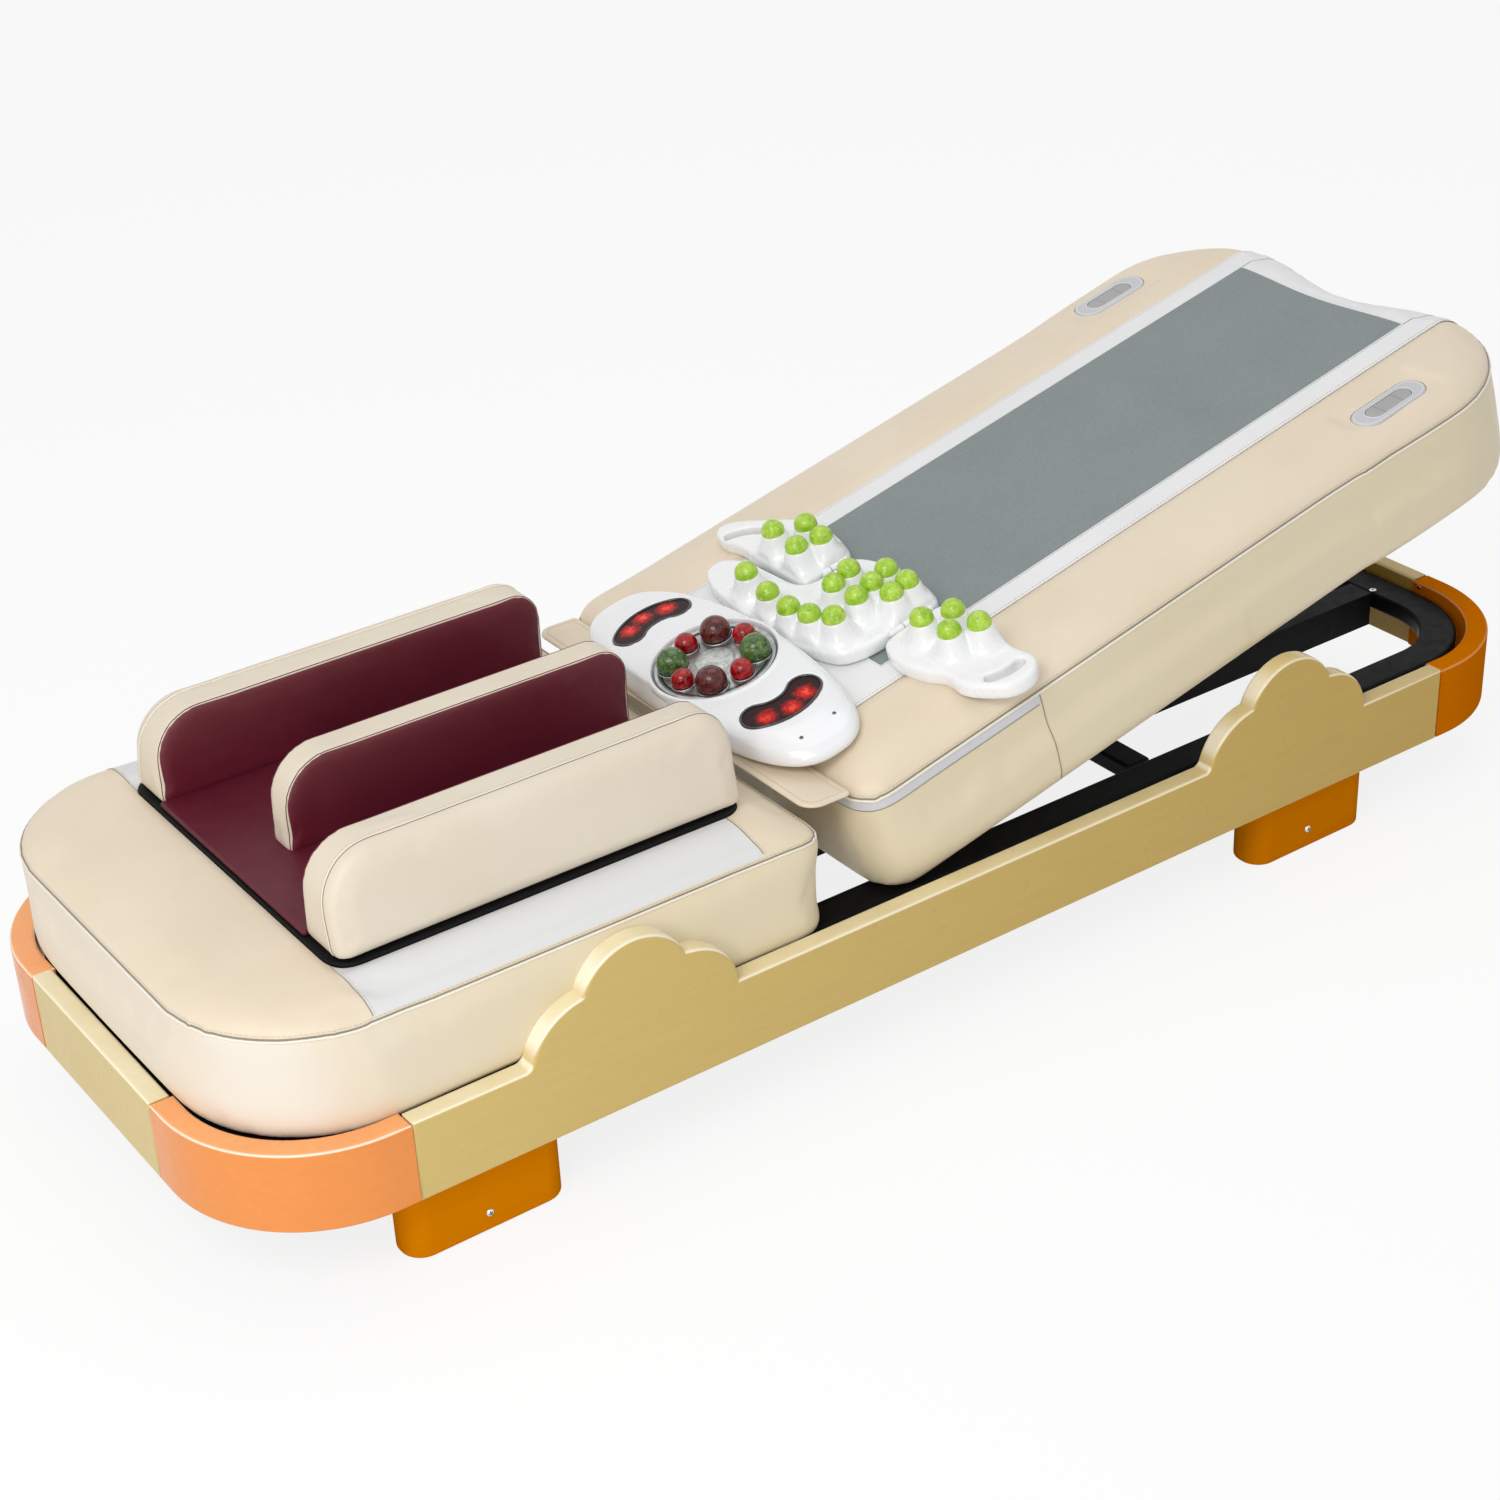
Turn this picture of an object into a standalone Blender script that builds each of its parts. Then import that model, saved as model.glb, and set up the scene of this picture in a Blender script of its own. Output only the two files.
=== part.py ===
"""Jade massage bed: a tilted back section and a foot mattress over a wooden skirt,
with a leg massager and two loose jade massagers lying on top."""
import bpy
import bmesh
from math import acos, atan2, cos, hypot, pi, radians, sin, tan
from mathutils import Matrix, Vector

# Lengths are metres. X runs from the foot end to the head end, Y to the far side, Z up.
# Bed heights start at the skirt's lower edge, which the feet lift off the floor.

# Fits
TOUCH = 0.0003          # gap between two pieces that rest on each other
RUN = 0.0006            # clearance round a pin, a rod or a sliding block
OVERRUN = 0.01          # how far a cutter passes the face that it cuts

# Skirt round the base
BED_LENGTH = 2.0
BED_WIDTH = 0.743
SKIRT_HEIGHT = 0.1044
RAIL_THICK = 0.0266
CORNER_THICK = 0.030
CORNER_RADIUS = 0.185
CORNER_ALONG_SIDE = 0.206
CORNER_ALONG_END = 0.213
SKIRT_EDGE = 0.0045

# Cloud ornaments on the side rails: shares of their width and height
CLOUD_WIDTH = 0.285
CLOUD_HEIGHT = 0.1125
CLOUD_FROM_FOOT = 0.350
CLOUD_FROM_HEAD = 0.353
CLOUD_ARC_SHARES = (
    ((0.0, 0.0), (0.018, 0.022), (0.030, 0.070)),
    ((0.030, 0.070), (0.100, 0.362), (0.272, 0.575)),
    ((0.272, 0.575), (0.491, 1.0), (0.754, 0.596)),
    ((0.754, 0.596), (0.912, 0.440), (1.0, 0.0)),
)
CLOUD_STEPS = (2, 6, 12, 7)

# Feet
FOOT_HEIGHT = 0.097
FOOT_LENGTH = 0.205
FOOT_DEPTH = 0.060
FOOT_INSET = 0.0205
FOOT_RADIUS = 0.028
FOOT_SOLE_EDGE = 0.003
FOOT_FROM_FOOT_END = 0.299
FOOT_FROM_HEAD_END = 0.416
FOOT_TONGUE_LENGTH = 0.15
FOOT_TONGUE_DEPTH = 0.036

# Steel frame inside the skirt
TUBE_WIDTH = 0.050
TUBE_HEIGHT = 0.025
TUBE_TOP = 0.0905
TUBE_EDGE = 0.004
FRAME_END_GAP = 0.0034
FRAME_SIDE_GAP = 0.0184
FRAME_RADIUS = 0.150
CHANNEL_INNER = 0.090
CHANNEL_OUTER = 0.130
CHANNEL_HEIGHT = 0.050
CHANNEL_WALL = 0.004
OUTRIGGER_PLACE = 0.335
OUTRIGGER_WIDTH = 0.040

# Foot mattress
MATTRESS_FOOT_MARGIN = 0.033
MATTRESS_END_X = -0.208
MATTRESS_SIDE_MARGIN = 0.033
MATTRESS_TOP = 0.228
MATTRESS_CROWN = 0.0145
MATTRESS_FOOT_RADIUS = 0.170
MATTRESS_END_RADIUS = 0.036
MATTRESS_END_RAMP = (0.016, 0.033, 0.044, 0.052, 0.070)
CROWN_LEVELS = ((0.03, 0.30), (0.09, 0.62), (0.18, 0.82), (0.42, 0.95), (1.0, 1.0))
BOARD_THICK = 0.010
BOARD_INSET = 0.022
SIDE_DRAW = 0.003

# Back section, in its own plane: S along the slope, T square to it from the seam
BACK_TILT = radians(13.4)
BACK_SEAM_HEIGHT = 0.261
BACK_FOOT_S = -0.154
BACK_HEAD_REACH = 0.0185
BACK_DIP = 0.030
BACK_SIDE_MARGIN = 0.0405
BACK_HEAD_SIDE_MARGIN = 0.031
BACK_WAIST_FROM_HEAD = 0.4185
BACK_SHOULDER_FROM_HEAD = 0.1785
BACK_FOOT_RADIUS = 0.040
BACK_HEAD_RADIUS = 0.170
BACK_THICK = 0.148
BACK_CROWN = 0.022
BACK_LOWERED_GAP = 0.0015
HINGE_DROP = 0.030

# Sewn cover over the middle of the back, and the mesh window in it
COVER_THICK = 0.0012
COVER_SIDE_MARGIN = 0.141
COVER_FOOT_S = -0.050
COVER_HEAD_MARGIN = 0.0225
MESH_THICK = 0.0010
MESH_SIDE_MARGIN = 0.037
MESH_FOOT_S = 0.020
MESH_HEAD_MARGIN = 0.0465
MESH_CORNER = 0.006

# Trench for the inner roller carriage
WELL_HALF = 0.095
WELL_FOOT_S = 0.030
WELL_HEAD_MARGIN = 0.0885
WELL_DEPTH = 0.118
TRACK_WALL = 0.003
TRACK_HEIGHT = 0.030
CARRIAGE_LENGTH = 0.180
CARRIAGE_BASE = 0.012
CARRIAGE_CHEEK = 0.008
CARRIAGE_SKID = 0.006
ROLLER_RADIUS = 0.027
ROLLER_WAIST = 0.021
ROLLER_SPACING = 0.095
ROLLER_HALF = 0.058
AXLE_RADIUS = 0.005
ROLLER_CLEARANCE = 0.002

# Trolley, its hinge pin and the lugs under the back
TROLLEY_LENGTH = 0.056
TROLLEY_PLATE = 0.004
TROLLEY_CHEEK = 0.0145
PIN_RADIUS = 0.006
LUG_THICK = 0.008
LUG_RADIUS = 0.0140
SPINE_THICK = 0.004
SPINE_HALF = 0.074
SPINE_MARGIN = 0.020

# Shift actuator between the channels, which draws the trolley along
SHIFT_MOUTH_X = -0.205
SHIFT_TUBE_LENGTH = 0.250
SHIFT_TUBE_RADIUS = 0.0185
SHIFT_TUBE_WALL = 0.0105
SHIFT_MOTOR_LENGTH = 0.110
SHIFT_AXIS_Z = 0.0650
SHIFT_ROD_RADIUS = 0.007
SHIFT_ROD_OVERLAP = 0.135
SHIFT_PLATE = 0.005
SHIFT_PLATE_HALF = 0.028

# Lift actuator that pushes the back up
LIFT_PIVOT_X = 0.0
LIFT_PIVOT_Z = 0.010
LIFT_LUG_S = 0.300
LIFT_LUG_DROP = 0.026
LIFT_TUBE_RADIUS = 0.0165
LIFT_TUBE_END = 0.205
LIFT_EYE_RADIUS = 0.0135
LIFT_EYE_HALF = 0.0125
LIFT_ROD_RADIUS = 0.0075
LIFT_ROD_LENGTH = 0.225
LIFT_BORE_START = 0.022
LIFT_END_PLAY = 0.0040
LIFT_END_EYE_RADIUS = 0.0150
LIFT_MOTOR_RADIUS = 0.021
LIFT_MOTOR_START = 0.030
LIFT_MOTOR_LENGTH = 0.110
LIFT_MOTOR_SIDE = 0.0335
ANCHOR_PLATE = 0.004
ANCHOR_EAR = 0.006
ANCHOR_GAP = 0.003
ANCHOR_LENGTH = 0.034

# Leather flap over the joint between the two mattresses
FLAP_LENGTH = 0.0615
FLAP_SIDE_MARGIN = 0.031
FLAP_THICK = 0.005
FLAP_LIFT = 0.0095
FLAP_TUCK = 0.0032
FLAP_RADIUS = 0.024
FLAP_TUCK_RADIUS = 0.006

# Control panels in the back, each with three keys
PANEL_FROM_HEAD = 0.2265
PANEL_FROM_SIDE = 0.063
PANEL_LENGTH = 0.120
PANEL_WIDTH = 0.046
PANEL_POCKET_T = 0.006
PANEL_TOP_T = 0.0225
PANEL_EDGE = 0.003
KEY_ROW_LENGTH = 0.076
KEY_ROW_WIDTH = 0.026
KEY_ROW_DEPTH = 0.0075
KEY_GAP = 0.0004
KEY_EDGE = 0.0008
KEY_HEIGHT = 0.0050
KEY_TRAVEL = 0.0015
KEY_MIDDLE_SHARE = 0.42

# Leg massager on the foot mattress
LEG_FOOT_MARGIN = 0.166
LEG_KNEE_MARGIN = 0.059
LEG_SIDE_MARGIN = 0.0815
LEG_TRAY_THICK = 0.012
LEG_TRAY_RADIUS = 0.035
LEG_TRAY_EDGE = 0.004
LEG_TRAY_SINK = 0.007
WALL_FOOT_MARGIN = 0.005
WALL_KNEE_MARGIN = 0.001
MIDDLE_WALL_FOOT_MARGIN = 0.066
WALL_SIDE_MARGIN = 0.0125
WALL_THICK = 0.068
MIDDLE_WALL_HALF = 0.030
WALL_HEIGHT = 0.118
WALL_FOOT_RADIUS = 0.062
WALL_KNEE_RADIUS = 0.040
WALL_BASE_RADIUS = 0.004
WALL_ROUND = 0.011
WALL_CROWN = 0.0025

# Oval massager, across the joint
OVAL_S = -0.1245
OVAL_Y = -0.010
OVAL_HALF_LENGTH = 0.246
OVAL_HALF_WIDTH = 0.0885
OVAL_HEIGHT = 0.040
OVAL_SQUARENESS = 2.6
OVAL_SIDES = 44
OVAL_LEVELS = (
    (0.0160, 0.030, 0.00), (0.0060, 0.012, 0.07), (0.0010, 0.002, 0.20), (0.0, 0.0, 0.34),
    (0.0005, 0.003, 0.50), (0.0018, 0.013, 0.66), (0.0035, 0.030, 0.80), (0.0048, 0.055, 0.90),
    (0.0058, 0.090, 0.97), (0.0066, 0.130, 1.00),
)
DISC_RADIUS = 0.0795
DISC_RECESS = 0.009
DISC_THICK = 0.006
DISC_SEAT = 0.001
HUB_RADIUS = 0.026
HUB_RISE = 0.003
BALL_CIRCLE = 0.053
BIG_BALL = 0.0200
SMALL_BALL = 0.0150
BALL_SINK_SHARE = 0.35
BALL_START = radians(51)
WINDOW_Y = 0.124
WINDOW_CIRCLE = 0.037
WINDOW_WIDTH = 0.035
WINDOW_SWEEP = radians(150)
WINDOW_FLOOR_SHARE = 0.85

# Jade belt: three hinged lobes with ball-topped studs; shares of its width and length
BELT_S = 0.064
BELT_Y = -0.045
BELT_WIDTH = 0.195
BELT_LENGTH = 0.605
BELT_PLATE = 0.022
BELT_EDGE = 0.006
STUD_FOOT = 0.0225
STUD_NECK = 0.0125
STUD_RISE = 0.030
STUD_BALL = 0.0155
STUD_SIDES = 10
HANDLE_HALF = 0.030
HANDLE_SLOT = 0.020
FAR_HINGE_SHARE = 0.142
NEAR_HINGE_SHARE = -0.1505
BELT_MIDDLE_SHARES = (
    (-0.50, 0.023), (-0.49, 0.12), (-0.475, 0.21), (-0.425, 0.316), (-0.34, 0.375),
    (-0.20, 0.382), (-0.10, 0.33), (-0.08, 0.24), (-0.06, 0.165), (0.03, 0.138),
    (0.20, 0.136), (0.36, 0.128), (0.44, 0.06), (0.455, -0.02), (0.43, -0.09),
    (0.36, -0.142), (0.16, -0.146), (-0.09, -0.146), (-0.25, -0.138), (-0.39, -0.112),
    (-0.455, -0.05),
)
BELT_FAR_SHARES = (
    (-0.03, 0.158), (0.05, 0.149), (0.20, 0.148), (0.36, 0.152), (0.43, 0.20),
    (0.47, 0.27), (0.47, 0.33), (0.40, 0.375), (0.30, 0.420), (0.165, 0.475),
    (0.06, 0.494), (-0.02, 0.480), (-0.05, 0.44), (-0.02, 0.385), (-0.035, 0.32),
    (-0.035, 0.24),
)
BELT_NEAR_SHARES = (
    (-0.156, -0.175), (-0.212, -0.24), (-0.181, -0.305), (-0.119, -0.350), (-0.123, -0.405),
    (-0.036, -0.450), (0.076, -0.482), (0.236, -0.481), (0.345, -0.445), (0.33, -0.39),
    (0.36, -0.335), (0.427, -0.267), (0.419, -0.20), (0.35, -0.160), (0.10, -0.155),
    (-0.06, -0.157),
)
MIDDLE_STUD_SHARES = (
    (-0.307, 0.221), (-0.361, 0.121), (-0.379, 0.041), (-0.349, -0.019), (-0.269, -0.068),
    (0.118, 0.038), (-0.044, 0.024), (0.264, -0.030), (0.110, -0.042), (-0.044, -0.053),
    (0.261, -0.100), (0.117, -0.106),
)
FAR_STUD_SHARES = ((0.103, 0.299), (0.281, 0.256), (0.080, 0.205), (0.250, 0.188))
NEAR_STUD_SHARES = ((0.053, -0.228), (0.229, -0.260), (0.072, -0.308), (0.240, -0.338))
NEAR_SLOT_SHARES = (0.085, -0.427)
FAR_SLOT_SHARES = (0.105, 0.425)
SLOT_TURN = radians(-38)

# Round work
FINE = 20
COARSE = 14
CORNER_STEPS = 8

# Places that follow from the sizes
HALF_LENGTH = BED_LENGTH / 2
HALF_WIDTH = BED_WIDTH / 2
JOINT_X = HALF_LENGTH - CORNER_ALONG_SIDE
JOINT_Y = HALF_WIDTH - CORNER_ALONG_END
CORNER_X = HALF_LENGTH - CORNER_RADIUS
CORNER_Y = HALF_WIDTH - CORNER_RADIUS
FRAME_X = HALF_LENGTH - CORNER_THICK - FRAME_END_GAP
FRAME_Y = HALF_WIDTH - RAIL_THICK - FRAME_SIDE_GAP
TUBE_BASE = TUBE_TOP - TUBE_HEIGHT
BEND_X = FRAME_X - FRAME_RADIUS
BEND_Y = FRAME_Y - FRAME_RADIUS
CLOUD_STARTS = (-HALF_LENGTH + CLOUD_FROM_FOOT, HALF_LENGTH - CLOUD_FROM_HEAD - CLOUD_WIDTH)
FOOT_PLACES = (-HALF_LENGTH + FOOT_FROM_FOOT_END, HALF_LENGTH - FOOT_FROM_HEAD_END)
CHANNEL_BASE = TUBE_TOP - CHANNEL_HEIGHT
CHANNEL_END = FRAME_X - TUBE_WIDTH - TOUCH
MATTRESS_BASE = TUBE_TOP + TOUCH
MATTRESS_FOOT_X = -HALF_LENGTH + MATTRESS_FOOT_MARGIN
MATTRESS_HALF = HALF_WIDTH - MATTRESS_SIDE_MARGIN
LEG_FOOT_X = MATTRESS_FOOT_X + LEG_FOOT_MARGIN
LEG_KNEE_X = MATTRESS_END_X - LEG_KNEE_MARGIN
LEG_HALF = MATTRESS_HALF - LEG_SIDE_MARGIN
LEG_TRAY_BASE = MATTRESS_TOP + MATTRESS_CROWN - LEG_TRAY_SINK
WALL_FOOT_X = LEG_FOOT_X + WALL_FOOT_MARGIN
WALL_KNEE_X = LEG_KNEE_X - WALL_KNEE_MARGIN
MIDDLE_WALL_FOOT_X = LEG_FOOT_X + MIDDLE_WALL_FOOT_MARGIN
WALL_OUTER_Y = LEG_HALF - WALL_SIDE_MARGIN
WALL_INNER_Y = WALL_OUTER_Y - WALL_THICK
BACK_HEAD_S = HALF_LENGTH + BACK_HEAD_REACH
BACK_HALF = HALF_WIDTH - BACK_SIDE_MARGIN
BACK_HEAD_HALF = HALF_WIDTH - BACK_HEAD_SIDE_MARGIN
BACK_WAIST_S = BACK_HEAD_S - BACK_WAIST_FROM_HEAD
BACK_SHOULDER_S = BACK_HEAD_S - BACK_SHOULDER_FROM_HEAD
COVER_HALF = BACK_HALF - COVER_SIDE_MARGIN
MESH_HALF = COVER_HALF - MESH_SIDE_MARGIN
WELL_HEAD_S = BACK_HEAD_S - WELL_HEAD_MARGIN
CARRIAGE_S = (WELL_FOOT_S + WELL_HEAD_S) / 2
PANEL_S = BACK_HEAD_S - PANEL_FROM_HEAD
PANEL_Y = BACK_HALF - PANEL_FROM_SIDE
FLAP_HALF = BACK_HALF - FLAP_SIDE_MARGIN
BACK_BOARD_T = -BACK_THICK
SEAT_T = BACK_CROWN + COVER_THICK + 2 * TOUCH
BELT_T = SEAT_T + MESH_THICK + TOUCH

# The hinge under the back: where the pin must lie for the back to lower flat onto the frame
HINGE_T = -BACK_THICK - HINGE_DROP
LOWERED_SEAM = TUBE_TOP + BACK_LOWERED_GAP + BACK_THICK
HINGE_S = (HINGE_T * (1 - cos(BACK_TILT)) + LOWERED_SEAM - BACK_SEAM_HEIGHT) / sin(BACK_TILT)
HINGE_X = HINGE_S * cos(BACK_TILT) - HINGE_T * sin(BACK_TILT)
HINGE_Z = LOWERED_SEAM + HINGE_T

# The lift actuator's two ends
LIFT_LUG_T = -BACK_THICK - LIFT_LUG_DROP
LIFT_LUG_X = LIFT_LUG_S * cos(BACK_TILT) - LIFT_LUG_T * sin(BACK_TILT)
LIFT_LUG_Z = BACK_SEAM_HEIGHT + LIFT_LUG_S * sin(BACK_TILT) + LIFT_LUG_T * cos(BACK_TILT)
LIFT_LENGTH = hypot(LIFT_LUG_X - LIFT_PIVOT_X, LIFT_LUG_Z - LIFT_PIVOT_Z)
LIFT_ANGLE = atan2(LIFT_LUG_Z - LIFT_PIVOT_Z, LIFT_LUG_X - LIFT_PIVOT_X)

# How an outline's own axes lie in the model, by the plane that it is drawn in
PLANES = {
    "XY": Matrix(((1, 0, 0), (0, 1, 0), (0, 0, 1))),
    "XZ": Matrix(((1, 0, 0), (0, 0, -1), (0, 1, 0))),
    "YZ": Matrix(((0, 0, 1), (1, 0, 0), (0, 1, 0))),
}
NORMALS = {"XY": Vector((0, 0, 1)), "XZ": Vector((0, 1, 0)), "YZ": Vector((1, 0, 0))}


# Scene and object helpers

def clear_scene():
    for item in list(bpy.context.scene.objects):
        bpy.data.objects.remove(item, do_unlink=True)


def new_collection(name):
    collection = bpy.data.collections.new(name)
    bpy.context.scene.collection.children.link(collection)
    return collection


def finish(name, color, roughness, metallic=0.0):
    material = bpy.data.materials.new(name)
    material.use_nodes = True
    shader = material.node_tree.nodes["Principled BSDF"]
    shader.inputs["Base Color"].default_value = (*color, 1.0)
    shader.inputs["Roughness"].default_value = roughness
    shader.inputs["Metallic"].default_value = metallic
    material.diffuse_color = (*color, 1.0)
    return material


def guide(name, parent, place, turn_y=0.0):
    """Empty that carries a body; its origin lies on the body's joint."""
    empty = bpy.data.objects.new(name, None)
    empty.location = place
    empty.rotation_euler = (0.0, turn_y, 0.0)
    empty.parent = parent
    parts.objects.link(empty)
    return empty


def piece(name, mesh, parent, material, place=(0.0, 0.0, 0.0)):
    mesh.name = name
    body = bpy.data.objects.new(name, mesh)
    body.location = place
    body.parent = parent
    mesh.materials.clear()
    mesh.materials.append(material)
    mesh.shade_smooth()
    mesh.set_sharp_from_angle(angle=radians(35))
    parts.objects.link(body)
    return body


def tool(name, mesh, parent, place=(0.0, 0.0, 0.0)):
    """Shape that cuts a piece or is joined to it, and isn't a piece itself."""
    shape = bpy.data.objects.new(name, mesh)
    shape.location = place
    shape.parent = parent
    shape.hide_render = True
    shape.display_type = "WIRE"
    cutters.objects.link(shape)
    return shape


def combine(body, shape, operation):
    step = body.modifiers.new(shape.name, "BOOLEAN")
    step.operation = operation
    step.solver = "EXACT"
    step.object = shape


def round_edges(body, width, segments=2, angle=radians(40)):
    step = body.modifiers.new("rounded_edges", "BEVEL")
    step.width = width
    step.segments = segments
    step.limit_method = "ANGLE"
    step.angle_limit = angle


def mesh_from(bm, name):
    mesh = bpy.data.meshes.new(name)
    bm.to_mesh(mesh)
    bm.free()
    return mesh


# Outlines, as lists of (u, v)

def arc(center, radius, start, end, steps):
    turn = (end - start) / steps
    return [
        (center[0] + radius * cos(start + turn * k), center[1] + radius * sin(start + turn * k))
        for k in range(steps + 1)
    ]


def arc_through(first, middle, last, steps):
    """Points on the circle through three points, without the last one."""
    ax, ay = first
    bx, by = middle
    cx, cy = last
    cross = 2 * (ax * (by - cy) + bx * (cy - ay) + cx * (ay - by))
    sa, sb, sc = ax * ax + ay * ay, bx * bx + by * by, cx * cx + cy * cy
    ox = (sa * (by - cy) + sb * (cy - ay) + sc * (ay - by)) / cross
    oy = (sa * (cx - bx) + sb * (ax - cx) + sc * (bx - ax)) / cross
    start = atan2(ay - oy, ax - ox)
    turn = (atan2(cy - oy, cx - ox) - start) % (2 * pi)
    if (atan2(by - oy, bx - ox) - start) % (2 * pi) > turn:
        turn -= 2 * pi
    return arc((ox, oy), hypot(ax - ox, ay - oy), start, start + turn, steps)[:-1]


def rounded_box(u0, u1, v0, v1, radii, steps=CORNER_STEPS):
    """Rectangle with its own radius at each corner, from the low one round by way of u1."""
    r0, r1, r2, r3 = radii
    corners = (
        ((u0 + r0, v0 + r0), r0, pi),
        ((u1 - r1, v0 + r1), r1, 1.5 * pi),
        ((u1 - r2, v1 - r2), r2, 0.0),
        ((u0 + r3, v1 - r3), r3, 0.5 * pi),
    )
    outline = []
    for center, radius, start in corners:
        outline += arc(center, radius, start, start + pi / 2, steps)
    return outline


def box_outline(u0, u1, v0, v1):
    return [(u0, v0), (u1, v0), (u1, v1), (u0, v1)]


def stadium(length, width, steps=CORNER_STEPS):
    radius = width / 2
    reach = length / 2 - radius
    return arc((reach, 0.0), radius, -pi / 2, pi / 2, steps) + arc(
        (-reach, 0.0), radius, pi / 2, 1.5 * pi, steps
    )


def moved(outline, u, v):
    return [(a + u, b + v) for a, b in outline]


def smooth_step(value, low, high):
    share = min(max((value - low) / (high - low), 0.0), 1.0)
    return share * share * (3 - 2 * share)


# Solids

def board(name, outline, low, high, plane="XY", holes=()):
    """Flat outline given a thickness, from low to high along the plane's normal."""
    curve = bpy.data.curves.new(name, "CURVE")
    curve.dimensions = "2D"
    curve.fill_mode = "BOTH"
    curve.extrude = (high - low) / 2
    for loop in (outline, *holes):
        spline = curve.splines.new("POLY")
        spline.points.add(len(loop) - 1)
        spline.use_cyclic_u = True
        for point, (u, v) in zip(spline.points, loop):
            point.co = (u, v, 0.0, 1.0)
    source = bpy.data.objects.new(name, curve)
    bpy.context.scene.collection.objects.link(source)
    evaluated = source.evaluated_get(bpy.context.evaluated_depsgraph_get())
    mesh = bpy.data.meshes.new_from_object(evaluated)
    bpy.data.objects.remove(source, do_unlink=True)
    bm = bmesh.new()
    bm.from_mesh(mesh)
    bmesh.ops.remove_doubles(bm, verts=bm.verts, dist=1e-6)
    bmesh.ops.dissolve_limit(bm, angle_limit=radians(0.5), verts=bm.verts, edges=bm.edges)
    bmesh.ops.transform(bm, matrix=PLANES[plane], verts=bm.verts)
    bmesh.ops.translate(bm, vec=NORMALS[plane] * ((low + high) / 2), verts=bm.verts)
    bmesh.ops.recalc_face_normals(bm, faces=bm.faces)
    bm.to_mesh(mesh)
    bm.free()
    return mesh


def rod(name, start, end, radius, sides=COARSE):
    """Straight round bar between two points."""
    start, end = Vector(start), Vector(end)
    turn = (end - start).to_track_quat("Z", "Y").to_matrix().to_4x4()
    bm = bmesh.new()
    bmesh.ops.create_cone(
        bm, cap_ends=True, segments=sides, radius1=radius, radius2=radius,
        depth=(end - start).length, matrix=Matrix.Translation((start + end) / 2) @ turn,
    )
    return mesh_from(bm, name)


def block(name, low, high):
    bm = bmesh.new()
    bmesh.ops.create_cube(bm, size=1.0)
    size = [b - a for a, b in zip(low, high)]
    middle = [(a + b) / 2 for a, b in zip(low, high)]
    bmesh.ops.scale(bm, vec=size, verts=bm.verts)
    bmesh.ops.translate(bm, vec=middle, verts=bm.verts)
    return mesh_from(bm, name)


def turned(name, profile, parent, material, sides, place=(0.0, 0.0, 0.0), turn=(0.0, 0.0, 0.0)):
    """Profile of (radius, height), top to bottom, swept round its own Z by a Screw."""
    mesh = bpy.data.meshes.new(name)
    points = [(radius, 0.0, height) for radius, height in profile]
    mesh.from_pydata(points, [(k, k + 1) for k in range(len(points) - 1)], [])
    if material is None:
        body = tool(name, mesh, parent, place)
    else:
        body = piece(name, mesh, parent, material, place)
    body.rotation_euler = turn
    step = body.modifiers.new("turned", "SCREW")
    step.steps = sides
    step.render_steps = sides
    step.use_merge_vertices = True
    step.merge_threshold = 0.00001
    step.use_smooth_shade = True
    return body


def loft(name, rings):
    """Closed solid through rings of equally many points, flat at both ends."""
    bm = bmesh.new()
    loops = [[bm.verts.new(point) for point in ring] for ring in rings]
    bm.faces.new(loops[0])
    bm.faces.new(loops[-1])
    count = len(loops[0])
    for low, high in zip(loops, loops[1:]):
        for k in range(count):
            following = (k + 1) % count
            bm.faces.new((low[k], low[following], high[following], high[k]))
    bmesh.ops.recalc_face_normals(bm, faces=bm.faces)
    return mesh_from(bm, name)


# Base: skirt, feet and steel frame

def cloud_outline(start):
    points = []
    for arc_shares, steps in zip(CLOUD_ARC_SHARES, CLOUD_STEPS):
        corners = [
            (start + u * CLOUD_WIDTH, SKIRT_HEIGHT + v * CLOUD_HEIGHT) for u, v in arc_shares
        ]
        points += arc_through(*corners, steps)
    points.append((start + CLOUD_WIDTH, SKIRT_HEIGHT))
    return points


def side_rail_outline():
    reach = JOINT_X - TOUCH
    top = [(-reach, SKIRT_HEIGHT)]
    for start in CLOUD_STARTS:
        top += cloud_outline(start)
    top.append((reach, SKIRT_HEIGHT))
    return [(reach, 0.0), (-reach, 0.0)] + top


def add_side_rails(bed, wood):
    for name, side in (("near", -1), ("far", 1)):
        faces = sorted((side * HALF_WIDTH, side * (HALF_WIDTH - RAIL_THICK)))
        mesh = board("rail", side_rail_outline(), *faces, plane="XZ")
        rail = piece("side_rail_" + name, mesh, bed, wood)
        round_edges(rail, SKIRT_EDGE, angle=radians(60))


def add_end_panels(bed, wood):
    reach = JOINT_Y - TOUCH
    for name, end in (("foot", -1), ("head", 1)):
        faces = sorted((end * HALF_LENGTH, end * (HALF_LENGTH - RAIL_THICK)))
        mesh = board("panel", box_outline(-reach, reach, 0.0, SKIRT_HEIGHT), *faces, plane="YZ")
        round_edges(piece("end_panel_" + name, mesh, bed, wood), SKIRT_EDGE)


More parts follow.
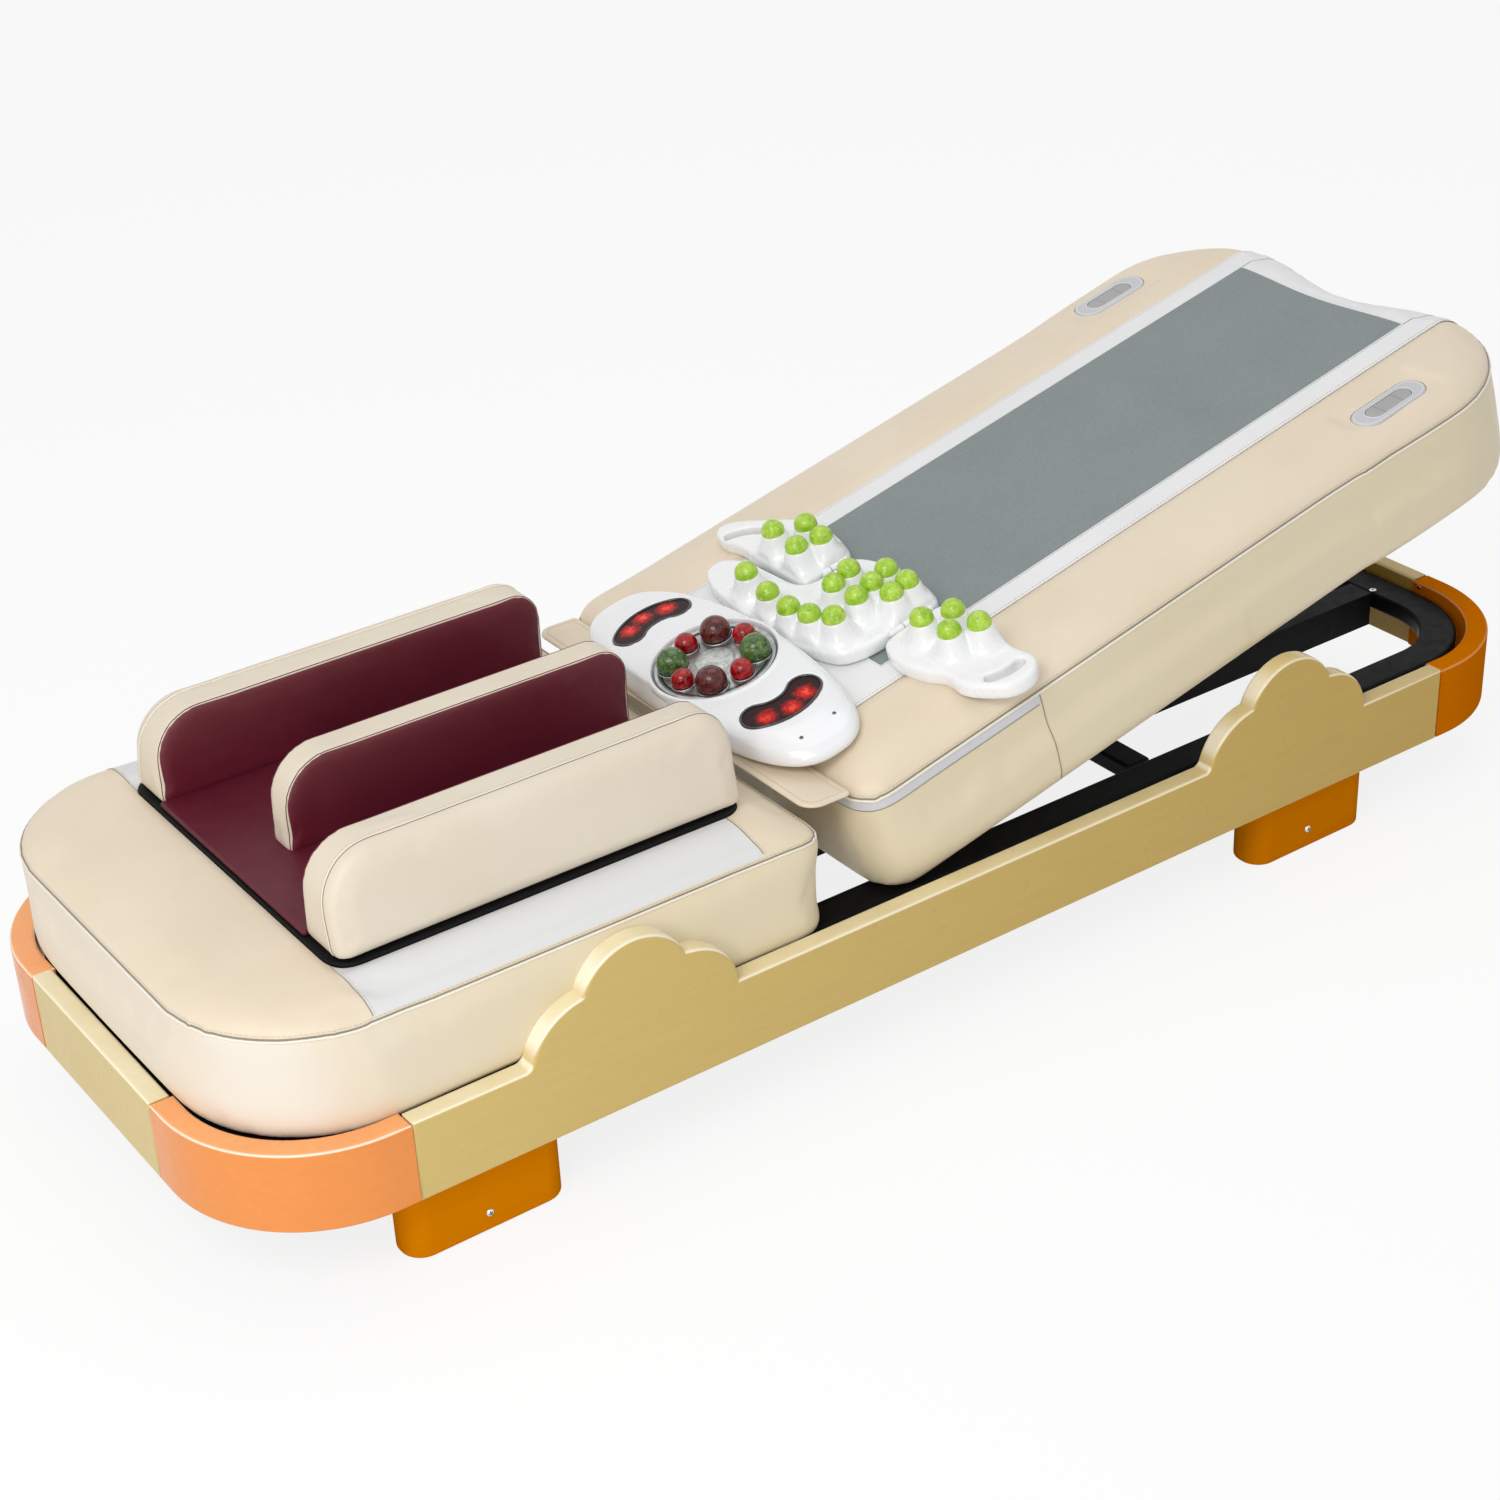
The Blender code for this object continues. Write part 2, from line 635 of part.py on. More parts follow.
def corner_outline(end, side):
    outer = arc((CORNER_X, CORNER_Y), CORNER_RADIUS, 0.0, pi / 2, FINE // 2)
    inner = arc((CORNER_X, CORNER_Y), CORNER_RADIUS - CORNER_THICK, pi / 2, 0.0, FINE // 2)
    outline = [(HALF_LENGTH, JOINT_Y)] + outer + [(JOINT_X, HALF_WIDTH)]
    outline += [(JOINT_X, HALF_WIDTH - CORNER_THICK)] + inner
    outline += [(HALF_LENGTH - CORNER_THICK, JOINT_Y)]
    return [(end * x, side * y) for x, y in outline]


def add_corners(bed, orange):
    for end_name, end in (("foot", -1), ("head", 1)):
        for side_name, side in (("near", -1), ("far", 1)):
            mesh = board("corner", corner_outline(end, side), 0.0, SKIRT_HEIGHT)
            corner = piece(f"corner_{end_name}_{side_name}", mesh, bed, orange)
            round_edges(corner, SKIRT_EDGE)


def add_feet(bed, orange):
    outer = HALF_WIDTH - FOOT_INSET
    for end_name, middle in zip(("foot", "head"), FOOT_PLACES):
        for side_name, side in (("near", -1), ("far", 1)):
            name = f"foot_{end_name}_{side_name}"
            across = sorted((side * outer, side * (outer - FOOT_DEPTH)))
            outline = rounded_box(
                middle - FOOT_LENGTH / 2, middle + FOOT_LENGTH / 2, *across,
                [FOOT_RADIUS] * 4, steps=7,
            )
            foot = piece(name, board(name, outline, -FOOT_HEIGHT, -TOUCH), bed, orange)
            round_edges(foot, FOOT_SOLE_EDGE, segments=1)
            tongue_outer = FRAME_Y - TOUCH
            inside = sorted((side * tongue_outer, side * (tongue_outer - FOOT_TONGUE_DEPTH)))
            tongue = block(
                name,
                (middle - FOOT_TONGUE_LENGTH / 2, inside[0], -FOOT_HEIGHT / 2),
                (middle + FOOT_TONGUE_LENGTH / 2, inside[1], TUBE_BASE - TOUCH),
            )
            combine(foot, tool(name + "_tongue", tongue, bed), "UNION")


def add_ring_frame(bed, steel):
    for name, side in (("near", -1), ("far", 1)):
        across = sorted((side * FRAME_Y, side * (FRAME_Y - TUBE_WIDTH)))
        outline = box_outline(-BEND_X + TOUCH, BEND_X - TOUCH, *across)
        tube = piece("frame_tube_" + name, board(name, outline, TUBE_BASE, TUBE_TOP), bed, steel)
        round_edges(tube, TUBE_EDGE)
    for name, end in (("foot", -1), ("head", 1)):
        along = sorted((end * FRAME_X, end * (FRAME_X - TUBE_WIDTH)))
        outline = box_outline(*along, -BEND_Y + TOUCH, BEND_Y - TOUCH)
        tube = piece("frame_tube_" + name, board(name, outline, TUBE_BASE, TUBE_TOP), bed, steel)
        round_edges(tube, TUBE_EDGE)
    for end_name, end in (("foot", -1), ("head", 1)):
        for side_name, side in (("near", -1), ("far", 1)):
            outer = arc((BEND_X, BEND_Y), FRAME_RADIUS, 0.0, pi / 2, FINE // 2)
            inner = arc((BEND_X, BEND_Y), FRAME_RADIUS - TUBE_WIDTH, pi / 2, 0.0, FINE // 2)
            outline = [(end * x, side * y) for x, y in outer + inner]
            bend = board("bend", outline, TUBE_BASE, TUBE_TOP)
            bend = piece(f"frame_bend_{end_name}_{side_name}", bend, bed, steel)
            round_edges(bend, TUBE_EDGE, segments=1)


def add_channels(bed, steel):
    """Two C channels, open towards each other, that the trolley's blocks run in."""
    low, high = CHANNEL_BASE, TUBE_TOP
    outline = [
        (CHANNEL_INNER, low), (CHANNEL_OUTER, low), (CHANNEL_OUTER, high), (CHANNEL_INNER, high),
        (CHANNEL_INNER, high - CHANNEL_WALL), (CHANNEL_OUTER - CHANNEL_WALL, high - CHANNEL_WALL),
        (CHANNEL_OUTER - CHANNEL_WALL, low + CHANNEL_WALL), (CHANNEL_INNER, low + CHANNEL_WALL),
    ]
    for name, side in (("near", -1), ("far", 1)):
        section = [(side * y, z) for y, z in outline]
        mesh = board("channel", section, -CHANNEL_END, CHANNEL_END, plane="YZ")
        piece("channel_" + name, mesh, bed, steel)


def add_outriggers(bed, steel):
    for name, side in (("near", -1), ("far", 1)):
        inner, outer = CHANNEL_OUTER + TOUCH, FRAME_Y - TUBE_WIDTH - TOUCH
        across = sorted((side * inner, side * outer))
        outline = box_outline(
            OUTRIGGER_PLACE - OUTRIGGER_WIDTH / 2, OUTRIGGER_PLACE + OUTRIGGER_WIDTH / 2, *across
        )
        bar = piece("outrigger_" + name, board(name, outline, TUBE_BASE, TUBE_TOP), bed, steel)
        round_edges(bar, TUBE_EDGE, segments=1)


# Upholstery

def mattress_outline(inset, end_inset=None):
    """Foot mattress seen from above, drawn in from its edge; foot corners are the large ones."""
    foot_r = max(MATTRESS_FOOT_RADIUS - inset, TOUCH)
    end_r = max(MATTRESS_END_RADIUS - inset, TOUCH)
    end_x = MATTRESS_END_X - (inset if end_inset is None else end_inset)
    return rounded_box(
        MATTRESS_FOOT_X + inset, end_x,
        -MATTRESS_HALF + inset, MATTRESS_HALF - inset, (foot_r, end_r, end_r, foot_r),
    )


def back_half_width(s):
    spread = smooth_step(s, BACK_WAIST_S, BACK_SHOULDER_S)
    return BACK_HALF + (BACK_HEAD_HALF - BACK_HALF) * spread


def back_outline(inset):
    """Back section seen square on: a narrow foot end, wider shoulders, two lobes at the head."""
    foot_s, head_s = BACK_FOOT_S + inset, BACK_HEAD_S - inset
    foot_r = max(BACK_FOOT_RADIUS - inset, TOUCH)
    head_r = max(BACK_HEAD_RADIUS - inset, TOUCH)
    head_y = BACK_HEAD_HALF - inset - head_r
    near = [(s, back_half_width(s) - inset) for s in (BACK_WAIST_S, BACK_SHOULDER_S)]
    middle_s = (BACK_WAIST_S + BACK_SHOULDER_S) / 2
    near.insert(1, (middle_s, back_half_width(middle_s) - inset))
    half = []
    for k in range(CORNER_STEPS // 2 + 1):
        y = head_y * k / (CORNER_STEPS // 2)
        half.append((head_s - BACK_DIP * (1 + cos(pi * y / head_y)) / 2, y))
    half += arc((head_s - head_r, head_y), head_r, 0.0, pi / 2, CORNER_STEPS)[1:]
    half += near[::-1]
    foot_y = BACK_HALF - inset - foot_r
    half += arc((foot_s + foot_r, foot_y), foot_r, pi / 2, pi, CORNER_STEPS // 2)
    half.append((foot_s, 0.0))
    return half + [(s, -y) for s, y in half[-2:0:-1]]


def side_rings(outline_at, base, top):
    """Rings of a cushion's drawn-in sides, up to the seam at its top edge."""
    levels = (
        (SIDE_DRAW, base), (0.0, base + 3 * SIDE_DRAW), (SIDE_DRAW, (base + top) / 2),
        (0.0, top - 2 * SIDE_DRAW), (0.0, top),
    )
    return [[(u, v, height) for u, v in outline_at(inset)] for inset, height in levels]


def leg_tray_outline(grow=0.0):
    return rounded_box(
        LEG_FOOT_X - grow, LEG_KNEE_X + grow, -LEG_HALF - grow, LEG_HALF + grow,
        [LEG_TRAY_RADIUS + grow] * 4, steps=6,
    )


def add_foot_mattress(bed, leather, ply):
    reach = MATTRESS_HALF - WALL_OUTER_Y
    rings = side_rings(mattress_outline, MATTRESS_BASE, MATTRESS_TOP)
    for (share, rise), ramp in zip(CROWN_LEVELS, MATTRESS_END_RAMP):
        height = MATTRESS_TOP + rise * MATTRESS_CROWN
        rings.append([(u, v, height) for u, v in mattress_outline(share * reach, ramp)])
    cushion = piece("foot_cushion", loft("foot_cushion", rings), bed, leather)
    pocket = board(
        "foot_board_pocket", mattress_outline(BOARD_INSET - TOUCH),
        MATTRESS_BASE - OVERRUN, MATTRESS_BASE + BOARD_THICK + TOUCH,
    )
    combine(cushion, tool("foot_board_pocket", pocket, bed), "DIFFERENCE")
    hollow = board(
        "tray_hollow", leg_tray_outline(TOUCH), LEG_TRAY_BASE - TOUCH,
        MATTRESS_TOP + MATTRESS_CROWN + OVERRUN,
    )
    combine(cushion, tool("tray_hollow", hollow, bed), "DIFFERENCE")
    outline = mattress_outline(BOARD_INSET)
    base = board("foot_base_board", outline, MATTRESS_BASE, MATTRESS_BASE + BOARD_THICK)
    piece("foot_base_board", base, bed, ply)


def heel_wedge():
    """What the raised back leaves out under its foot end, so that it clears the frame."""
    def level(s):
        clear = TUBE_TOP + BACK_LOWERED_GAP - BACK_SEAM_HEIGHT
        return (clear - s * sin(BACK_TILT)) / cos(BACK_TILT)

    low = -BACK_THICK - OVERRUN
    foot_s = BACK_FOOT_S - OVERRUN
    meeting = foot_s + (level(foot_s) - low) / tan(BACK_TILT)
    outline = [(foot_s, low), (meeting, low), (foot_s, level(foot_s))]
    return board("heel_wedge", outline, -HALF_WIDTH, HALF_WIDTH, plane="XZ")


def add_back_upholstery(back, leather, ply):
    reach = BACK_HALF - COVER_HALF
    rings = side_rings(back_outline, BACK_BOARD_T, 0.0)
    for share, rise in CROWN_LEVELS:
        rings.append([(u, v, rise * BACK_CROWN) for u, v in back_outline(share * reach)])
    cushion = piece("back_cushion", loft("back_cushion", rings), back, leather)
    pocket = board(
        "back_board_pocket", back_outline(BOARD_INSET - TOUCH),
        BACK_BOARD_T - OVERRUN, BACK_BOARD_T + BOARD_THICK + TOUCH,
    )
    combine(cushion, tool("back_board_pocket", pocket, back), "DIFFERENCE")
    wedge = tool("heel_wedge", heel_wedge(), back)
    combine(cushion, wedge, "DIFFERENCE")
    well = block(
        "carriage_well",
        (WELL_FOOT_S, -WELL_HALF, BACK_CROWN - WELL_DEPTH),
        (WELL_HEAD_S, WELL_HALF, BACK_CROWN + OVERRUN),
    )
    combine(cushion, tool("carriage_well", well, back), "DIFFERENCE")
    for name, side in (("near", -1), ("far", 1)):
        outline = moved(
            stadium(PANEL_LENGTH + 2 * TOUCH, PANEL_WIDTH + 2 * TOUCH), PANEL_S, side * PANEL_Y
        )
        mesh = board("panel_pocket", outline, PANEL_POCKET_T, BACK_CROWN + OVERRUN)
        combine(cushion, tool("panel_pocket_" + name, mesh, back), "DIFFERENCE")
    outline = back_outline(BOARD_INSET)
    base = board("back_base_board", outline, BACK_BOARD_T, BACK_BOARD_T + BOARD_THICK)
    combine(piece("back_base_board", base, back, ply), wedge, "DIFFERENCE")


def add_centre_cover(back, white, mesh_fabric):
    cover_head = BACK_HEAD_S - BACK_DIP - COVER_HEAD_MARGIN
    low = BACK_CROWN + TOUCH
    outline = box_outline(COVER_FOOT_S, cover_head, -COVER_HALF, COVER_HALF)
    mesh = board("centre_cover", outline, low, low + COVER_THICK)
    piece("centre_cover", mesh, back, white)
    mesh_head = BACK_HEAD_S - BACK_DIP - MESH_HEAD_MARGIN
    low += COVER_THICK + TOUCH
    outline = rounded_box(
        MESH_FOOT_S, mesh_head, -MESH_HALF, MESH_HALF, [MESH_CORNER] * 4, steps=3
    )
    mesh = board("mesh_panel", outline, low, low + MESH_THICK)
    piece("mesh_panel", mesh, back, mesh_fabric)


# Inner roller carriage

def add_carriage(back, steel, plastic, jade):
    floor = BACK_CROWN - WELL_DEPTH + TOUCH
    outer, wall = WELL_HALF - TOUCH, TRACK_WALL
    track = [
        (-outer, floor), (outer, floor), (outer, floor + TRACK_HEIGHT),
        (outer - wall, floor + TRACK_HEIGHT), (outer - wall, floor + wall),
        (-outer + wall, floor + wall), (-outer + wall, floor + TRACK_HEIGHT),
        (-outer, floor + TRACK_HEIGHT),
    ]
    mesh = board("track", track, WELL_FOOT_S + TOUCH, WELL_HEAD_S - TOUCH, plane="YZ")
    piece("carriage_track", mesh, back, steel)
    skid = floor + wall + TOUCH
    axle_t = BACK_CROWN - ROLLER_CLEARANCE - ROLLER_RADIUS
    carriage = guide("carriage_travel", back, (CARRIAGE_S, 0.0, skid))
    side = outer - wall - RUN
    cheek_in = side - CARRIAGE_CHEEK
    cheek_top = axle_t + 2 * AXLE_RADIUS - skid
    base = CARRIAGE_SKID + CARRIAGE_BASE
    section = [
        (-side, 0.0), (-side + CARRIAGE_CHEEK, 0.0), (-side + CARRIAGE_CHEEK, CARRIAGE_SKID),
        (side - CARRIAGE_CHEEK, CARRIAGE_SKID), (side - CARRIAGE_CHEEK, 0.0), (side, 0.0),
        (side, cheek_top), (cheek_in, cheek_top), (cheek_in, base), (-cheek_in, base),
        (-cheek_in, cheek_top), (-side, cheek_top),
    ]
    half = CARRIAGE_LENGTH / 2
    mesh = board("carriage", section, -half, half, plane="YZ")
    body = piece("roller_carriage", mesh, carriage, plastic)
    for name, place in (("foot", -ROLLER_SPACING / 2), ("head", ROLLER_SPACING / 2)):
        bore = rod(
            "axle_bore", (place, -outer, axle_t - skid), (place, outer, axle_t - skid),
            AXLE_RADIUS + RUN,
        )
        combine(body, tool("axle_bore_" + name, bore, carriage), "DIFFERENCE")
        end = side - TOUCH
        waist = ROLLER_HALF * 0.5
        profile = [
            (0.0, end), (AXLE_RADIUS, end), (AXLE_RADIUS, ROLLER_HALF),
            (ROLLER_WAIST, ROLLER_HALF), (ROLLER_RADIUS, ROLLER_HALF - waist / 3),
            (ROLLER_RADIUS, waist / 3 * 2), (ROLLER_WAIST, 0.0),
            (ROLLER_RADIUS, -waist / 3 * 2), (ROLLER_RADIUS, -ROLLER_HALF + waist / 3),
            (ROLLER_WAIST, -ROLLER_HALF), (AXLE_RADIUS, -ROLLER_HALF), (AXLE_RADIUS, -end),
            (0.0, -end),
        ]
        turned(
            "jade_roller_" + name, profile, carriage, jade, COARSE,
            place=(place, 0.0, axle_t - skid), turn=(pi / 2, 0.0, 0.0),
        )


# Trolley, hinge and the two actuators

def add_trolley(bed, steel, bright):
    trolley = guide("trolley_slide", bed, (HINGE_X, 0.0, HINGE_Z))
    half = TROLLEY_LENGTH / 2
    floor = CHANNEL_BASE + CHANNEL_WALL - HINGE_Z
    roof = TUBE_TOP - CHANNEL_WALL - HINGE_Z
    reach = CHANNEL_OUTER - CHANNEL_WALL - RUN
    throat = CHANNEL_INNER - 2 * RUN
    block_low, block_high = floor + RUN, roof - RUN
    plate_top = block_low + 2 * RUN
    cheek = throat - TROLLEY_CHEEK
    side = [
        (cheek, plate_top), (cheek, block_high), (reach, block_high), (reach, block_low + TOUCH),
        (throat, block_low), (throat, plate_top - TROLLEY_PLATE),
    ]
    section = side + [(-y, z) for y, z in side[::-1]]
    body = piece("trolley", board("trolley", section, -half, half, plane="YZ"), trolley, steel)
    bore = rod("hinge_bore", (0, -HALF_WIDTH, 0), (0, HALF_WIDTH, 0), PIN_RADIUS + RUN, FINE)
    combine(body, tool("hinge_bore", bore, trolley), "DIFFERENCE")
    plate_high = SHIFT_AXIS_Z - HINGE_Z + SHIFT_ROD_RADIUS + TOUCH
    web = block(
        "trolley_web",
        (-half, -SHIFT_PLATE_HALF, plate_top - TROLLEY_PLATE / 2),
        (-half + SHIFT_PLATE, SHIFT_PLATE_HALF, plate_high),
    )
    combine(body, tool("trolley_web", web, trolley), "UNION")
    pin = rod("hinge_pin", (0, -throat + TOUCH, 0), (0, throat - TOUCH, 0), PIN_RADIUS, FINE)
    piece("hinge_pin", pin, trolley, bright)
    axis_z = SHIFT_AXIS_Z - HINGE_Z
    end = -half - TOUCH
    length = HINGE_X - half - SHIFT_MOUTH_X + SHIFT_ROD_OVERLAP
    stem = rod("shift_rod", (end - length, 0, axis_z), (end, 0, axis_z), SHIFT_ROD_RADIUS)
    piece("shift_rod", stem, trolley, bright)
    return trolley


def add_shift_actuator(bed, plastic):
    mouth, rear = SHIFT_MOUTH_X, SHIFT_MOUTH_X - SHIFT_TUBE_LENGTH
    tube = rod("tube", (rear, 0, SHIFT_AXIS_Z), (mouth, 0, SHIFT_AXIS_Z), SHIFT_TUBE_RADIUS, FINE)
    body = piece("shift_actuator", tube, bed, plastic)
    width = CHANNEL_INNER - TOUCH
    outline = rounded_box(
        -width, width, CHANNEL_BASE + CHANNEL_WALL, TUBE_TOP - CHANNEL_WALL,
        [CHANNEL_WALL] * 4, steps=3,
    )
    motor = board(
        "shift_motor", outline, rear - SHIFT_MOTOR_LENGTH, rear + SHIFT_TUBE_RADIUS, plane="YZ"
    )
    combine(body, tool("shift_motor", motor, bed), "UNION")
    bore = rod(
        "shift_bore", (rear + OVERRUN, 0, SHIFT_AXIS_Z), (mouth + OVERRUN, 0, SHIFT_AXIS_Z),
        SHIFT_TUBE_RADIUS - SHIFT_TUBE_WALL,
    )
    combine(body, tool("shift_bore", bore, bed), "DIFFERENCE")


def eye_outline(radius, root, half):
    """Lug seen from the side: a straight root at v = root and a round end about the origin."""
    return [(-half, root), (half, root)] + arc((0.0, 0.0), radius, 0.0, -pi, COARSE // 2)


def add_back_spine(back, steel):
    """Steel plate under the base board, with the hinge lugs and the lift lugs bent down."""
    top = BACK_BOARD_T - TOUCH
    foot_s = HINGE_S - SPINE_MARGIN
    head_s = LIFT_LUG_S + SPINE_MARGIN
    outline = box_outline(foot_s, head_s, -SPINE_HALF, SPINE_HALF)
    spine = piece("back_spine", board("spine", outline, top - SPINE_THICK, top), back, steel)
    inner_ear = LIFT_EYE_HALF + ANCHOR_GAP / 2
    places = (
        ("hinge_lug", HINGE_S, HINGE_T, SPINE_HALF - LUG_THICK, LUG_RADIUS, PIN_RADIUS + RUN),
        ("lift_lug", LIFT_LUG_S, LIFT_LUG_T, inner_ear, LUG_RADIUS, 0.0),
    )
    for name, s, t, inner, radius, bore in places:
        root = top - SPINE_THICK / 2 - t
        for side in (-1, 1):
            across = sorted((side * inner, side * (inner + LUG_THICK)))
            lug = board(name, eye_outline(radius, root, radius), *across, plane="XZ")
            key = f"{name}_{'near' if side < 0 else 'far'}"
            combine(spine, tool(key, lug, back, (s, 0.0, t)), "UNION")
        if bore:
            hole = rod(name + "_bore", (s, -HALF_WIDTH, t), (s, HALF_WIDTH, t), bore, FINE)
            combine(spine, tool(name + "_bore", hole, back), "DIFFERENCE")
        else:
            reach = inner + LUG_THICK / 2
            pin = rod(name + "_pin", (s, -reach, t), (s, reach, t), PIN_RADIUS)
            combine(spine, tool(name + "_pin", pin, back), "UNION")


def add_lift_anchor(bed, steel):
    """Cross plate under the channels, with two ears and the lift actuator's pin."""
    top = CHANNEL_BASE - TOUCH
    front = LIFT_PIVOT_X - LIFT_EYE_RADIUS + ANCHOR_PLATE
    plate = block(
        "anchor", (front - ANCHOR_LENGTH, -CHANNEL_OUTER, top - ANCHOR_PLATE),
        (front, CHANNEL_OUTER, top),
    )
    anchor = piece("lift_anchor", plate, bed, steel)
    inner = LIFT_EYE_HALF + ANCHOR_GAP / 2
    rise = top - ANCHOR_PLATE / 2 - LIFT_PIVOT_Z
    left = front - ANCHOR_LENGTH - LIFT_PIVOT_X
    ear = [(left, rise), (-LUG_RADIUS, 0.0)]
    ear += arc((0.0, 0.0), LUG_RADIUS, pi, 2 * pi, COARSE // 2)[1:]
    ear += [(LUG_RADIUS, 0.0), (front - LIFT_PIVOT_X, rise)]
    for side in (-1, 1):
        across = sorted((side * inner, side * (inner + ANCHOR_EAR)))
        mesh = board("ear", ear[:-2] + ear[-1:], *across, plane="XZ")
        key = "anchor_ear_near" if side < 0 else "anchor_ear_far"
        combine(anchor, tool(key, mesh, bed, (LIFT_PIVOT_X, 0.0, LIFT_PIVOT_Z)), "UNION")
    reach = inner + ANCHOR_EAR / 2
    pin = rod(
        "anchor_pin", (LIFT_PIVOT_X, -reach, LIFT_PIVOT_Z), (LIFT_PIVOT_X, reach, LIFT_PIVOT_Z),
        PIN_RADIUS,
    )
    combine(anchor, tool("anchor_pin", pin, bed), "UNION")


def add_lift_actuator(bed, plastic, bright):
    pivot = guide("lift_pivot", bed, (LIFT_PIVOT_X, 0.0, LIFT_PIVOT_Z), -LIFT_ANGLE)
    half = LIFT_EYE_HALF
    tube = rod("tube", (0.0, 0, 0), (LIFT_TUBE_END, 0, 0), LIFT_TUBE_RADIUS, FINE)
    body = piece("lift_actuator", tube, pivot, plastic)
    trim = LIFT_TUBE_RADIUS + OVERRUN
    for side in (-1, 1):
        across = sorted((side * half, side * trim))
        cheek = block(
            "cheek", (-trim, across[0], -trim), (LUG_RADIUS + RUN, across[1], trim)
        )
        key = "eye_cheek_near" if side < 0 else "eye_cheek_far"
        combine(body, tool(key, cheek, pivot), "DIFFERENCE")
    eye = rod("eye", (0, -half, 0), (0, half, 0), LIFT_EYE_RADIUS, FINE)
    combine(body, tool("lift_eye", eye, pivot), "UNION")
    hole = rod("eye_bore", (0, -trim, 0), (0, trim, 0), PIN_RADIUS + RUN, FINE)
    combine(body, tool("lift_eye_bore", hole, pivot), "DIFFERENCE")
    start = LIFT_MOTOR_START
    motor = rod(
        "motor", (start, LIFT_MOTOR_SIDE, 0), (start + LIFT_MOTOR_LENGTH, LIFT_MOTOR_SIDE, 0),
        LIFT_MOTOR_RADIUS, FINE,
    )
    combine(body, tool("lift_motor_can", motor, pivot), "UNION")
    bore = rod(
        "rod_bore", (LIFT_BORE_START, 0, 0), (LIFT_TUBE_END + OVERRUN, 0, 0),
        LIFT_ROD_RADIUS + RUN,
    )
    combine(body, tool("lift_rod_bore", bore, pivot), "DIFFERENCE")
    slide = guide("lift_rod_slide", pivot, (LIFT_LENGTH, 0.0, 0.0))
    stem = rod("stem", (-LIFT_ROD_LENGTH, 0, 0), (0, 0, 0), LIFT_ROD_RADIUS)
    stem = piece("lift_rod", stem, slide, bright)
    end = rod("end_eye", (0, -half, 0), (0, half, 0), LIFT_END_EYE_RADIUS, FINE)
    combine(stem, tool("lift_end_eye", end, slide), "UNION")
    hole = rod("end_bore", (0, -trim, 0), (0, trim, 0), PIN_RADIUS + LIFT_END_PLAY, FINE)
    combine(stem, tool("lift_end_bore", hole, slide), "DIFFERENCE")


def add_flap(back, leather):
    """Thin pad from the back's foot edge over the joint; it lies level on the mattress."""
    fold = guide("flap_fold", back, (BACK_FOOT_S + FLAP_TUCK, 0.0, FLAP_LIFT), BACK_TILT)
    half = FLAP_THICK / 2
    small = FLAP_TUCK_RADIUS
    outline = rounded_box(
        -FLAP_LENGTH, half, -FLAP_HALF, FLAP_HALF,
        (FLAP_RADIUS, small, small, FLAP_RADIUS), steps=5,
    )
    flap = piece("joint_flap", board("flap", outline, -half, half), fold, leather)
    round_edges(flap, half * 0.8, segments=1)


# Control panels

def d_key(length, width):
    """Key outline with a straight end at u = 0 and a round one at u = -length."""
    radius = width / 2
    return [(0.0, -radius), (0.0, radius)] + arc(
        (-length + radius, 0.0), radius, pi / 2, 1.5 * pi, CORNER_STEPS
    )


def add_control_panels(back, grey, key_grey):
    floor = PANEL_POCKET_T + TOUCH
    row_floor = PANEL_TOP_T - KEY_ROW_DEPTH
    for name, side in (("near", -1), ("far", 1)):
        panel = guide(f"control_panel_{name}_seat", back, (PANEL_S, side * PANEL_Y, 0.0))
        mesh = board("panel", stadium(PANEL_LENGTH, PANEL_WIDTH), floor, PANEL_TOP_T)
        body = piece("control_panel_" + name, mesh, panel, grey)
        round_edges(body, PANEL_EDGE)
        row = board(
            "key_row", stadium(KEY_ROW_LENGTH, KEY_ROW_WIDTH), row_floor, PANEL_TOP_T + OVERRUN
        )
        combine(body, tool("key_row_" + name, row, panel), "DIFFERENCE")
        middle = KEY_ROW_LENGTH * KEY_MIDDLE_SHARE / 2
        width = KEY_ROW_WIDTH - 2 * KEY_GAP
        end = KEY_ROW_LENGTH / 2 - middle - 2 * KEY_GAP
        round_key = d_key(end, width)
        outlines = {
            "foot": (-middle - KEY_GAP, round_key),
            "middle": (0.0, box_outline(-middle, middle, -width / 2, width / 2)),
            "head": (middle + KEY_GAP, [(-u, v) for u, v in round_key]),
        }
        low = row_floor + KEY_TRAVEL + TOUCH
        for place, (shift, outline) in outlines.items():
            key = guide(f"key_{name}_{place}_seat", panel, (shift, 0.0, low))
            mesh = board("key", outline, 0.0, KEY_HEIGHT)
            round_edges(piece(f"key_{name}_{place}", mesh, key, key_grey), KEY_EDGE, 1)


# Leg massager

def wall_rings(foot_x, knee_x, low_y, high_y, base):
    """Padded wall lofted across its thickness, with soft edges and slightly crowned faces."""
    top = base + WALL_HEIGHT
    crown = WALL_CROWN

    def ring(y, inset):
        low = min(inset, WALL_BASE_RADIUS)
        radii = (
            WALL_BASE_RADIUS, WALL_BASE_RADIUS,
            WALL_KNEE_RADIUS - inset, WALL_FOOT_RADIUS - inset,
        )
        outline = rounded_box(
            foot_x + inset, knee_x - inset, base + low, top - inset, radii, steps=6
        )
        return [(x, y, z) for x, z in outline]

    edge = WALL_ROUND
    levels = (
        (crown * 0.0, 2.4 * edge), (crown, 1.0 * edge), (crown + 0.30 * edge, 0.30 * edge),
        (crown + edge, 0.0),
    )
    near = [ring(low_y + depth, inset) for depth, inset in levels]
    far = [ring(high_y - depth, inset) for depth, inset in levels[::-1]]
    return near + far


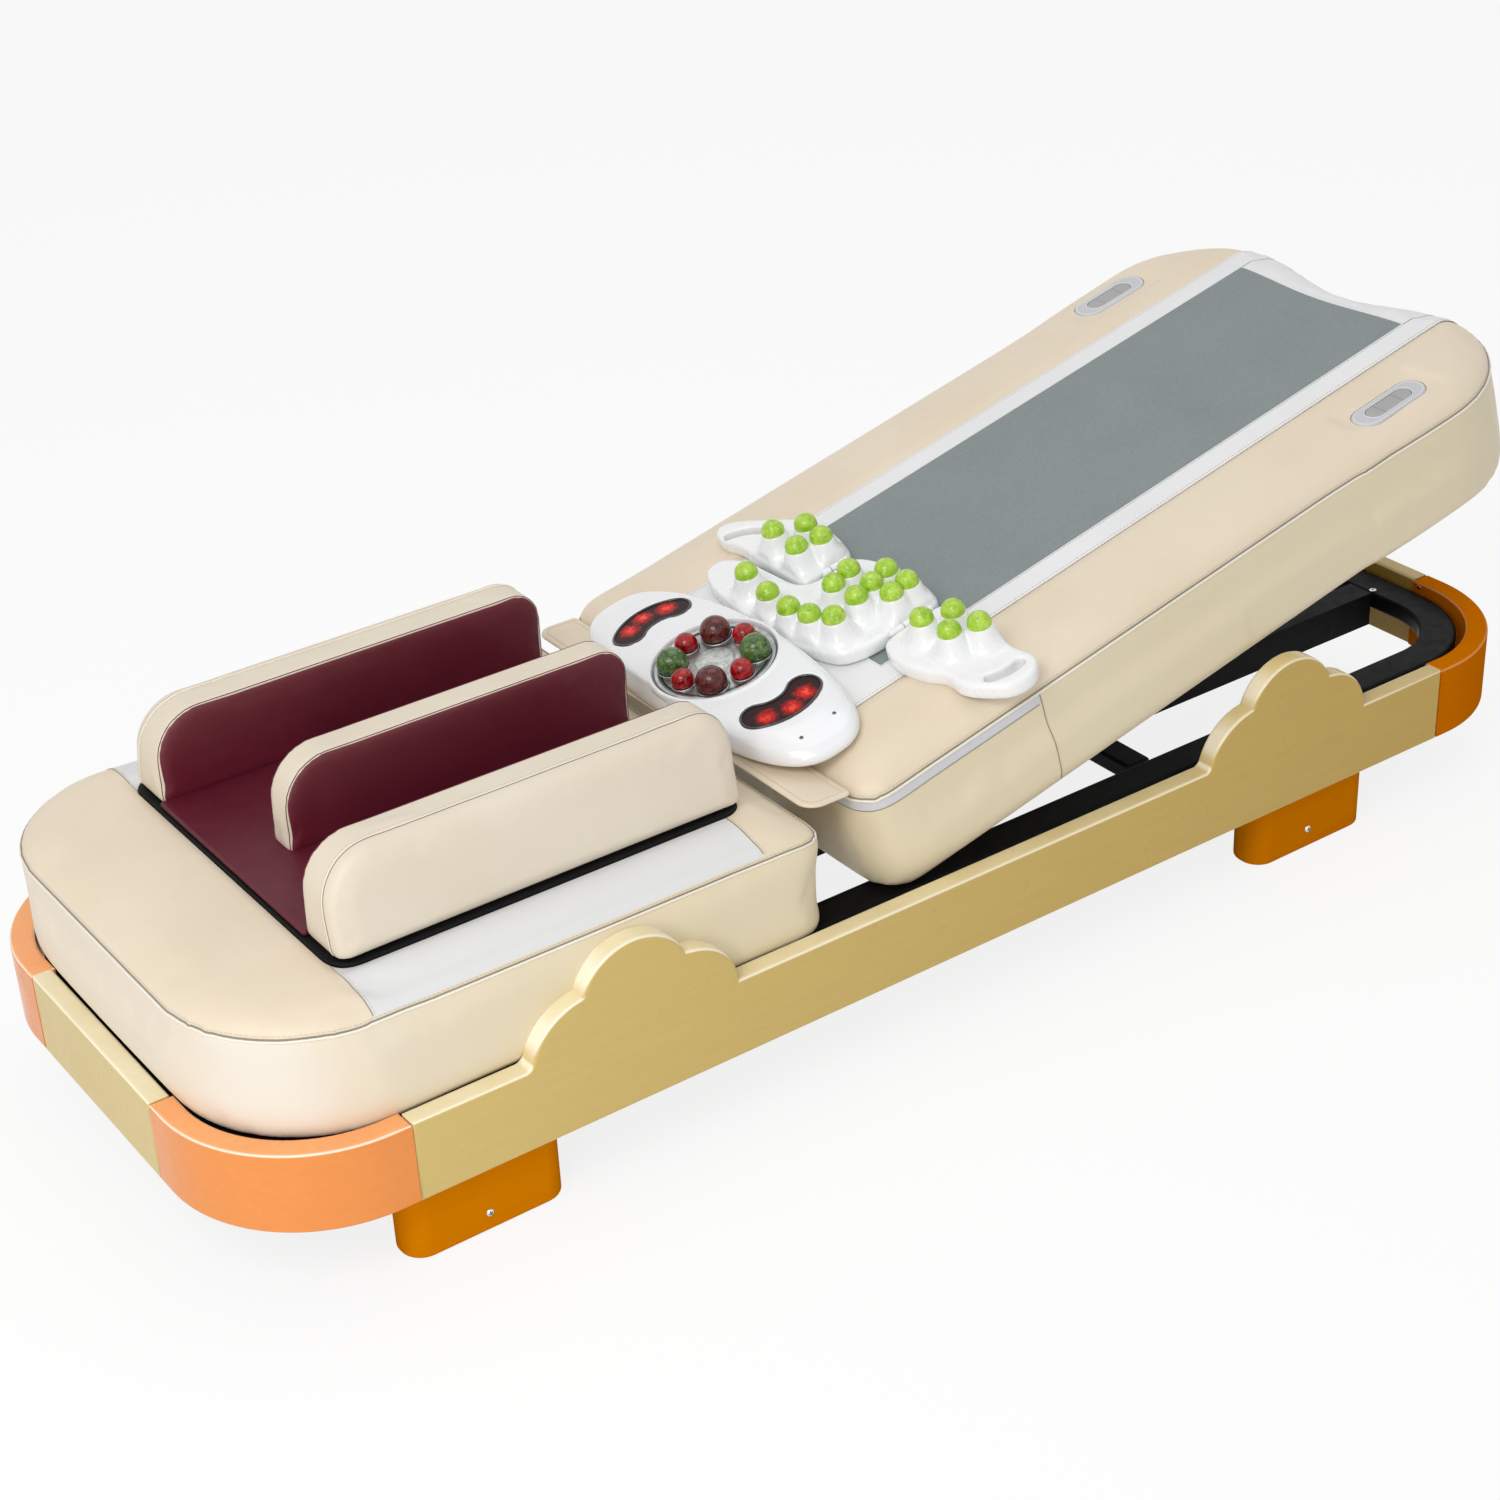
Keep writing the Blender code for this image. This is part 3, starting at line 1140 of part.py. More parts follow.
def add_leg_massager(bed, black, leather):
    base = LEG_TRAY_BASE
    unit = guide("leg_massager_lift", bed, (0.0, 0.0, 0.0))
    outline = leg_tray_outline()
    tray = piece(
        "leg_tray", board("leg_tray", outline, base, base + LEG_TRAY_THICK), unit, black
    )
    round_edges(tray, LEG_TRAY_EDGE)
    seat = base + LEG_TRAY_THICK + TOUCH
    walls = (
        ("near", WALL_FOOT_X, -WALL_OUTER_Y, -WALL_INNER_Y),
        ("middle", MIDDLE_WALL_FOOT_X, -MIDDLE_WALL_HALF, MIDDLE_WALL_HALF),
        ("far", WALL_FOOT_X, WALL_INNER_Y, WALL_OUTER_Y),
    )
    for name, foot_x, low_y, high_y in walls:
        rings = wall_rings(foot_x, WALL_KNEE_X, low_y, high_y, seat)
        piece("leg_wall_" + name, loft("leg_wall", rings), unit, leather)


# Oval massager with its turning disc of balls

def oval_rings():
    rings = []
    for inset_s, inset_y, share in OVAL_LEVELS:
        a, b = OVAL_HALF_WIDTH - inset_s, OVAL_HALF_LENGTH - inset_y
        ring = []
        for k in range(OVAL_SIDES):
            turn = 2 * pi * (k + 0.5) / OVAL_SIDES
            c, s = cos(turn), sin(turn)
            u = a * abs(c) ** (2 / OVAL_SQUARENESS) * (1 if c > 0 else -1)
            v = b * abs(s) ** (2 / OVAL_SQUARENESS) * (1 if s > 0 else -1)
            ring.append((u, v, share * OVAL_HEIGHT))
        rings.append(ring)
    return rings


def window_outline(side):
    """Kidney shape that bends round towards the disc: an arc given a width and round ends."""
    middle = side * pi / 2
    start, end = middle - WINDOW_SWEEP / 2, middle + WINDOW_SWEEP / 2
    cap = WINDOW_WIDTH / 2
    outline = arc((0, 0), WINDOW_CIRCLE + cap, start, end, CORNER_STEPS)
    tip = (WINDOW_CIRCLE * cos(end), WINDOW_CIRCLE * sin(end))
    outline += arc(tip, cap, end, end + pi, 4)[1:-1]
    outline += arc((0, 0), WINDOW_CIRCLE - cap, end, start, CORNER_STEPS)
    tip = (WINDOW_CIRCLE * cos(start), WINDOW_CIRCLE * sin(start))
    outline += arc(tip, cap, start + pi, start + 2 * pi, 4)[1:-1]
    return moved(outline, 0.0, side * WINDOW_Y)


def add_oval_massager(back, white, steel):
    device = guide("oval_lift", back, (OVAL_S, OVAL_Y, SEAT_T))
    body = piece("oval_massager", loft("oval_massager", oval_rings()), device, white)
    recess = rod(
        "disc_recess", (0, 0, OVAL_HEIGHT - DISC_RECESS), (0, 0, OVAL_HEIGHT + OVERRUN),
        DISC_RADIUS + RUN, 2 * COARSE,
    )
    combine(body, tool("disc_recess", recess, device), "DIFFERENCE")
    floor = OVAL_HEIGHT * WINDOW_FLOOR_SHARE
    for name, side in (("near", -1), ("far", 1)):
        window = board("window", window_outline(side), floor, OVAL_HEIGHT + OVERRUN)
        combine(body, tool("window_" + name, window, device), "DIFFERENCE")
    floor = OVAL_HEIGHT - DISC_RECESS + DISC_SEAT - TOUCH
    top = floor + DISC_THICK
    spin = guide("disc_spin", device, (0.0, 0.0, floor))
    hub = top + HUB_RISE - floor
    rise = top - floor
    profile = [
        (0.0, hub), (HUB_RADIUS - HUB_RISE, hub), (HUB_RADIUS, rise),
        (DISC_RADIUS - HUB_RISE, rise), (DISC_RADIUS, rise - HUB_RISE), (DISC_RADIUS, 0.0),
        (0.0, 0.0),
    ]
    disc = turned("massage_disc", profile, spin, steel, 2 * COARSE)
    for k in range(8):
        radius = SMALL_BALL if k % 2 else BIG_BALL
        turn = BALL_START + k * pi / 4
        place = (BALL_CIRCLE * cos(turn), BALL_CIRCLE * sin(turn), rise)
        add_ball(f"disc_ball_{k}", radius, place, spin, disc)


def add_ball(name, radius, place, parent, body):
    """Ball set into a face, so that a share of its radius lies below its centre's height."""
    sink = radius * BALL_SINK_SHARE
    profile = [(radius * sin(turn), radius * cos(turn)) for turn in (0.0, pi / 7, 2 * pi / 7)]
    profile += [(radius * sin(turn), radius * cos(turn)) for turn in (3 * pi / 7, 4 * pi / 7)]
    low = -sink - RUN * 2
    foot = radius * sin(acos(low / radius))
    profile += [(foot, low), (0.0, low)]
    profile[0] = (0.0, radius)
    shape = turned(name, profile, parent, None, STUD_SIDES, place=place)
    shape.location.z += sink
    combine(body, shape, "UNION")


# Jade belt of three lobes

def smooth_loop(shares):
    """Closed curve through points given as shares of the belt's width and length."""
    points = [Vector((u * BELT_WIDTH, v * BELT_LENGTH)) for u, v in shares]
    count = len(points)
    loop = []
    for k in range(count):
        before, a, b, after = (points[(k + j) % count] for j in (-1, 0, 1, 2))
        for share in (0.0, 0.5):
            square, cube = share * share, share ** 3
            point = (
                a * 2 + (b - before) * share
                + (before * 2 - a * 5 + b * 4 - after) * square
                + (a * 3 - before - b * 3 + after) * cube
            ) / 2
            loop.append((point.x, point.y))
    return loop


def stud_profile():
    top = BELT_PLATE + STUD_RISE
    ball = STUD_BALL
    profile = [(0.0, top + ball)]
    profile += [
        (ball * sin(turn), top + ball * cos(turn)) for turn in (0.2 * pi, 0.42 * pi, 0.64 * pi)
    ]
    profile += [
        (STUD_NECK + TRACK_WALL, top - ball * 0.85),
        (STUD_FOOT * 0.88, BELT_PLATE + STUD_RISE * 0.25), (STUD_FOOT, BELT_PLATE - RUN * 2),
        (0.0, BELT_PLATE - RUN * 2),
    ]
    return profile


def add_lobe(name, shares, studs, parent, place, material):
    """Plate of one lobe with its studs; place shifts the belt's own axes to the parent's."""
    outline = moved(smooth_loop(shares), -place[0], -place[1])
    lobe = piece(
        name, board(name, outline, 0.0, BELT_PLATE), parent, material, (0.0, 0.0, -place[2])
    )
    round_edges(lobe, BELT_EDGE)
    for k, (u, v) in enumerate(studs):
        spot = (u * BELT_WIDTH - place[0], v * BELT_LENGTH - place[1], -place[2])
        stud = turned(f"{name}_stud_{k}", stud_profile(), parent, None, STUD_SIDES, place=spot)
        combine(lobe, stud, "UNION")
    return lobe


def cut_handle(lobe, slot, parent, place):
    """Finger slot across the lobe, just inside its end."""
    c, s = cos(SLOT_TURN), sin(SLOT_TURN)
    outline = [(u * c - v * s, u * s + v * c) for u, v in stadium(2 * HANDLE_HALF, HANDLE_SLOT, 4)]
    center = (slot[0] * BELT_WIDTH - place[0], slot[1] * BELT_LENGTH - place[1])
    mesh = board(
        "handle_slot", moved(outline, *center), -OVERRUN - place[2],
        BELT_PLATE + OVERRUN - place[2],
    )
    combine(lobe, tool(lobe.name + "_slot", mesh, parent), "DIFFERENCE")


def add_belt(back, white):
    lift = guide("belt_lift", back, (BELT_S, BELT_Y, BELT_T))
    add_lobe("belt_middle", BELT_MIDDLE_SHARES, MIDDLE_STUD_SHARES, lift, (0, 0, 0), white)
    folds = (
        ("belt_far", BELT_FAR_SHARES, FAR_STUD_SHARES, FAR_SLOT_SHARES, FAR_HINGE_SHARE),
        ("belt_near", BELT_NEAR_SHARES, NEAR_STUD_SHARES, NEAR_SLOT_SHARES, NEAR_HINGE_SHARE),
    )
    for name, shares, studs, slot, hinge_share in folds:
        place = (0.0, hinge_share * BELT_LENGTH, BELT_PLATE)
        fold = guide(name + "_fold", lift, place)
        lobe = add_lobe(name, shares, studs, fold, place, white)
        cut_handle(lobe, slot, fold, place)


# Assembly

def centre_over_floor(bed):
    """Shift the bed so that the row's origin lies on the floor under the middle of its box."""
    bpy.context.view_layer.update()
    view = bpy.context.evaluated_depsgraph_get()
    reach = []
    for item in parts.objects:
        if item.type == "MESH":
            seen = item.evaluated_get(view)
            reach += [(seen.matrix_world @ Vector(corner)).x for corner in seen.bound_box]
    bed.location.x -= (min(reach) + max(reach)) / 2


clear_scene()
parts = new_collection("jade_massage_bed")
cutters = new_collection("cutters")

wood = finish("rail_wood", (0.60, 0.42, 0.14), 0.45)
orange = finish("corner_orange", (0.75, 0.26, 0.04), 0.35)
black_steel = finish("frame_black", (0.015, 0.015, 0.017), 0.45, 0.6)
bright_steel = finish("bright_steel", (0.60, 0.60, 0.62), 0.25, 1.0)
ply = finish("base_ply", (0.50, 0.36, 0.20), 0.6)
leather = finish("beige_leather", (0.78, 0.68, 0.52), 0.5)
white_fabric = finish("white_fabric", (0.78, 0.78, 0.80), 0.8)
grey_mesh = finish("grey_mesh", (0.24, 0.29, 0.30), 0.8)
actuator_plastic = finish("actuator_plastic", (0.05, 0.05, 0.055), 0.5)
jade = finish("jade", (0.38, 0.60, 0.07), 0.3)
panel_grey = finish("panel_grey", (0.50, 0.51, 0.56), 0.4)
key_grey = finish("key_grey", (0.40, 0.40, 0.41), 0.4)
tray_black = finish("tray_black", (0.01, 0.01, 0.01), 0.5)
gloss_white = finish("gloss_white", (0.85, 0.86, 0.88), 0.2)
disc_steel = finish("disc_steel", (0.45, 0.46, 0.46), 0.3, 0.7)

bed = guide("bed", None, (0.0, 0.0, FOOT_HEIGHT))
add_side_rails(bed, wood)
add_end_panels(bed, wood)
add_corners(bed, orange)
add_feet(bed, orange)
add_ring_frame(bed, black_steel)
add_channels(bed, black_steel)
add_outriggers(bed, black_steel)
add_foot_mattress(bed, leather, ply)

trolley = add_trolley(bed, black_steel, bright_steel)
add_shift_actuator(bed, actuator_plastic)
add_lift_anchor(bed, black_steel)
add_lift_actuator(bed, actuator_plastic, bright_steel)

back_hinge = guide("back_hinge", trolley, (0.0, 0.0, 0.0), -BACK_TILT)
back = guide("back_plane", back_hinge, (-HINGE_S, 0.0, -HINGE_T))
add_back_upholstery(back, leather, ply)
add_back_spine(back, black_steel)
add_centre_cover(back, white_fabric, grey_mesh)
add_carriage(back, bright_steel, actuator_plastic, jade)
add_control_panels(back, panel_grey, key_grey)
add_flap(back, leather)

add_leg_massager(bed, tray_black, leather)
add_oval_massager(back, gloss_white, disc_steel)
add_belt(back, gloss_white)
centre_over_floor(bed)
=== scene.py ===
"""Jade massage bed: a boat-shaped lacquered skirt on four feet, a foot mattress with a padded
leg cradle, and a raised back with a mesh window, an oval hand massager and a belt of jade beads."""

from math import atan2, copysign, cos, hypot, pi, radians, sin

import bmesh
import bpy
from mathutils import Matrix, Vector
from mathutils.bvhtree import BVHTree
from mathutils.geometry import intersect_line_line_2d


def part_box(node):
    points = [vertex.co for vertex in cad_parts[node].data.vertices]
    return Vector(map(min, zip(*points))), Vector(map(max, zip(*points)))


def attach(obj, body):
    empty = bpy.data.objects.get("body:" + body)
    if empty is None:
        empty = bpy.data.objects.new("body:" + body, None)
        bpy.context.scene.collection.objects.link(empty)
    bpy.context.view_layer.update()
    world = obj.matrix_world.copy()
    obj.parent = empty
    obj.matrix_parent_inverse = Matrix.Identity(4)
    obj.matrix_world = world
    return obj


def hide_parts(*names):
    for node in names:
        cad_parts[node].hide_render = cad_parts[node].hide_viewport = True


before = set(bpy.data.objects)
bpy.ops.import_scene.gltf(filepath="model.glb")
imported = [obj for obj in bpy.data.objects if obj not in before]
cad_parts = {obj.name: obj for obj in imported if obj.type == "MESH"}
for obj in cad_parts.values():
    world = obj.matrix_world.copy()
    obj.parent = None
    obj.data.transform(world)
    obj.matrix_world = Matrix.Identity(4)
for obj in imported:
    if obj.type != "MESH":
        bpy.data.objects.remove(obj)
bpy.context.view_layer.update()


# The bed's own places, in metres; x runs to the head, y to the far side, z up from the skirt's base

HALF_LENGTH = 1.0
HALF_WIDTH = 0.3715
SKIRT_HEIGHT = 0.1044
RAIL_THICK = 0.0266
CORNER_RADIUS = 0.185
CORNER_THICK = 0.030
JOINT_X = 0.794
JOINT_Y = 0.1585
JOINT_GAP = 0.0003
SKIRT_EDGE = 0.0045
CLOUD_STARTS = (-0.650, 0.362)
CLOUD_WIDTH = 0.285
CLOUD_HEIGHT = 0.1125
CLOUD_ARCS = (
    ((0.0, 0.0), (0.018, 0.022), (0.030, 0.070)),
    ((0.030, 0.070), (0.100, 0.362), (0.272, 0.575)),
    ((0.272, 0.575), (0.491, 1.0), (0.754, 0.596)),
    ((0.754, 0.596), (0.912, 0.440), (1.0, 0.0)),
)
CLOUD_STEPS = (5, 14, 26, 16)

FOOT_HEIGHT = 0.097
FOOT_LENGTH = 0.205
FOOT_DEPTH = 0.060
FOOT_OUTER = 0.351
FOOT_RADIUS = 0.028
FOOT_PLACES = (-0.701, 0.584)
FOOT_SCREWS = ((-0.703, -0.0728), (0.575, -0.0682))
TONGUE_LENGTH, TONGUE_DEPTH, TONGUE_LAP = 0.150, 0.036, 0.02

TUBE_BASE, TUBE_TOP = 0.0655, 0.0905
TUBE_WIDTH = 0.050
FRAME_X, FRAME_Y = 0.9666, 0.3265
FRAME_RADIUS = 0.150

# Places of screws inside the skirt's head end: on the ring, on the corners' ends and their sides
RING_SCREW = (0.926, 0.124)
END_SCREW = (HALF_LENGTH - CORNER_THICK + 0.0002, 0.170, 0.097)
CORNER_SCREW = (0.806, HALF_WIDTH - CORNER_THICK, 0.0965)
# A screw's head and its cross, in shares of its radius
SCREW_PROFILE = ((0.0, 0.46), (0.45, 0.42), (0.80, 0.28), (1.0, 0.0), (0.98, -0.25), (0.0, -0.25))
SCREW_CROSS, SCREW_TURN = (0.55, 0.10), 0.4

# A cushion's crown, in shares of its reach and height, and how far its end by the joint runs in
CROWN_LEVELS = (
    (0.012, 0.16), (0.03, 0.32), (0.06, 0.50), (0.10, 0.65), (0.18, 0.81), (0.30, 0.90),
    (0.50, 0.965), (1.0, 1.0),
)
END_RAMP = (0.008, 0.017, 0.026, 0.035, 0.045, 0.050, 0.056, 0.070)
PAD_PRESSURE, PAD_STEPS = 4.0, 18
SEAM_STEP, STITCH_RISE, STRIPE_STITCHES_IN = 0.006, 0.0040, 0.0032
STITCH_LENGTH, STITCH_GAP = 0.0042, 0.0016
THREAD_PITCH = 0.0011
# Higher than any cushion, for finding a surface from above
ABOVE_ALL = 0.3

MATTRESS_FOOT_X, MATTRESS_END_X = -0.9692, -0.208
MATTRESS_HALF = 0.3408
MATTRESS_FLARE = (0.0085, 0.0048)
MATTRESS_BASE, MATTRESS_SEAM, MATTRESS_TOP = 0.0908, 0.228, 0.2425
MATTRESS_FOOT_RADIUS, MATTRESS_END_RADIUS = 0.170, 0.036
MATTRESS_REACH = 0.094
STRIPE_FOOT_X, STRIPE_HEAD_X = -0.805, -0.300

BACK_TILT = radians(13.4)
BACK_SEAM_HEIGHT = 0.261
BACK_FOOT_S, BACK_HEAD_S = -0.154, 1.0185
BACK_DIP = 0.030
BACK_HALF, BACK_HEAD_HALF = 0.331, 0.3405
BACK_WAIST_S, BACK_SHOULDER_S = 0.600, 0.840
BACK_FOOT_RADIUS, BACK_HEAD_RADIUS = 0.040, 0.170
BACK_THICK = 0.148
BACK_CROWN = 0.022
BACK_REACH = 0.141
WELL_FOOT_S, WELL_HEAD_S = 0.030, 0.930
WELL_HALF, WELL_DEPTH = 0.095, 0.118
COVER_FOOT_S, COVER_HALF = -0.050, 0.190
COVER_HEAD_INSET, COVER_HEM = 0.0115, 0.012
MESH_FOOT_S, MESH_HEAD_S, MESH_HALF = 0.020, 0.944, 0.153
MESH_DIP = 0.009
PANEL_S, PANEL_Y = 0.792, 0.268
PANEL_LENGTH, PANEL_WIDTH, PANEL_TOP = 0.120, 0.046, 0.0225
KEYS_LENGTH, KEYS_WIDTH, KEYS_MIDDLE_SHARE = 0.076, 0.026, 0.42
KEYS_GAP, KEY_DEPTH, KEY_RISE = 0.0008, 0.0075, 0.005
SIDE_SEAM_S = 0.124

OVAL_S, OVAL_Y = -0.1245, -0.010
SEAT_T = 0.0238
OVAL_HALF_LENGTH, OVAL_HALF_WIDTH, OVAL_HEIGHT = 0.246, 0.0885, 0.040
OVAL_SQUARENESS = 2.6
OVAL_LEVELS = (
    (0.0160, 0.030, 0.00), (0.0060, 0.012, 0.07), (0.0010, 0.002, 0.20), (0.0, 0.0, 0.34),
    (0.0005, 0.003, 0.50), (0.0018, 0.013, 0.66), (0.0035, 0.030, 0.80), (0.0048, 0.055, 0.90),
    (0.0058, 0.090, 0.97), (0.0066, 0.130, 1.00),
)
OVAL_SCREWS = ((-0.0254, -0.2105), (0.0283, -0.2065))
# Radii, and heights over the shell's crown
COLLAR_PROFILE = (
    (0.0805, -0.006), (0.0805, 0.0006), (0.0822, 0.0018), (0.0845, 0.0018), (0.0866, 0.0002),
    (0.0872, -0.006), (0.0805, -0.006),
)
DISC_RADIUS, DISC_RECESS, DISC_THICK = 0.0795, 0.009, 0.0067
# Radii, and heights over the disc's face
DISH_PROFILE = (
    (0.0, -0.0005), (0.030, -0.0005), (0.034, -0.0015), (0.069, -0.0015), (0.072, 0.0),
    (0.0745, 0.0008), (0.0775, 0.0), (0.0790, -0.0022), (0.0790, -0.0055), (0.0, -0.0055),
)
GROOVE_PROFILE = (
    (0.0680, -0.0013), (0.0683, -0.0006), (0.0705, -0.0003), (0.0712, -0.0009),
    (0.0712, -0.0030), (0.0680, -0.0030), (0.0680, -0.0013),
)
HUB_PROFILE = (
    (0.0, 0.0032), (0.012, 0.0030), (0.021, 0.0022), (0.0255, 0.0006), (0.0268, -0.0014),
    (0.0268, -0.0025), (0.0, -0.0025),
)
BALL_CIRCLE, BIG_BALL, SMALL_BALL = 0.053, 0.0200, 0.0150
BALL_START = radians(51)
WINDOW_Y, WINDOW_CIRCLE, WINDOW_WIDTH = 0.096, 0.056, 0.043
WINDOW_SWEEP = radians(80)
LAMP_SHARES, LAMP_STRENGTH = (-0.80, 0.05, 0.80), 0.55

BELT_S, BELT_Y, BELT_T = 0.064, -0.045, 0.0251
BELT_WIDTH, BELT_LENGTH = 0.195, 0.605
BELT_PLATE = 0.022
STUD_RISE, BEAD_RADIUS = 0.030, 0.0155
# A stud's radii, with the way down from its top and then the way up from the lobe
HILL_NECK = ((0.0152, 0.0008), (0.0165, 0.0028), (0.0180, 0.0085))
HILL_FOOT = (
    (0.0208, 0.0135), (0.0245, 0.0070), (0.0285, 0.0026), (0.0330, 0.0), (0.0330, -0.004),
    (0.0, -0.004),
)
FAR_HINGE, NEAR_HINGE = 0.142, -0.1505
BELT_LOBES = {
    "belt_middle": (
        (-0.50, 0.023), (-0.49, 0.12), (-0.475, 0.21), (-0.425, 0.316), (-0.34, 0.375),
        (-0.20, 0.382), (-0.10, 0.33), (-0.08, 0.24), (-0.06, 0.165), (0.03, 0.138),
        (0.20, 0.136), (0.36, 0.128), (0.44, 0.06), (0.455, -0.02), (0.43, -0.09),
        (0.36, -0.142), (0.16, -0.146), (-0.09, -0.146), (-0.25, -0.138), (-0.39, -0.112),
        (-0.455, -0.05),
    ),
    "belt_far": (
        (-0.03, 0.158), (0.05, 0.149), (0.20, 0.148), (0.36, 0.152), (0.43, 0.20),
        (0.47, 0.27), (0.47, 0.33), (0.40, 0.375), (0.30, 0.420), (0.165, 0.475),
        (0.06, 0.494), (-0.02, 0.480), (-0.05, 0.44), (-0.02, 0.385), (-0.035, 0.32),
        (-0.035, 0.24),
    ),
    "belt_near": (
        (-0.156, -0.175), (-0.212, -0.24), (-0.181, -0.305), (-0.119, -0.350), (-0.123, -0.405),
        (-0.036, -0.458), (0.076, -0.492), (0.236, -0.493), (0.350, -0.455), (0.335, -0.395),
        (0.36, -0.335), (0.427, -0.267), (0.419, -0.20), (0.35, -0.160), (0.10, -0.155),
        (-0.06, -0.157),
    ),
}
BELT_STUDS = {
    "belt_middle": (
        (-0.307, 0.221), (-0.361, 0.121), (-0.379, 0.041), (-0.349, -0.019), (-0.269, -0.068),
        (0.118, 0.038), (-0.044, 0.024), (0.264, -0.030), (0.110, -0.042), (-0.044, -0.053),
        (0.261, -0.100), (0.117, -0.106),
    ),
    "belt_far": ((0.103, 0.299), (0.281, 0.256), (0.080, 0.205), (0.250, 0.188)),
    "belt_near": ((0.053, -0.228), (0.229, -0.260), (0.072, -0.308), (0.240, -0.338)),
}
# Each finger slot's middle, and the way its bow points
BELT_SLOTS = {"belt_far": (0.105, 0.425, radians(52)), "belt_near": (0.135, -0.447, radians(-98))}
SLOT_CIRCLE, SLOT_WIDTH, SLOT_SWEEP = 0.055, 0.015, radians(46)

LEG_FOOT_X, LEG_KNEE_X, LEG_HALF = -0.801, -0.267, 0.257
TRAY_BASE, TRAY_TOP = 0.2355, 0.2475
WALL_FOOT_X, WALL_KNEE_X, MIDDLE_FOOT_X = -0.799, -0.268, -0.735
WALL_OUTER_Y, WALL_INNER_Y, MIDDLE_HALF = 0.2590, 0.1765, 0.0225
WALL_LEAN = 0.021
WALL_BASE, WALL_TOP = 0.2478, 0.3658
WALL_FOOT_RADIUS, WALL_KNEE_RADIUS = 0.062, 0.040
# Depth into a wall and inset of its outline: the lined face is crisp, the outer one well rounded
LINED_EDGE = ((0.0, 0.0034), (0.0009, 0.0010), (0.0034, 0.0))
OUTER_EDGE = (
    (0.0, 0.0150), (0.0010, 0.0092), (0.0036, 0.0048), (0.0080, 0.0019), (0.0135, 0.0005),
    (0.0190, 0.0),
)
LINED_SEAM, OUTER_SEAM = 0.0026, 0.0195

FLAP_S, FLAP_T, FLAP_LENGTH, FLAP_HALF, FLAP_LAP = -0.1508, 0.0095, 0.0615, 0.300, 0.0024
FLAP_LEVELS = (
    (0.0022, -0.0024), (0.0006, -0.0017), (0.0, -0.0004), (0.0004, 0.0012), (0.0022, 0.0021),
    (0.0070, 0.0025), (0.0079, 0.0018), (0.0087, 0.0018), (0.0096, 0.0026), (0.0160, 0.0029),
)

# How bright the surroundings light the bed, and how white the floor looks
AMBIENT, FLOOR_GLOW = 0.56, 0.84
CAMERA_EYE = Vector((-1.8287, -2.5507, 1.8824))
# The camera's way round, its height and its roll
CAMERA_TURNS = (radians(-34.4), radians(29.4), radians(-2.8))
SENSOR_WIDTH, FOCAL_PIXELS, PHOTO_PIXELS = 36.0, 2780.0, 1500.0

SIDES = (("near", -1), ("far", 1))
ENDS = (("foot", -1), ("head", 1))

rail_low, rail_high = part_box("side_rail_near")
BED = Matrix.Translation(((rail_low.x + rail_high.x) / 2, 0.0, FOOT_HEIGHT))
BACK = (
    BED @ Matrix.Translation((0.0, 0.0, BACK_SEAM_HEIGHT)) @ Matrix.Rotation(-BACK_TILT, 4, "Y")
)
OVAL = BACK @ Matrix.Translation((OVAL_S, OVAL_Y, SEAT_T))
BELT = BACK @ Matrix.Translation((BELT_S, BELT_Y, BELT_T))
FLAP = BACK @ Matrix.Translation((FLAP_S, 0.0, FLAP_T)) @ Matrix.Rotation(BACK_TILT, 4, "Y")

# An outline's own two axes laid along the bed and up, or across the bed and up
UPRIGHT = Matrix(((1, 0, 0, 0), (0, 0, 1, 0), (0, 1, 0, 0), (0, 0, 0, 1)))
CROSSWISE = Matrix(((0, 0, 1, 0), (1, 0, 0, 0), (0, 1, 0, 0), (0, 0, 0, 1)))


# Finishes

class Nodes:
    """Short ways to add nodes to a tree."""

    def __init__(self, tree):
        self.tree = tree

    def node(self, kind, settings=(), **inputs):
        made = self.tree.nodes.new("ShaderNode" + kind)
        for key, value in dict(settings).items():
            setattr(made, key, value)
        for key, value in inputs.items():
            self.join(value, made.inputs[key.replace("_", " ")])
        return made

    def join(self, value, socket):
        if isinstance(value, bpy.types.NodeSocket):
            self.tree.links.new(value, socket)
        else:
            socket.default_value = value

    def math(self, operation, a, b=0.0):
        made = self.node("Math", {"operation": operation})
        self.join(a, made.inputs[0])
        self.join(b, made.inputs[1])
        return made.outputs[0]

    def times(self, first, *others):
        for other in others:
            first = self.math("MULTIPLY", first, other)
        return first

    def span(self, value, low, high, to_low=0.0, to_high=1.0, smooth=False):
        made = self.node(
            "MapRange", {"clamp": True, "interpolation_type": "SMOOTHSTEP" if smooth else "LINEAR"},
            Value=value, From_Min=low, From_Max=high, To_Min=to_low, To_Max=to_high,
        )
        return made.outputs[0]


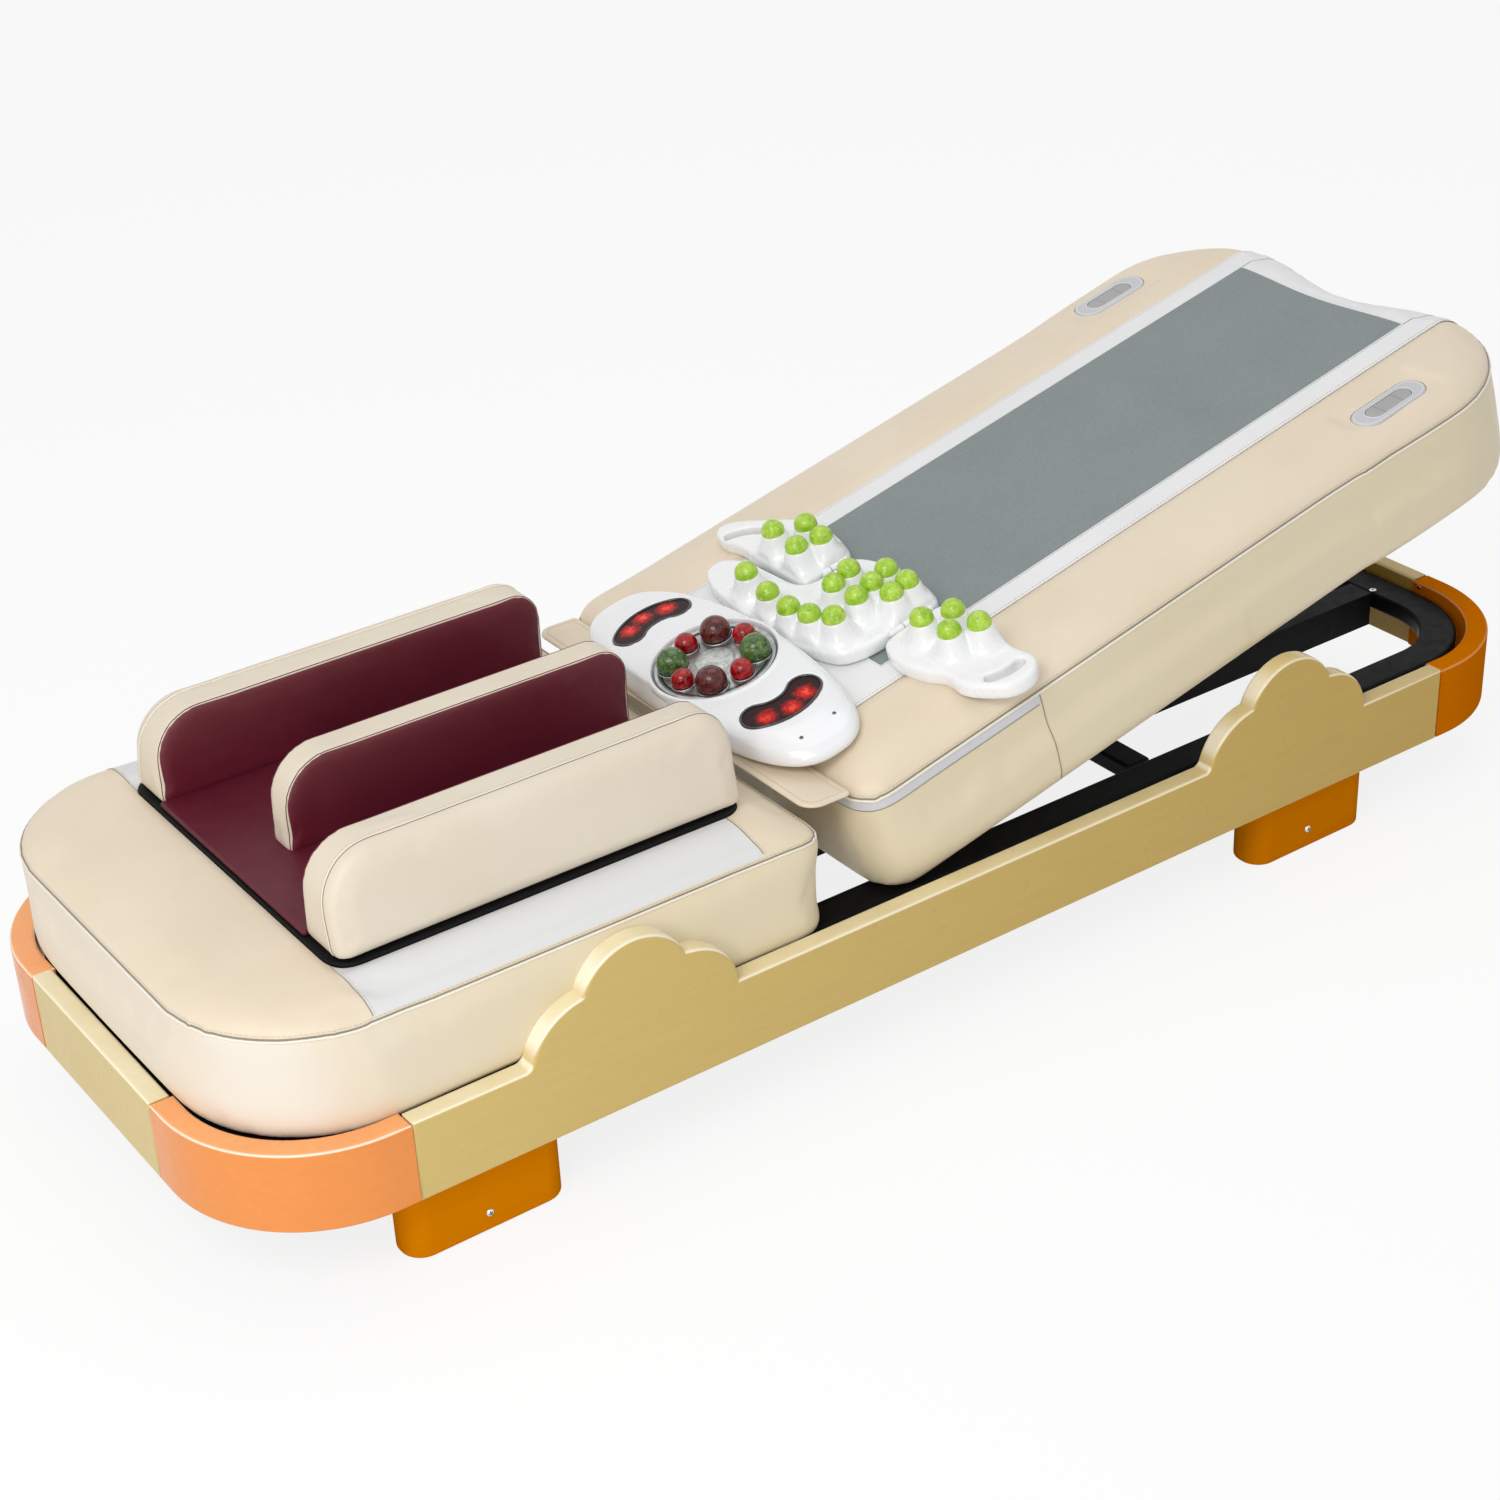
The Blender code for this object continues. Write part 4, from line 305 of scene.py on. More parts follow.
class Finish(Nodes):
    """One surface finish, mixed from shader nodes that read the piece's own coordinates."""

    def __init__(self, name, slot, rough, metal=0.0, **sockets):
        self.material = bpy.data.materials.new(name)
        self.material.use_nodes = True
        super().__init__(self.material.node_tree)
        self.slot = slot
        self.shader = self.tree.nodes["Principled BSDF"]
        self.put("Roughness", rough)
        self.put("Metallic", metal)
        for socket, value in sockets.items():
            self.put(socket.replace("_", " "), value)
        self.place = self.node("TexCoord").outputs["Object"]
        self.normal = None

    def put(self, socket, value):
        self.join(value, self.shader.inputs[socket])

    def axes(self, at=None):
        split = self.node("SeparateXYZ", Vector=at or self.place)
        return split.outputs[0], split.outputs[1], split.outputs[2]

    def back_axes(self):
        """The place measured along the raised back, across it and square to it."""
        at = self.node(
            "Mapping", {"vector_type": "TEXTURE"}, Vector=self.place,
            Location=BACK.to_translation(), Rotation=BACK.to_euler(),
        )
        return self.axes(at.outputs[0])

    def stretch(self, scale):
        return self.node("Mapping", Vector=self.place, Scale=scale).outputs[0]

    def noise(self, scale, detail=3.0, rough=0.55, at=None):
        made = self.node(
            "TexNoise", Vector=at or self.place, Scale=scale, Detail=detail, Roughness=rough
        )
        return made.outputs["Fac"]

    def cells(self, scale, at=None, spread=1.0):
        made = self.node("TexVoronoi", Vector=at or self.place, Scale=scale, Randomness=spread)
        return made.outputs["Distance"]

    def mix(self, share, a, b):
        made = self.node("Mix", {"data_type": "RGBA", "blend_type": "MIX", "clamp_factor": True})
        for socket, value in zip((made.inputs[0], made.inputs[6], made.inputs[7]), (share, a, b)):
            if isinstance(value, tuple) and len(value) == 3:
                value = (*value, 1.0)
            self.join(value, socket)
        return made.outputs[2]

    def shade(self, texture, low, high, a, b, most=1.0):
        """From colour a, where a texture is low, towards colour b, where it is high."""
        return self.mix(self.span(texture, low, high, 0.0, most), a, b)

    def roughen(self, texture, low, high):
        self.put("Roughness", self.span(texture, 0.3, 0.7, low, high))

    def between(self, value, low, high, soft=0.0006):
        """1 where value lies from low to high, with edges as soft as the seam they follow."""
        rise = self.span(value, low - soft, low + soft)
        return self.times(rise, self.span(value, high - soft, high + soft, 1.0, 0.0))

    def facing_share(self, direction, low, high):
        """1 where the surface looks along a direction, falling off to 0."""
        made = self.node("VectorMath", {"operation": "DOT_PRODUCT"})
        self.join(self.node("NewGeometry").outputs["Normal"], made.inputs[0])
        self.join(direction, made.inputs[1])
        return self.span(made.outputs["Value"], low, high, smooth=True)

    def relief(self, height, strength, depth):
        made = self.node("Bump", Height=height, Strength=strength, Distance=depth)
        if self.normal is not None:
            self.join(self.normal, made.inputs["Normal"])
        self.normal = made.outputs[0]
        self.put("Normal", self.normal)

    def colour(self, value):
        self.put("Base Color", (*value, 1.0) if isinstance(value, tuple) else value)


CREAM = (0.80, 0.690, 0.535)
CREAM_DEEP = (0.765, 0.645, 0.485)
CREAM_PORE = (0.50, 0.40, 0.27)
# Painted shade on the cushions' sides: a darker, yellower tone than the top
SIDE_SHADED_CREAM = (0.770, 0.675, 0.460)
# Painted light: the sides' tone at the foot end, lighter where the light falls
SIDE_LIT_CREAM_AT_FOOT = (0.790, 0.700, 0.570)
# Painted highlight down the mattress's near foot corner
CORNER_PAINTED_HIGHLIGHT = (0.800, 0.755, 0.675)
CRADLE_CREAM = (0.770, 0.690, 0.565)
CRADLE_WORN = (0.730, 0.645, 0.515)
STRIPE_GREY = (0.715, 0.718, 0.720)
BAND_SILVER = (0.64, 0.64, 0.67)
# Painted shade deep in the back's trench
TRENCH_PAINTED_SHADE = (0.10, 0.10, 0.10)
WINE = (0.118, 0.0085, 0.0215)
WINE_WORN = (0.135, 0.0125, 0.0270)
# Painted light on the wine, towards the walls' tops and the foot end
WINE_PAINTED_LIGHT = (0.150, 0.030, 0.038)
WINE_PORE = (0.05, 0.006, 0.012)
# Painted shade: the share of the walls' wine that the floor pad between them keeps
FLOOR_WINE_SHADE_SHARE = 0.80
# Painted shade: how far the cushions' sides go towards their shaded tone
SIDE_SHADE_SHARE = 0.75


def leather_base(finish, tone, worn, pore=CREAM_PORE):
    """Soft upholstery leather: cloudy tone, pebbled grain, fine creases."""
    tint = finish.shade(finish.noise(5.0, 4.0), 0.35, 0.65, tone, worn)
    pores = finish.noise(900.0, 2.0)
    finish.roughen(finish.noise(38.0), 0.40, 0.52)
    finish.relief(finish.cells(620.0), 0.16, 0.0006)
    finish.relief(pores, 0.10, 0.0004)
    finish.relief(finish.noise(26.0), 0.10, 0.004)
    return finish.mix(finish.span(pores, 0.30, 0.44, 0.16, 0.0), tint, pore)


def mattress_leather():
    """Cream, with a grey stripe across it that lies on under the tray; its sides carry painted
    shade, painted lighter towards the foot, and a painted highlight down the near foot corner.
    """
    finish = Finish("cream_leather_foot_mattress", "beige_leather", 0.45, Sheen_Weight=0.08)
    tone = leather_base(finish, CREAM, CREAM_DEEP)
    x, y, z = finish.axes()
    aside = finish.math("ABSOLUTE", y)
    shift = BED.to_translation()
    seam_z, top_z = MATTRESS_SEAM + shift.z, MATTRESS_TOP + shift.z
    top = finish.span(z, seam_z - 0.0012, seam_z + 0.0002)
    clear_of_tray = finish.math(
        "MAXIMUM", finish.span(aside, LEG_HALF - 0.024, LEG_HALF - 0.020),
        finish.span(x, LEG_FOOT_X + 0.012, LEG_FOOT_X + 0.016),
    )
    stripe = finish.between(x, STRIPE_FOOT_X + shift.x, STRIPE_HEAD_X + shift.x)
    recess = finish.times(
        finish.span(z, top_z - 0.0050, top_z - 0.0040, 1.0, 0.0),
        finish.between(x, LEG_FOOT_X + shift.x - 0.004, LEG_KNEE_X + shift.x - 0.003),
        finish.span(aside, LEG_HALF + 0.002, LEG_HALF + 0.003, 1.0, 0.0),
    )
    # Painted light on the sides: shaded and yellower towards the head, lighter at the foot end, and
    # a painted highlight where they face the near foot corner
    side = finish.shade(x, -0.90, -0.62, SIDE_LIT_CREAM_AT_FOOT, SIDE_SHADED_CREAM)
    side = finish.mix(finish.facing_share((-0.72, -0.69, 0.0), 0.86, 1.0), side, CORNER_PAINTED_HIGHLIGHT)
    tone = finish.mix(top, finish.mix(SIDE_SHADE_SHARE, tone, side), tone)
    grey = finish.math("MAXIMUM", finish.times(stripe, clear_of_tray), recess)
    finish.colour(finish.mix(finish.times(grey, top), tone, STRIPE_GREY))
    return finish


def back_leather():
    """Cream, with a silver band at the foot end; painted shade makes its sides yellower and darker
    than its top, and near black deep down in the trench.
    """
    finish = Finish("cream_leather_back", "beige_leather", 0.45, Sheen_Weight=0.08)
    tone = leather_base(finish, CREAM, CREAM_DEEP)
    s, y, t = finish.back_axes()
    # Painted shade: below the seam the sides go most of the way to the darker, yellower side tone
    tone = finish.shade(t, -0.0012, 0.0002, finish.mix(SIDE_SHADE_SHARE, tone, SIDE_SHADED_CREAM), tone)
    band = finish.times(
        finish.between(t, -0.0190, -0.0040),
        finish.span(s, SIDE_SEAM_S - 0.001, SIDE_SEAM_S, 1.0, 0.0),
    )
    # Painted shade: the trench turns near black deep down
    trench = finish.times(
        finish.span(t, -0.075, -0.070, 1.0, 0.0), finish.between(y, -0.102, 0.102),
        finish.span(s, 0.02, 0.026), finish.span(s, 0.934, 0.94, 1.0, 0.0),
    )
    finish.colour(finish.mix(trench, finish.mix(band, tone, BAND_SILVER), TRENCH_PAINTED_SHADE))
    return finish


def plain_leather(name, tone, worn, pore=CREAM_PORE):
    finish = Finish(name, "beige_leather", 0.45, Sheen_Weight=0.08)
    finish.colour(leather_base(finish, tone, worn, pore))
    return finish


def cradle_leather():
    """Cream outside and wine red on the faces that hold the legs; painted light makes the wine
    paler towards the top and the foot end.
    """
    finish = Finish("cradle_leather_cream_and_wine", "beige_leather", 0.45, Specular_IOR_Level=0.35)
    tone = leather_base(finish, CRADLE_CREAM, CRADLE_WORN)
    x, y, z = finish.axes()
    shift = BED.to_translation()
    aside = finish.math("ABSOLUTE", y)
    lined = finish.between(aside, MIDDLE_HALF - 0.0026, WALL_INNER_Y + 0.0026, 0.0003)
    wine = finish.shade(finish.noise(6.0), 0.3, 0.7, WINE, WINE_WORN)
    # Painted light: the wine is lighter towards the top of the walls and towards the foot end
    light = finish.times(
        finish.span(z, WALL_BASE + shift.z + 0.02, WALL_TOP + shift.z, smooth=True),
        finish.span(finish.span(x, -0.35, -0.72, smooth=True), 0.0, 1.0, 0.25, 1.0),
    )
    finish.colour(finish.mix(lined, tone, finish.mix(light, wine, WINE_PAINTED_LIGHT)))
    return finish


def wine_leather():
    finish = Finish("wine_leather", "beige_leather", 0.42, Specular_IOR_Level=0.3)
    # Painted shade: the floor pad's wine is the walls' wine, darkened
    tone, worn = (tuple(FLOOR_WINE_SHADE_SHARE * part for part in one) for one in (WINE, WINE_WORN))
    finish.colour(leather_base(finish, tone, worn, WINE_PORE))
    return finish


def lacquer(name, slot, tones, edges, rough=0.30, coat=0.2, shine=0.3, highlight_line_share=0.5):
    """Sprayed lacquer over board with faint grain; painted light makes it paler towards the foot
    end and deeper towards the head, paints its upward faces paler and draws a painted highlight
    line along its edges.
    """
    finish = Finish(
        name, slot, rough, Coat_Weight=coat, Coat_Roughness=0.12, Specular_IOR_Level=shine
    )
    # Painted light: the foot end, where the light comes from, is painted lighter than the head end
    along = finish.span(finish.axes()[0], -0.95, 0.95)
    tone, edge = (finish.mix(along, foot, head) for foot, head in (tones, edges))
    deep = finish.mix(0.22, tone, (0.0, 0.0, 0.0))
    grain = finish.noise(9.0, 5.0, 0.6, at=finish.stretch((1.0, 9.0, 14.0)))
    body = finish.shade(grain, 0.3, 0.7, tone, deep, 0.24)
    body = finish.shade(finish.noise(420.0, 2.0), 0.66, 0.74, body, deep, 0.3)
    # Painted light: upward faces go to the paler edge colour, patchily, and a painted highlight
    # line runs where the rounded edges turn upward
    facing_up = finish.axes(finish.node("NewGeometry").outputs["Normal"])[2]
    patchy_top_light = finish.span(finish.noise(14.0), 0.3, 0.6, 0.72, 1.0)
    top = finish.times(finish.span(facing_up, 0.25, 0.85), patchy_top_light)
    line = finish.between(facing_up, 0.42, 0.84, 0.10)
    pale = finish.mix(highlight_line_share, edge, (1.0, 0.96, 0.86))
    finish.colour(finish.mix(line, finish.mix(top, body, edge), pale))
    finish.roughen(finish.noise(30.0, 4.0), rough - 0.04, rough + 0.07)
    finish.relief(finish.noise(240.0, 2.0), 0.035, 0.0006)
    return finish


def tube_paint(name, slot, tone, rough):
    """Powder-coated steel with a fine pebble and a little dust in patches."""
    finish = Finish(name, slot, rough, Specular_IOR_Level=0.06)
    pale = tuple(min(1.0, part * 2.0 + 0.008) for part in tone)
    finish.colour(finish.shade(finish.noise(22.0, 5.0), 0.42, 0.72, tone, pale, 0.25))
    finish.roughen(finish.noise(60.0), rough - 0.06, rough + 0.10)
    finish.relief(finish.noise(700.0, 2.0), 0.12, 0.0004)
    return finish


def bright_metal(name, tone, rough=0.22):
    finish = Finish(name, "bright_steel", rough, 1.0)
    brushed = finish.noise(90.0, 4.0, at=finish.stretch((14.0, 1.0, 1.0)))
    finish.colour(finish.shade(brushed, 0.3, 0.7, tone, tuple(0.82 * part for part in tone)))
    finish.roughen(brushed, rough - 0.05, rough + 0.12)
    finish.relief(brushed, 0.05, 0.0003)
    return finish


def plywood():
    finish = Finish("birch_board", "base_ply", 0.62)
    grain = finish.noise(11.0, 6.0, 0.62, at=finish.stretch((1.0, 14.0, 60.0)))
    finish.colour(finish.shade(grain, 0.3, 0.7, (0.60, 0.43, 0.25), (0.42, 0.28, 0.15)))
    finish.relief(grain, 0.2, 0.0008)
    return finish


def moulded(name, slot, tone, deep, rough, coat, grain, **sockets):
    """Moulded plastic: slight cloudiness, soft sheen, a trace of mould texture."""
    finish = Finish(name, slot, rough, Coat_Weight=coat, Coat_Roughness=0.08, **sockets)
    finish.colour(finish.shade(finish.noise(12.0, 4.0), 0.35, 0.7, tone, deep))
    finish.roughen(finish.noise(45.0), rough - 0.05, rough + 0.06)
    finish.relief(finish.noise(520.0, 2.0), grain, 0.0004)
    return finish


def cover_cloth():
    """Pale woven polyester, two fine threads crossing."""
    finish = Finish(
        "pale_cover_cloth", "white_fabric", 0.72, Sheen_Weight=0.25, Sheen_Roughness=0.5
    )
    s, y, _ = finish.back_axes()
    weave = finish.times(
        *(finish.math("SINE", finish.times(way, 2 * pi / THREAD_PITCH)) for way in (s, y))
    )
    base = finish.shade(finish.noise(8.0, 4.0), 0.3, 0.7, (0.87, 0.87, 0.875), (0.82, 0.82, 0.83))
    finish.colour(finish.shade(weave, -1.0, 1.0, base, (0.68, 0.68, 0.69), 0.14))
    finish.relief(weave, 0.14, 0.0003)
    finish.relief(finish.noise(30.0), 0.10, 0.003)
    return finish


def spacer_mesh():
    """Grey spacer mesh: small round holes in a close honeycomb, flecked yarn."""
    finish = Finish("grey_spacer_mesh", "grey_mesh", 0.8, Sheen_Weight=0.2, Sheen_Roughness=0.5)
    s, y, _ = finish.back_axes()
    level = finish.node("CombineXYZ", X=s, Y=y, Z=0.0).outputs[0]
    holes = finish.cells(330.0, at=level, spread=0.35)
    cloud = finish.noise(9.0, 4.0)
    base = finish.shade(cloud, 0.3, 0.7, (0.215, 0.250, 0.252), (0.190, 0.224, 0.226))
    fleck = finish.noise(420.0, 3.0, 0.7)
    base = finish.shade(fleck, 0.36, 0.66, base, (0.285, 0.325, 0.325), 0.55)
    hole_share = finish.span(holes, 0.0, 0.34, 0.62, 0.0)
    finish.colour(finish.mix(hole_share, base, (0.11, 0.14, 0.135)))
    finish.relief(holes, 0.5, 0.0006)
    return finish


def polished(name, rough, cloud, low, high, dark, light, **sockets):
    """Polished stone or glass of two cloudy colours; gives the finish and its colour."""
    finish = Finish(name, "jade", rough, Specular_IOR_Level=0.35, **sockets)
    return finish, finish.shade(finish.noise(*cloud), low, high, dark, light)


def jade():
    """Pale apple-green jade, cloudy and slightly see-through under a polish."""
    finish, body = polished(
        "apple_jade", 0.18, (85.0, 5.0, 0.62), 0.34, 0.66, (0.26, 0.50, 0.010), (0.50, 0.72, 0.075),
        Subsurface_Weight=0.15, Subsurface_Scale=0.004, Coat_Weight=0.12, Coat_Roughness=0.04,
    )
    vein = finish.noise(190.0, 4.0, 0.7)
    finish.colour(finish.shade(vein, 0.56, 0.68, body, (0.78, 0.88, 0.42), 0.65))
    return finish


def stone(name, dark, light, fleck, scale=150.0):
    finish, body = polished(
        name, 0.16, (scale, 5.0, 0.65), 0.38, 0.62, dark, light,
        Coat_Weight=0.12, Coat_Roughness=0.04,
    )
    finish.colour(finish.shade(finish.noise(scale * 2.4, 4.0), 0.60, 0.70, body, fleck, 0.8))
    return finish


def red_bead():
    finish, body = polished(
        "red_glass_bead", 0.12, (170.0, 4.0, 0.6), 0.35, 0.68, (0.105, 0.001, 0.002),
        (0.62, 0.008, 0.012), Coat_Weight=0.15, Coat_Roughness=0.03,
    )
    finish.colour(body)
    return finish


def near_points(finish, points):
    """Distance from the nearest of some points."""
    nearest = None
    for point in points:
        gap = finish.node("VectorMath", {"operation": "DISTANCE"})
        finish.join(finish.place, gap.inputs[0])
        finish.join(tuple(point), gap.inputs[1])
        reach = gap.outputs["Value"]
        nearest = reach if nearest is None else finish.math("MINIMUM", nearest, reach)
    return nearest


def lamp_glass(points):
    """Near-black red glass with warm lamps glowing under it."""
    finish = Finish(
        "lamp_window_glass", "jade", 0.30, Coat_Weight=0.06, Coat_Roughness=0.05,
        Specular_IOR_Level=0.15,
    )
    mottle = finish.noise(150.0, 4.0, 0.7)
    uneven = finish.span(mottle, 0.3, 0.7, 0.004, -0.004)
    reach = finish.math("ADD", near_points(finish, points), uneven)
    halo = finish.span(reach, 0.001, 0.0180, 1.0, 0.0, smooth=True)
    heart = finish.span(reach, 0.0, 0.0065, 1.0, 0.0, smooth=True)
    glow = finish.times(halo, finish.span(mottle, 0.30, 0.60, 0.30, 1.0), LAMP_STRENGTH)
    # Painted light: round each lamp the glass's own colour is painted red, a pool of the lamps'
    # light
    finish.colour(finish.mix(halo, (0.016, 0.0006, 0.0010), (0.34, 0.006, 0.004)))
    finish.put("Emission Color", finish.mix(heart, (1.0, 0.012, 0.008), (1.0, 0.20, 0.09)))
    finish.put("Emission Strength", glow)
    return finish


def disc_plate_metal():
    finish = Finish("stained_steel_dish", "disc_steel", 0.30, 1.0)
    stain = finish.noise(48.0, 6.0, 0.7)
    body = finish.shade(stain, 0.40, 0.62, (0.50, 0.52, 0.53), (0.30, 0.31, 0.30))
    spots = finish.noise(120.0, 5.0, 0.7)
    finish.colour(finish.shade(spots, 0.60, 0.70, body, (0.13, 0.10, 0.08), 0.7))
    finish.roughen(stain, 0.22, 0.46)
    finish.relief(finish.noise(160.0, 4.0), 0.2, 0.0008)
    return finish


def hub_marble():
    finish = Finish("mottled_hub", "disc_steel", 0.34, 0.35)
    stain = finish.noise(95.0, 6.0, 0.7)
    body = finish.shade(stain, 0.38, 0.60, (0.36, 0.40, 0.37), (0.63, 0.65, 0.62))
    spots = finish.noise(180.0, 5.0, 0.7)
    finish.colour(finish.shade(spots, 0.58, 0.68, body, (0.20, 0.22, 0.19), 0.85))
    finish.relief(stain, 0.25, 0.0008)
    return finish


def thread():
    finish = Finish("sewing_thread", "beige_leather", 0.7, Sheen_Weight=0.2)
    twist = finish.noise(1500.0, 1.0)
    finish.colour(finish.shade(twist, 0.35, 0.65, (0.70, 0.62, 0.50), (0.56, 0.48, 0.36)))
    finish.relief(twist, 0.3, 0.0002)
    return finish


leather_foot = mattress_leather()
leather_back = back_leather()
leather_plain = plain_leather("cream_leather", CREAM, CREAM_DEEP)
leather_cradle = cradle_leather()
leather_wine = wine_leather()
wine_piping = plain_leather(
    "wine_piping", (0.165, 0.020, 0.036), (0.115, 0.010, 0.022), (0.06, 0.006, 0.012)
)
piping_pale = plain_leather("pale_piping", (0.90, 0.84, 0.73), (0.86, 0.79, 0.67))
seam_shadow = plain_leather("seam_shadow", (0.300, 0.265, 0.205), (0.240, 0.210, 0.160))
# Each lacquer's colours at the foot end and at the head end, for its faces and for its edges; paler
# at the foot and on the edges as painted light
lacquer_tan = lacquer(
    "tan_lacquer", "rail_wood", ((0.66, 0.50, 0.175), (0.53, 0.345, 0.062)),
    ((0.88, 0.79, 0.54), (0.74, 0.56, 0.22)), 0.30, 0.15, 0.25,
)
lacquer_orange = lacquer(
    "orange_lacquer", "corner_orange", ((0.83, 0.290, 0.072), (0.68, 0.180, 0.004)),
    ((0.95, 0.43, 0.17), (0.80, 0.235, 0.004)), 0.24, 0.10, 0.20, 0.65,
)
# Painted shade: a deeper copy of the orange lacquer for the head corners, without coat or shine
lacquer_orange_shaded = lacquer(
    "shaded_orange_corner_lacquer", "corner_orange", ((0.70, 0.210, 0.0), (0.58, 0.150, 0.0)),
    ((0.86, 0.34, 0.004), (0.74, 0.200, 0.0)), 0.30, 0.0, 0.0, 0.15,
)
lacquer_foot = lacquer(
    "amber_foot_lacquer", "foot_orange", ((0.64, 0.205, 0.0), (0.60, 0.180, 0.0)),
    ((0.85, 0.40, 0.03), (0.85, 0.40, 0.03)), 0.30, 0.0, 0.0, 0.0,
)
paint_black = tube_paint("black_tube_paint", "frame_black", (0.0055, 0.0055, 0.006), 0.42)
tray_black = moulded(
    "black_tray_rubber", "tray_black", (0.004, 0.004, 0.004), (0.007, 0.007, 0.007),
    0.62, 0.0, 0.2, Specular_IOR_Level=0.12,
)
steel_bright = bright_metal("polished_steel", (0.66, 0.67, 0.68))
screw_silver = bright_metal("zinc_screw", (0.78, 0.79, 0.80), 0.26)
screw_copper = bright_metal("copper_screw", (0.62, 0.13, 0.05), 0.34)
screw_dark = bright_metal("dark_screw", (0.16, 0.17, 0.18), 0.34)
birch = plywood()
cloth_pale = cover_cloth()
mesh_grey = spacer_mesh()
jade_green = jade()
shell_white = moulded(
    "gloss_white_shell", "gloss_white", (0.86, 0.865, 0.88), (0.84, 0.845, 0.86), 0.20, 0.5, 0.0
)
belt_white = moulded(
    "belt_white_plastic", "gloss_white", (0.885, 0.89, 0.895), (0.865, 0.87, 0.88), 0.26, 0.35, 0.0
)
panel_grey = moulded(
    "panel_grey_plastic", "panel_grey", (0.57, 0.58, 0.61), (0.53, 0.54, 0.57), 0.34, 0.2, 0.08
)
# Painted highlight: pale plastic for the rings along the panels' rims
panel_rim_highlight = moulded(
    "panel_rim_painted_highlight", "panel_grey", (0.76, 0.765, 0.78), (0.72, 0.725, 0.74), 0.30, 0.25, 0.05
)
key_grey = moulded(
    "key_grey_plastic", "key_grey", (0.40, 0.395, 0.39), (0.36, 0.355, 0.35), 0.40, 0.1, 0.10
)
housing = moulded(
    "dark_motor_housing", "actuator_plastic", (0.045, 0.046, 0.050), (0.060, 0.061, 0.065),
    0.45, 0.05, 0.2,
)
bezel_black = moulded(
    "black_window_bezel", "gloss_white", (0.015, 0.012, 0.012), (0.022, 0.016, 0.016),
    0.25, 0.4, 0.02,
)
sewing = thread()
steel_dish = disc_plate_metal()
hub_stone = hub_marble()
brown_stone = stone(
    "brown_agate", (0.050, 0.006, 0.006), (0.150, 0.025, 0.020), (0.30, 0.10, 0.08)
)
green_stone = stone(
    "green_serpentine", (0.025, 0.062, 0.012), (0.115, 0.215, 0.055), (0.44, 0.55, 0.30), 120.0
)
bead_red = red_bead()


# Outlines, as lists of (u, v)

def span(low, high, step):
    count = max(1, round((high - low) / step))
    return [low + (high - low) * k / count for k in range(count + 1)]


def arc(center, radius, start, end, steps):
    turn = (end - start) / steps
    return [
        (center[0] + radius * cos(start + turn * k), center[1] + radius * sin(start + turn * k))
        for k in range(steps + 1)
    ]


def arc_through(first, middle, last, steps):
    """Points on the circle through three points, without the last one."""
    (ax, ay), (bx, by), (cx, cy) = first, middle, last
    cross = 2 * (ax * (by - cy) + bx * (cy - ay) + cx * (ay - by))
    sa, sb, sc = ax * ax + ay * ay, bx * bx + by * by, cx * cx + cy * cy
    ox = (sa * (by - cy) + sb * (cy - ay) + sc * (ay - by)) / cross
    oy = (sa * (cx - bx) + sb * (ax - cx) + sc * (bx - ax)) / cross
    start = atan2(ay - oy, ax - ox)
    turn = (atan2(cy - oy, cx - ox) - start) % (2 * pi)
    if (atan2(by - oy, bx - ox) - start) % (2 * pi) > turn:
        turn -= 2 * pi
    return arc((ox, oy), hypot(ax - ox, ay - oy), start, start + turn, steps)[:-1]


def rounded_box(u0, u1, v0, v1, radii, steps=12):
    """Rectangle with its own radius at each corner, from the low one round by way of u1."""
    r0, r1, r2, r3 = radii
    corners = (
        ((u0 + r0, v0 + r0), r0, pi), ((u1 - r1, v0 + r1), r1, 1.5 * pi),
        ((u1 - r2, v1 - r2), r2, 0.0), ((u0 + r3, v1 - r3), r3, 0.5 * pi),
    )
    return [p for center, r, start in corners for p in arc(center, r, start, start + pi / 2, steps)]


def box_outline(u0, u1, v0, v1):
    return [(u0, v0), (u1, v0), (u1, v1), (u0, v1)]


def stadium(length, width, steps):
    radius = width / 2
    reach = length / 2 - radius
    near_end = arc((reach, 0.0), radius, -pi / 2, pi / 2, steps)
    return near_end + arc((-reach, 0.0), radius, pi / 2, 1.5 * pi, steps)


def moved(outline, u, v):
    return [(a + u, b + v) for a, b in outline]


def smooth_step(value, low, high):
    share = min(max((value - low) / (high - low), 0.0), 1.0)
    return share * share * (3 - 2 * share)


def spaced(path, step, closed=True):
    """The same path with its points an even step apart."""
    points = [Vector(p) for p in path]
    if closed:
        points.append(points[0])
    total = sum((b - a).length for a, b in zip(points, points[1:]))
    count = max(2, round(total / step))
    step = total / count
    out, walked, goal = [], 0.0, 0.0
    for a, b in zip(points, points[1:]):
        length = (b - a).length
        while length and goal <= walked + length + 1e-9 and len(out) < count + (not closed):
            out.append(a.lerp(b, min(1.0, max(0.0, (goal - walked) / length))))
            goal += step
        walked += length
    if not closed and len(out) < count + 1:
        out.append(points[-1])
    return out


def from_widest_gap(path):
    """A closed path opened where its neighbours lie furthest apart."""
    start = max(range(len(path)), key=lambda k: (path[k] - path[k - 1]).length)
    return path[start:] + path[:start]


# Shapes

def linked(name, data):
    """A new object for some data, in the scene."""
    made = bpy.data.objects.new(name, data)
    bpy.context.scene.collection.objects.link(made)
    return made


def mesh_of(bm, name="working"):
    mesh = bpy.data.meshes.new(name)
    bm.to_mesh(mesh)
    bm.free()
    return mesh


def removed(piece):
    mesh = piece.data
    bpy.data.objects.remove(piece, do_unlink=True)
    bpy.data.meshes.remove(mesh)


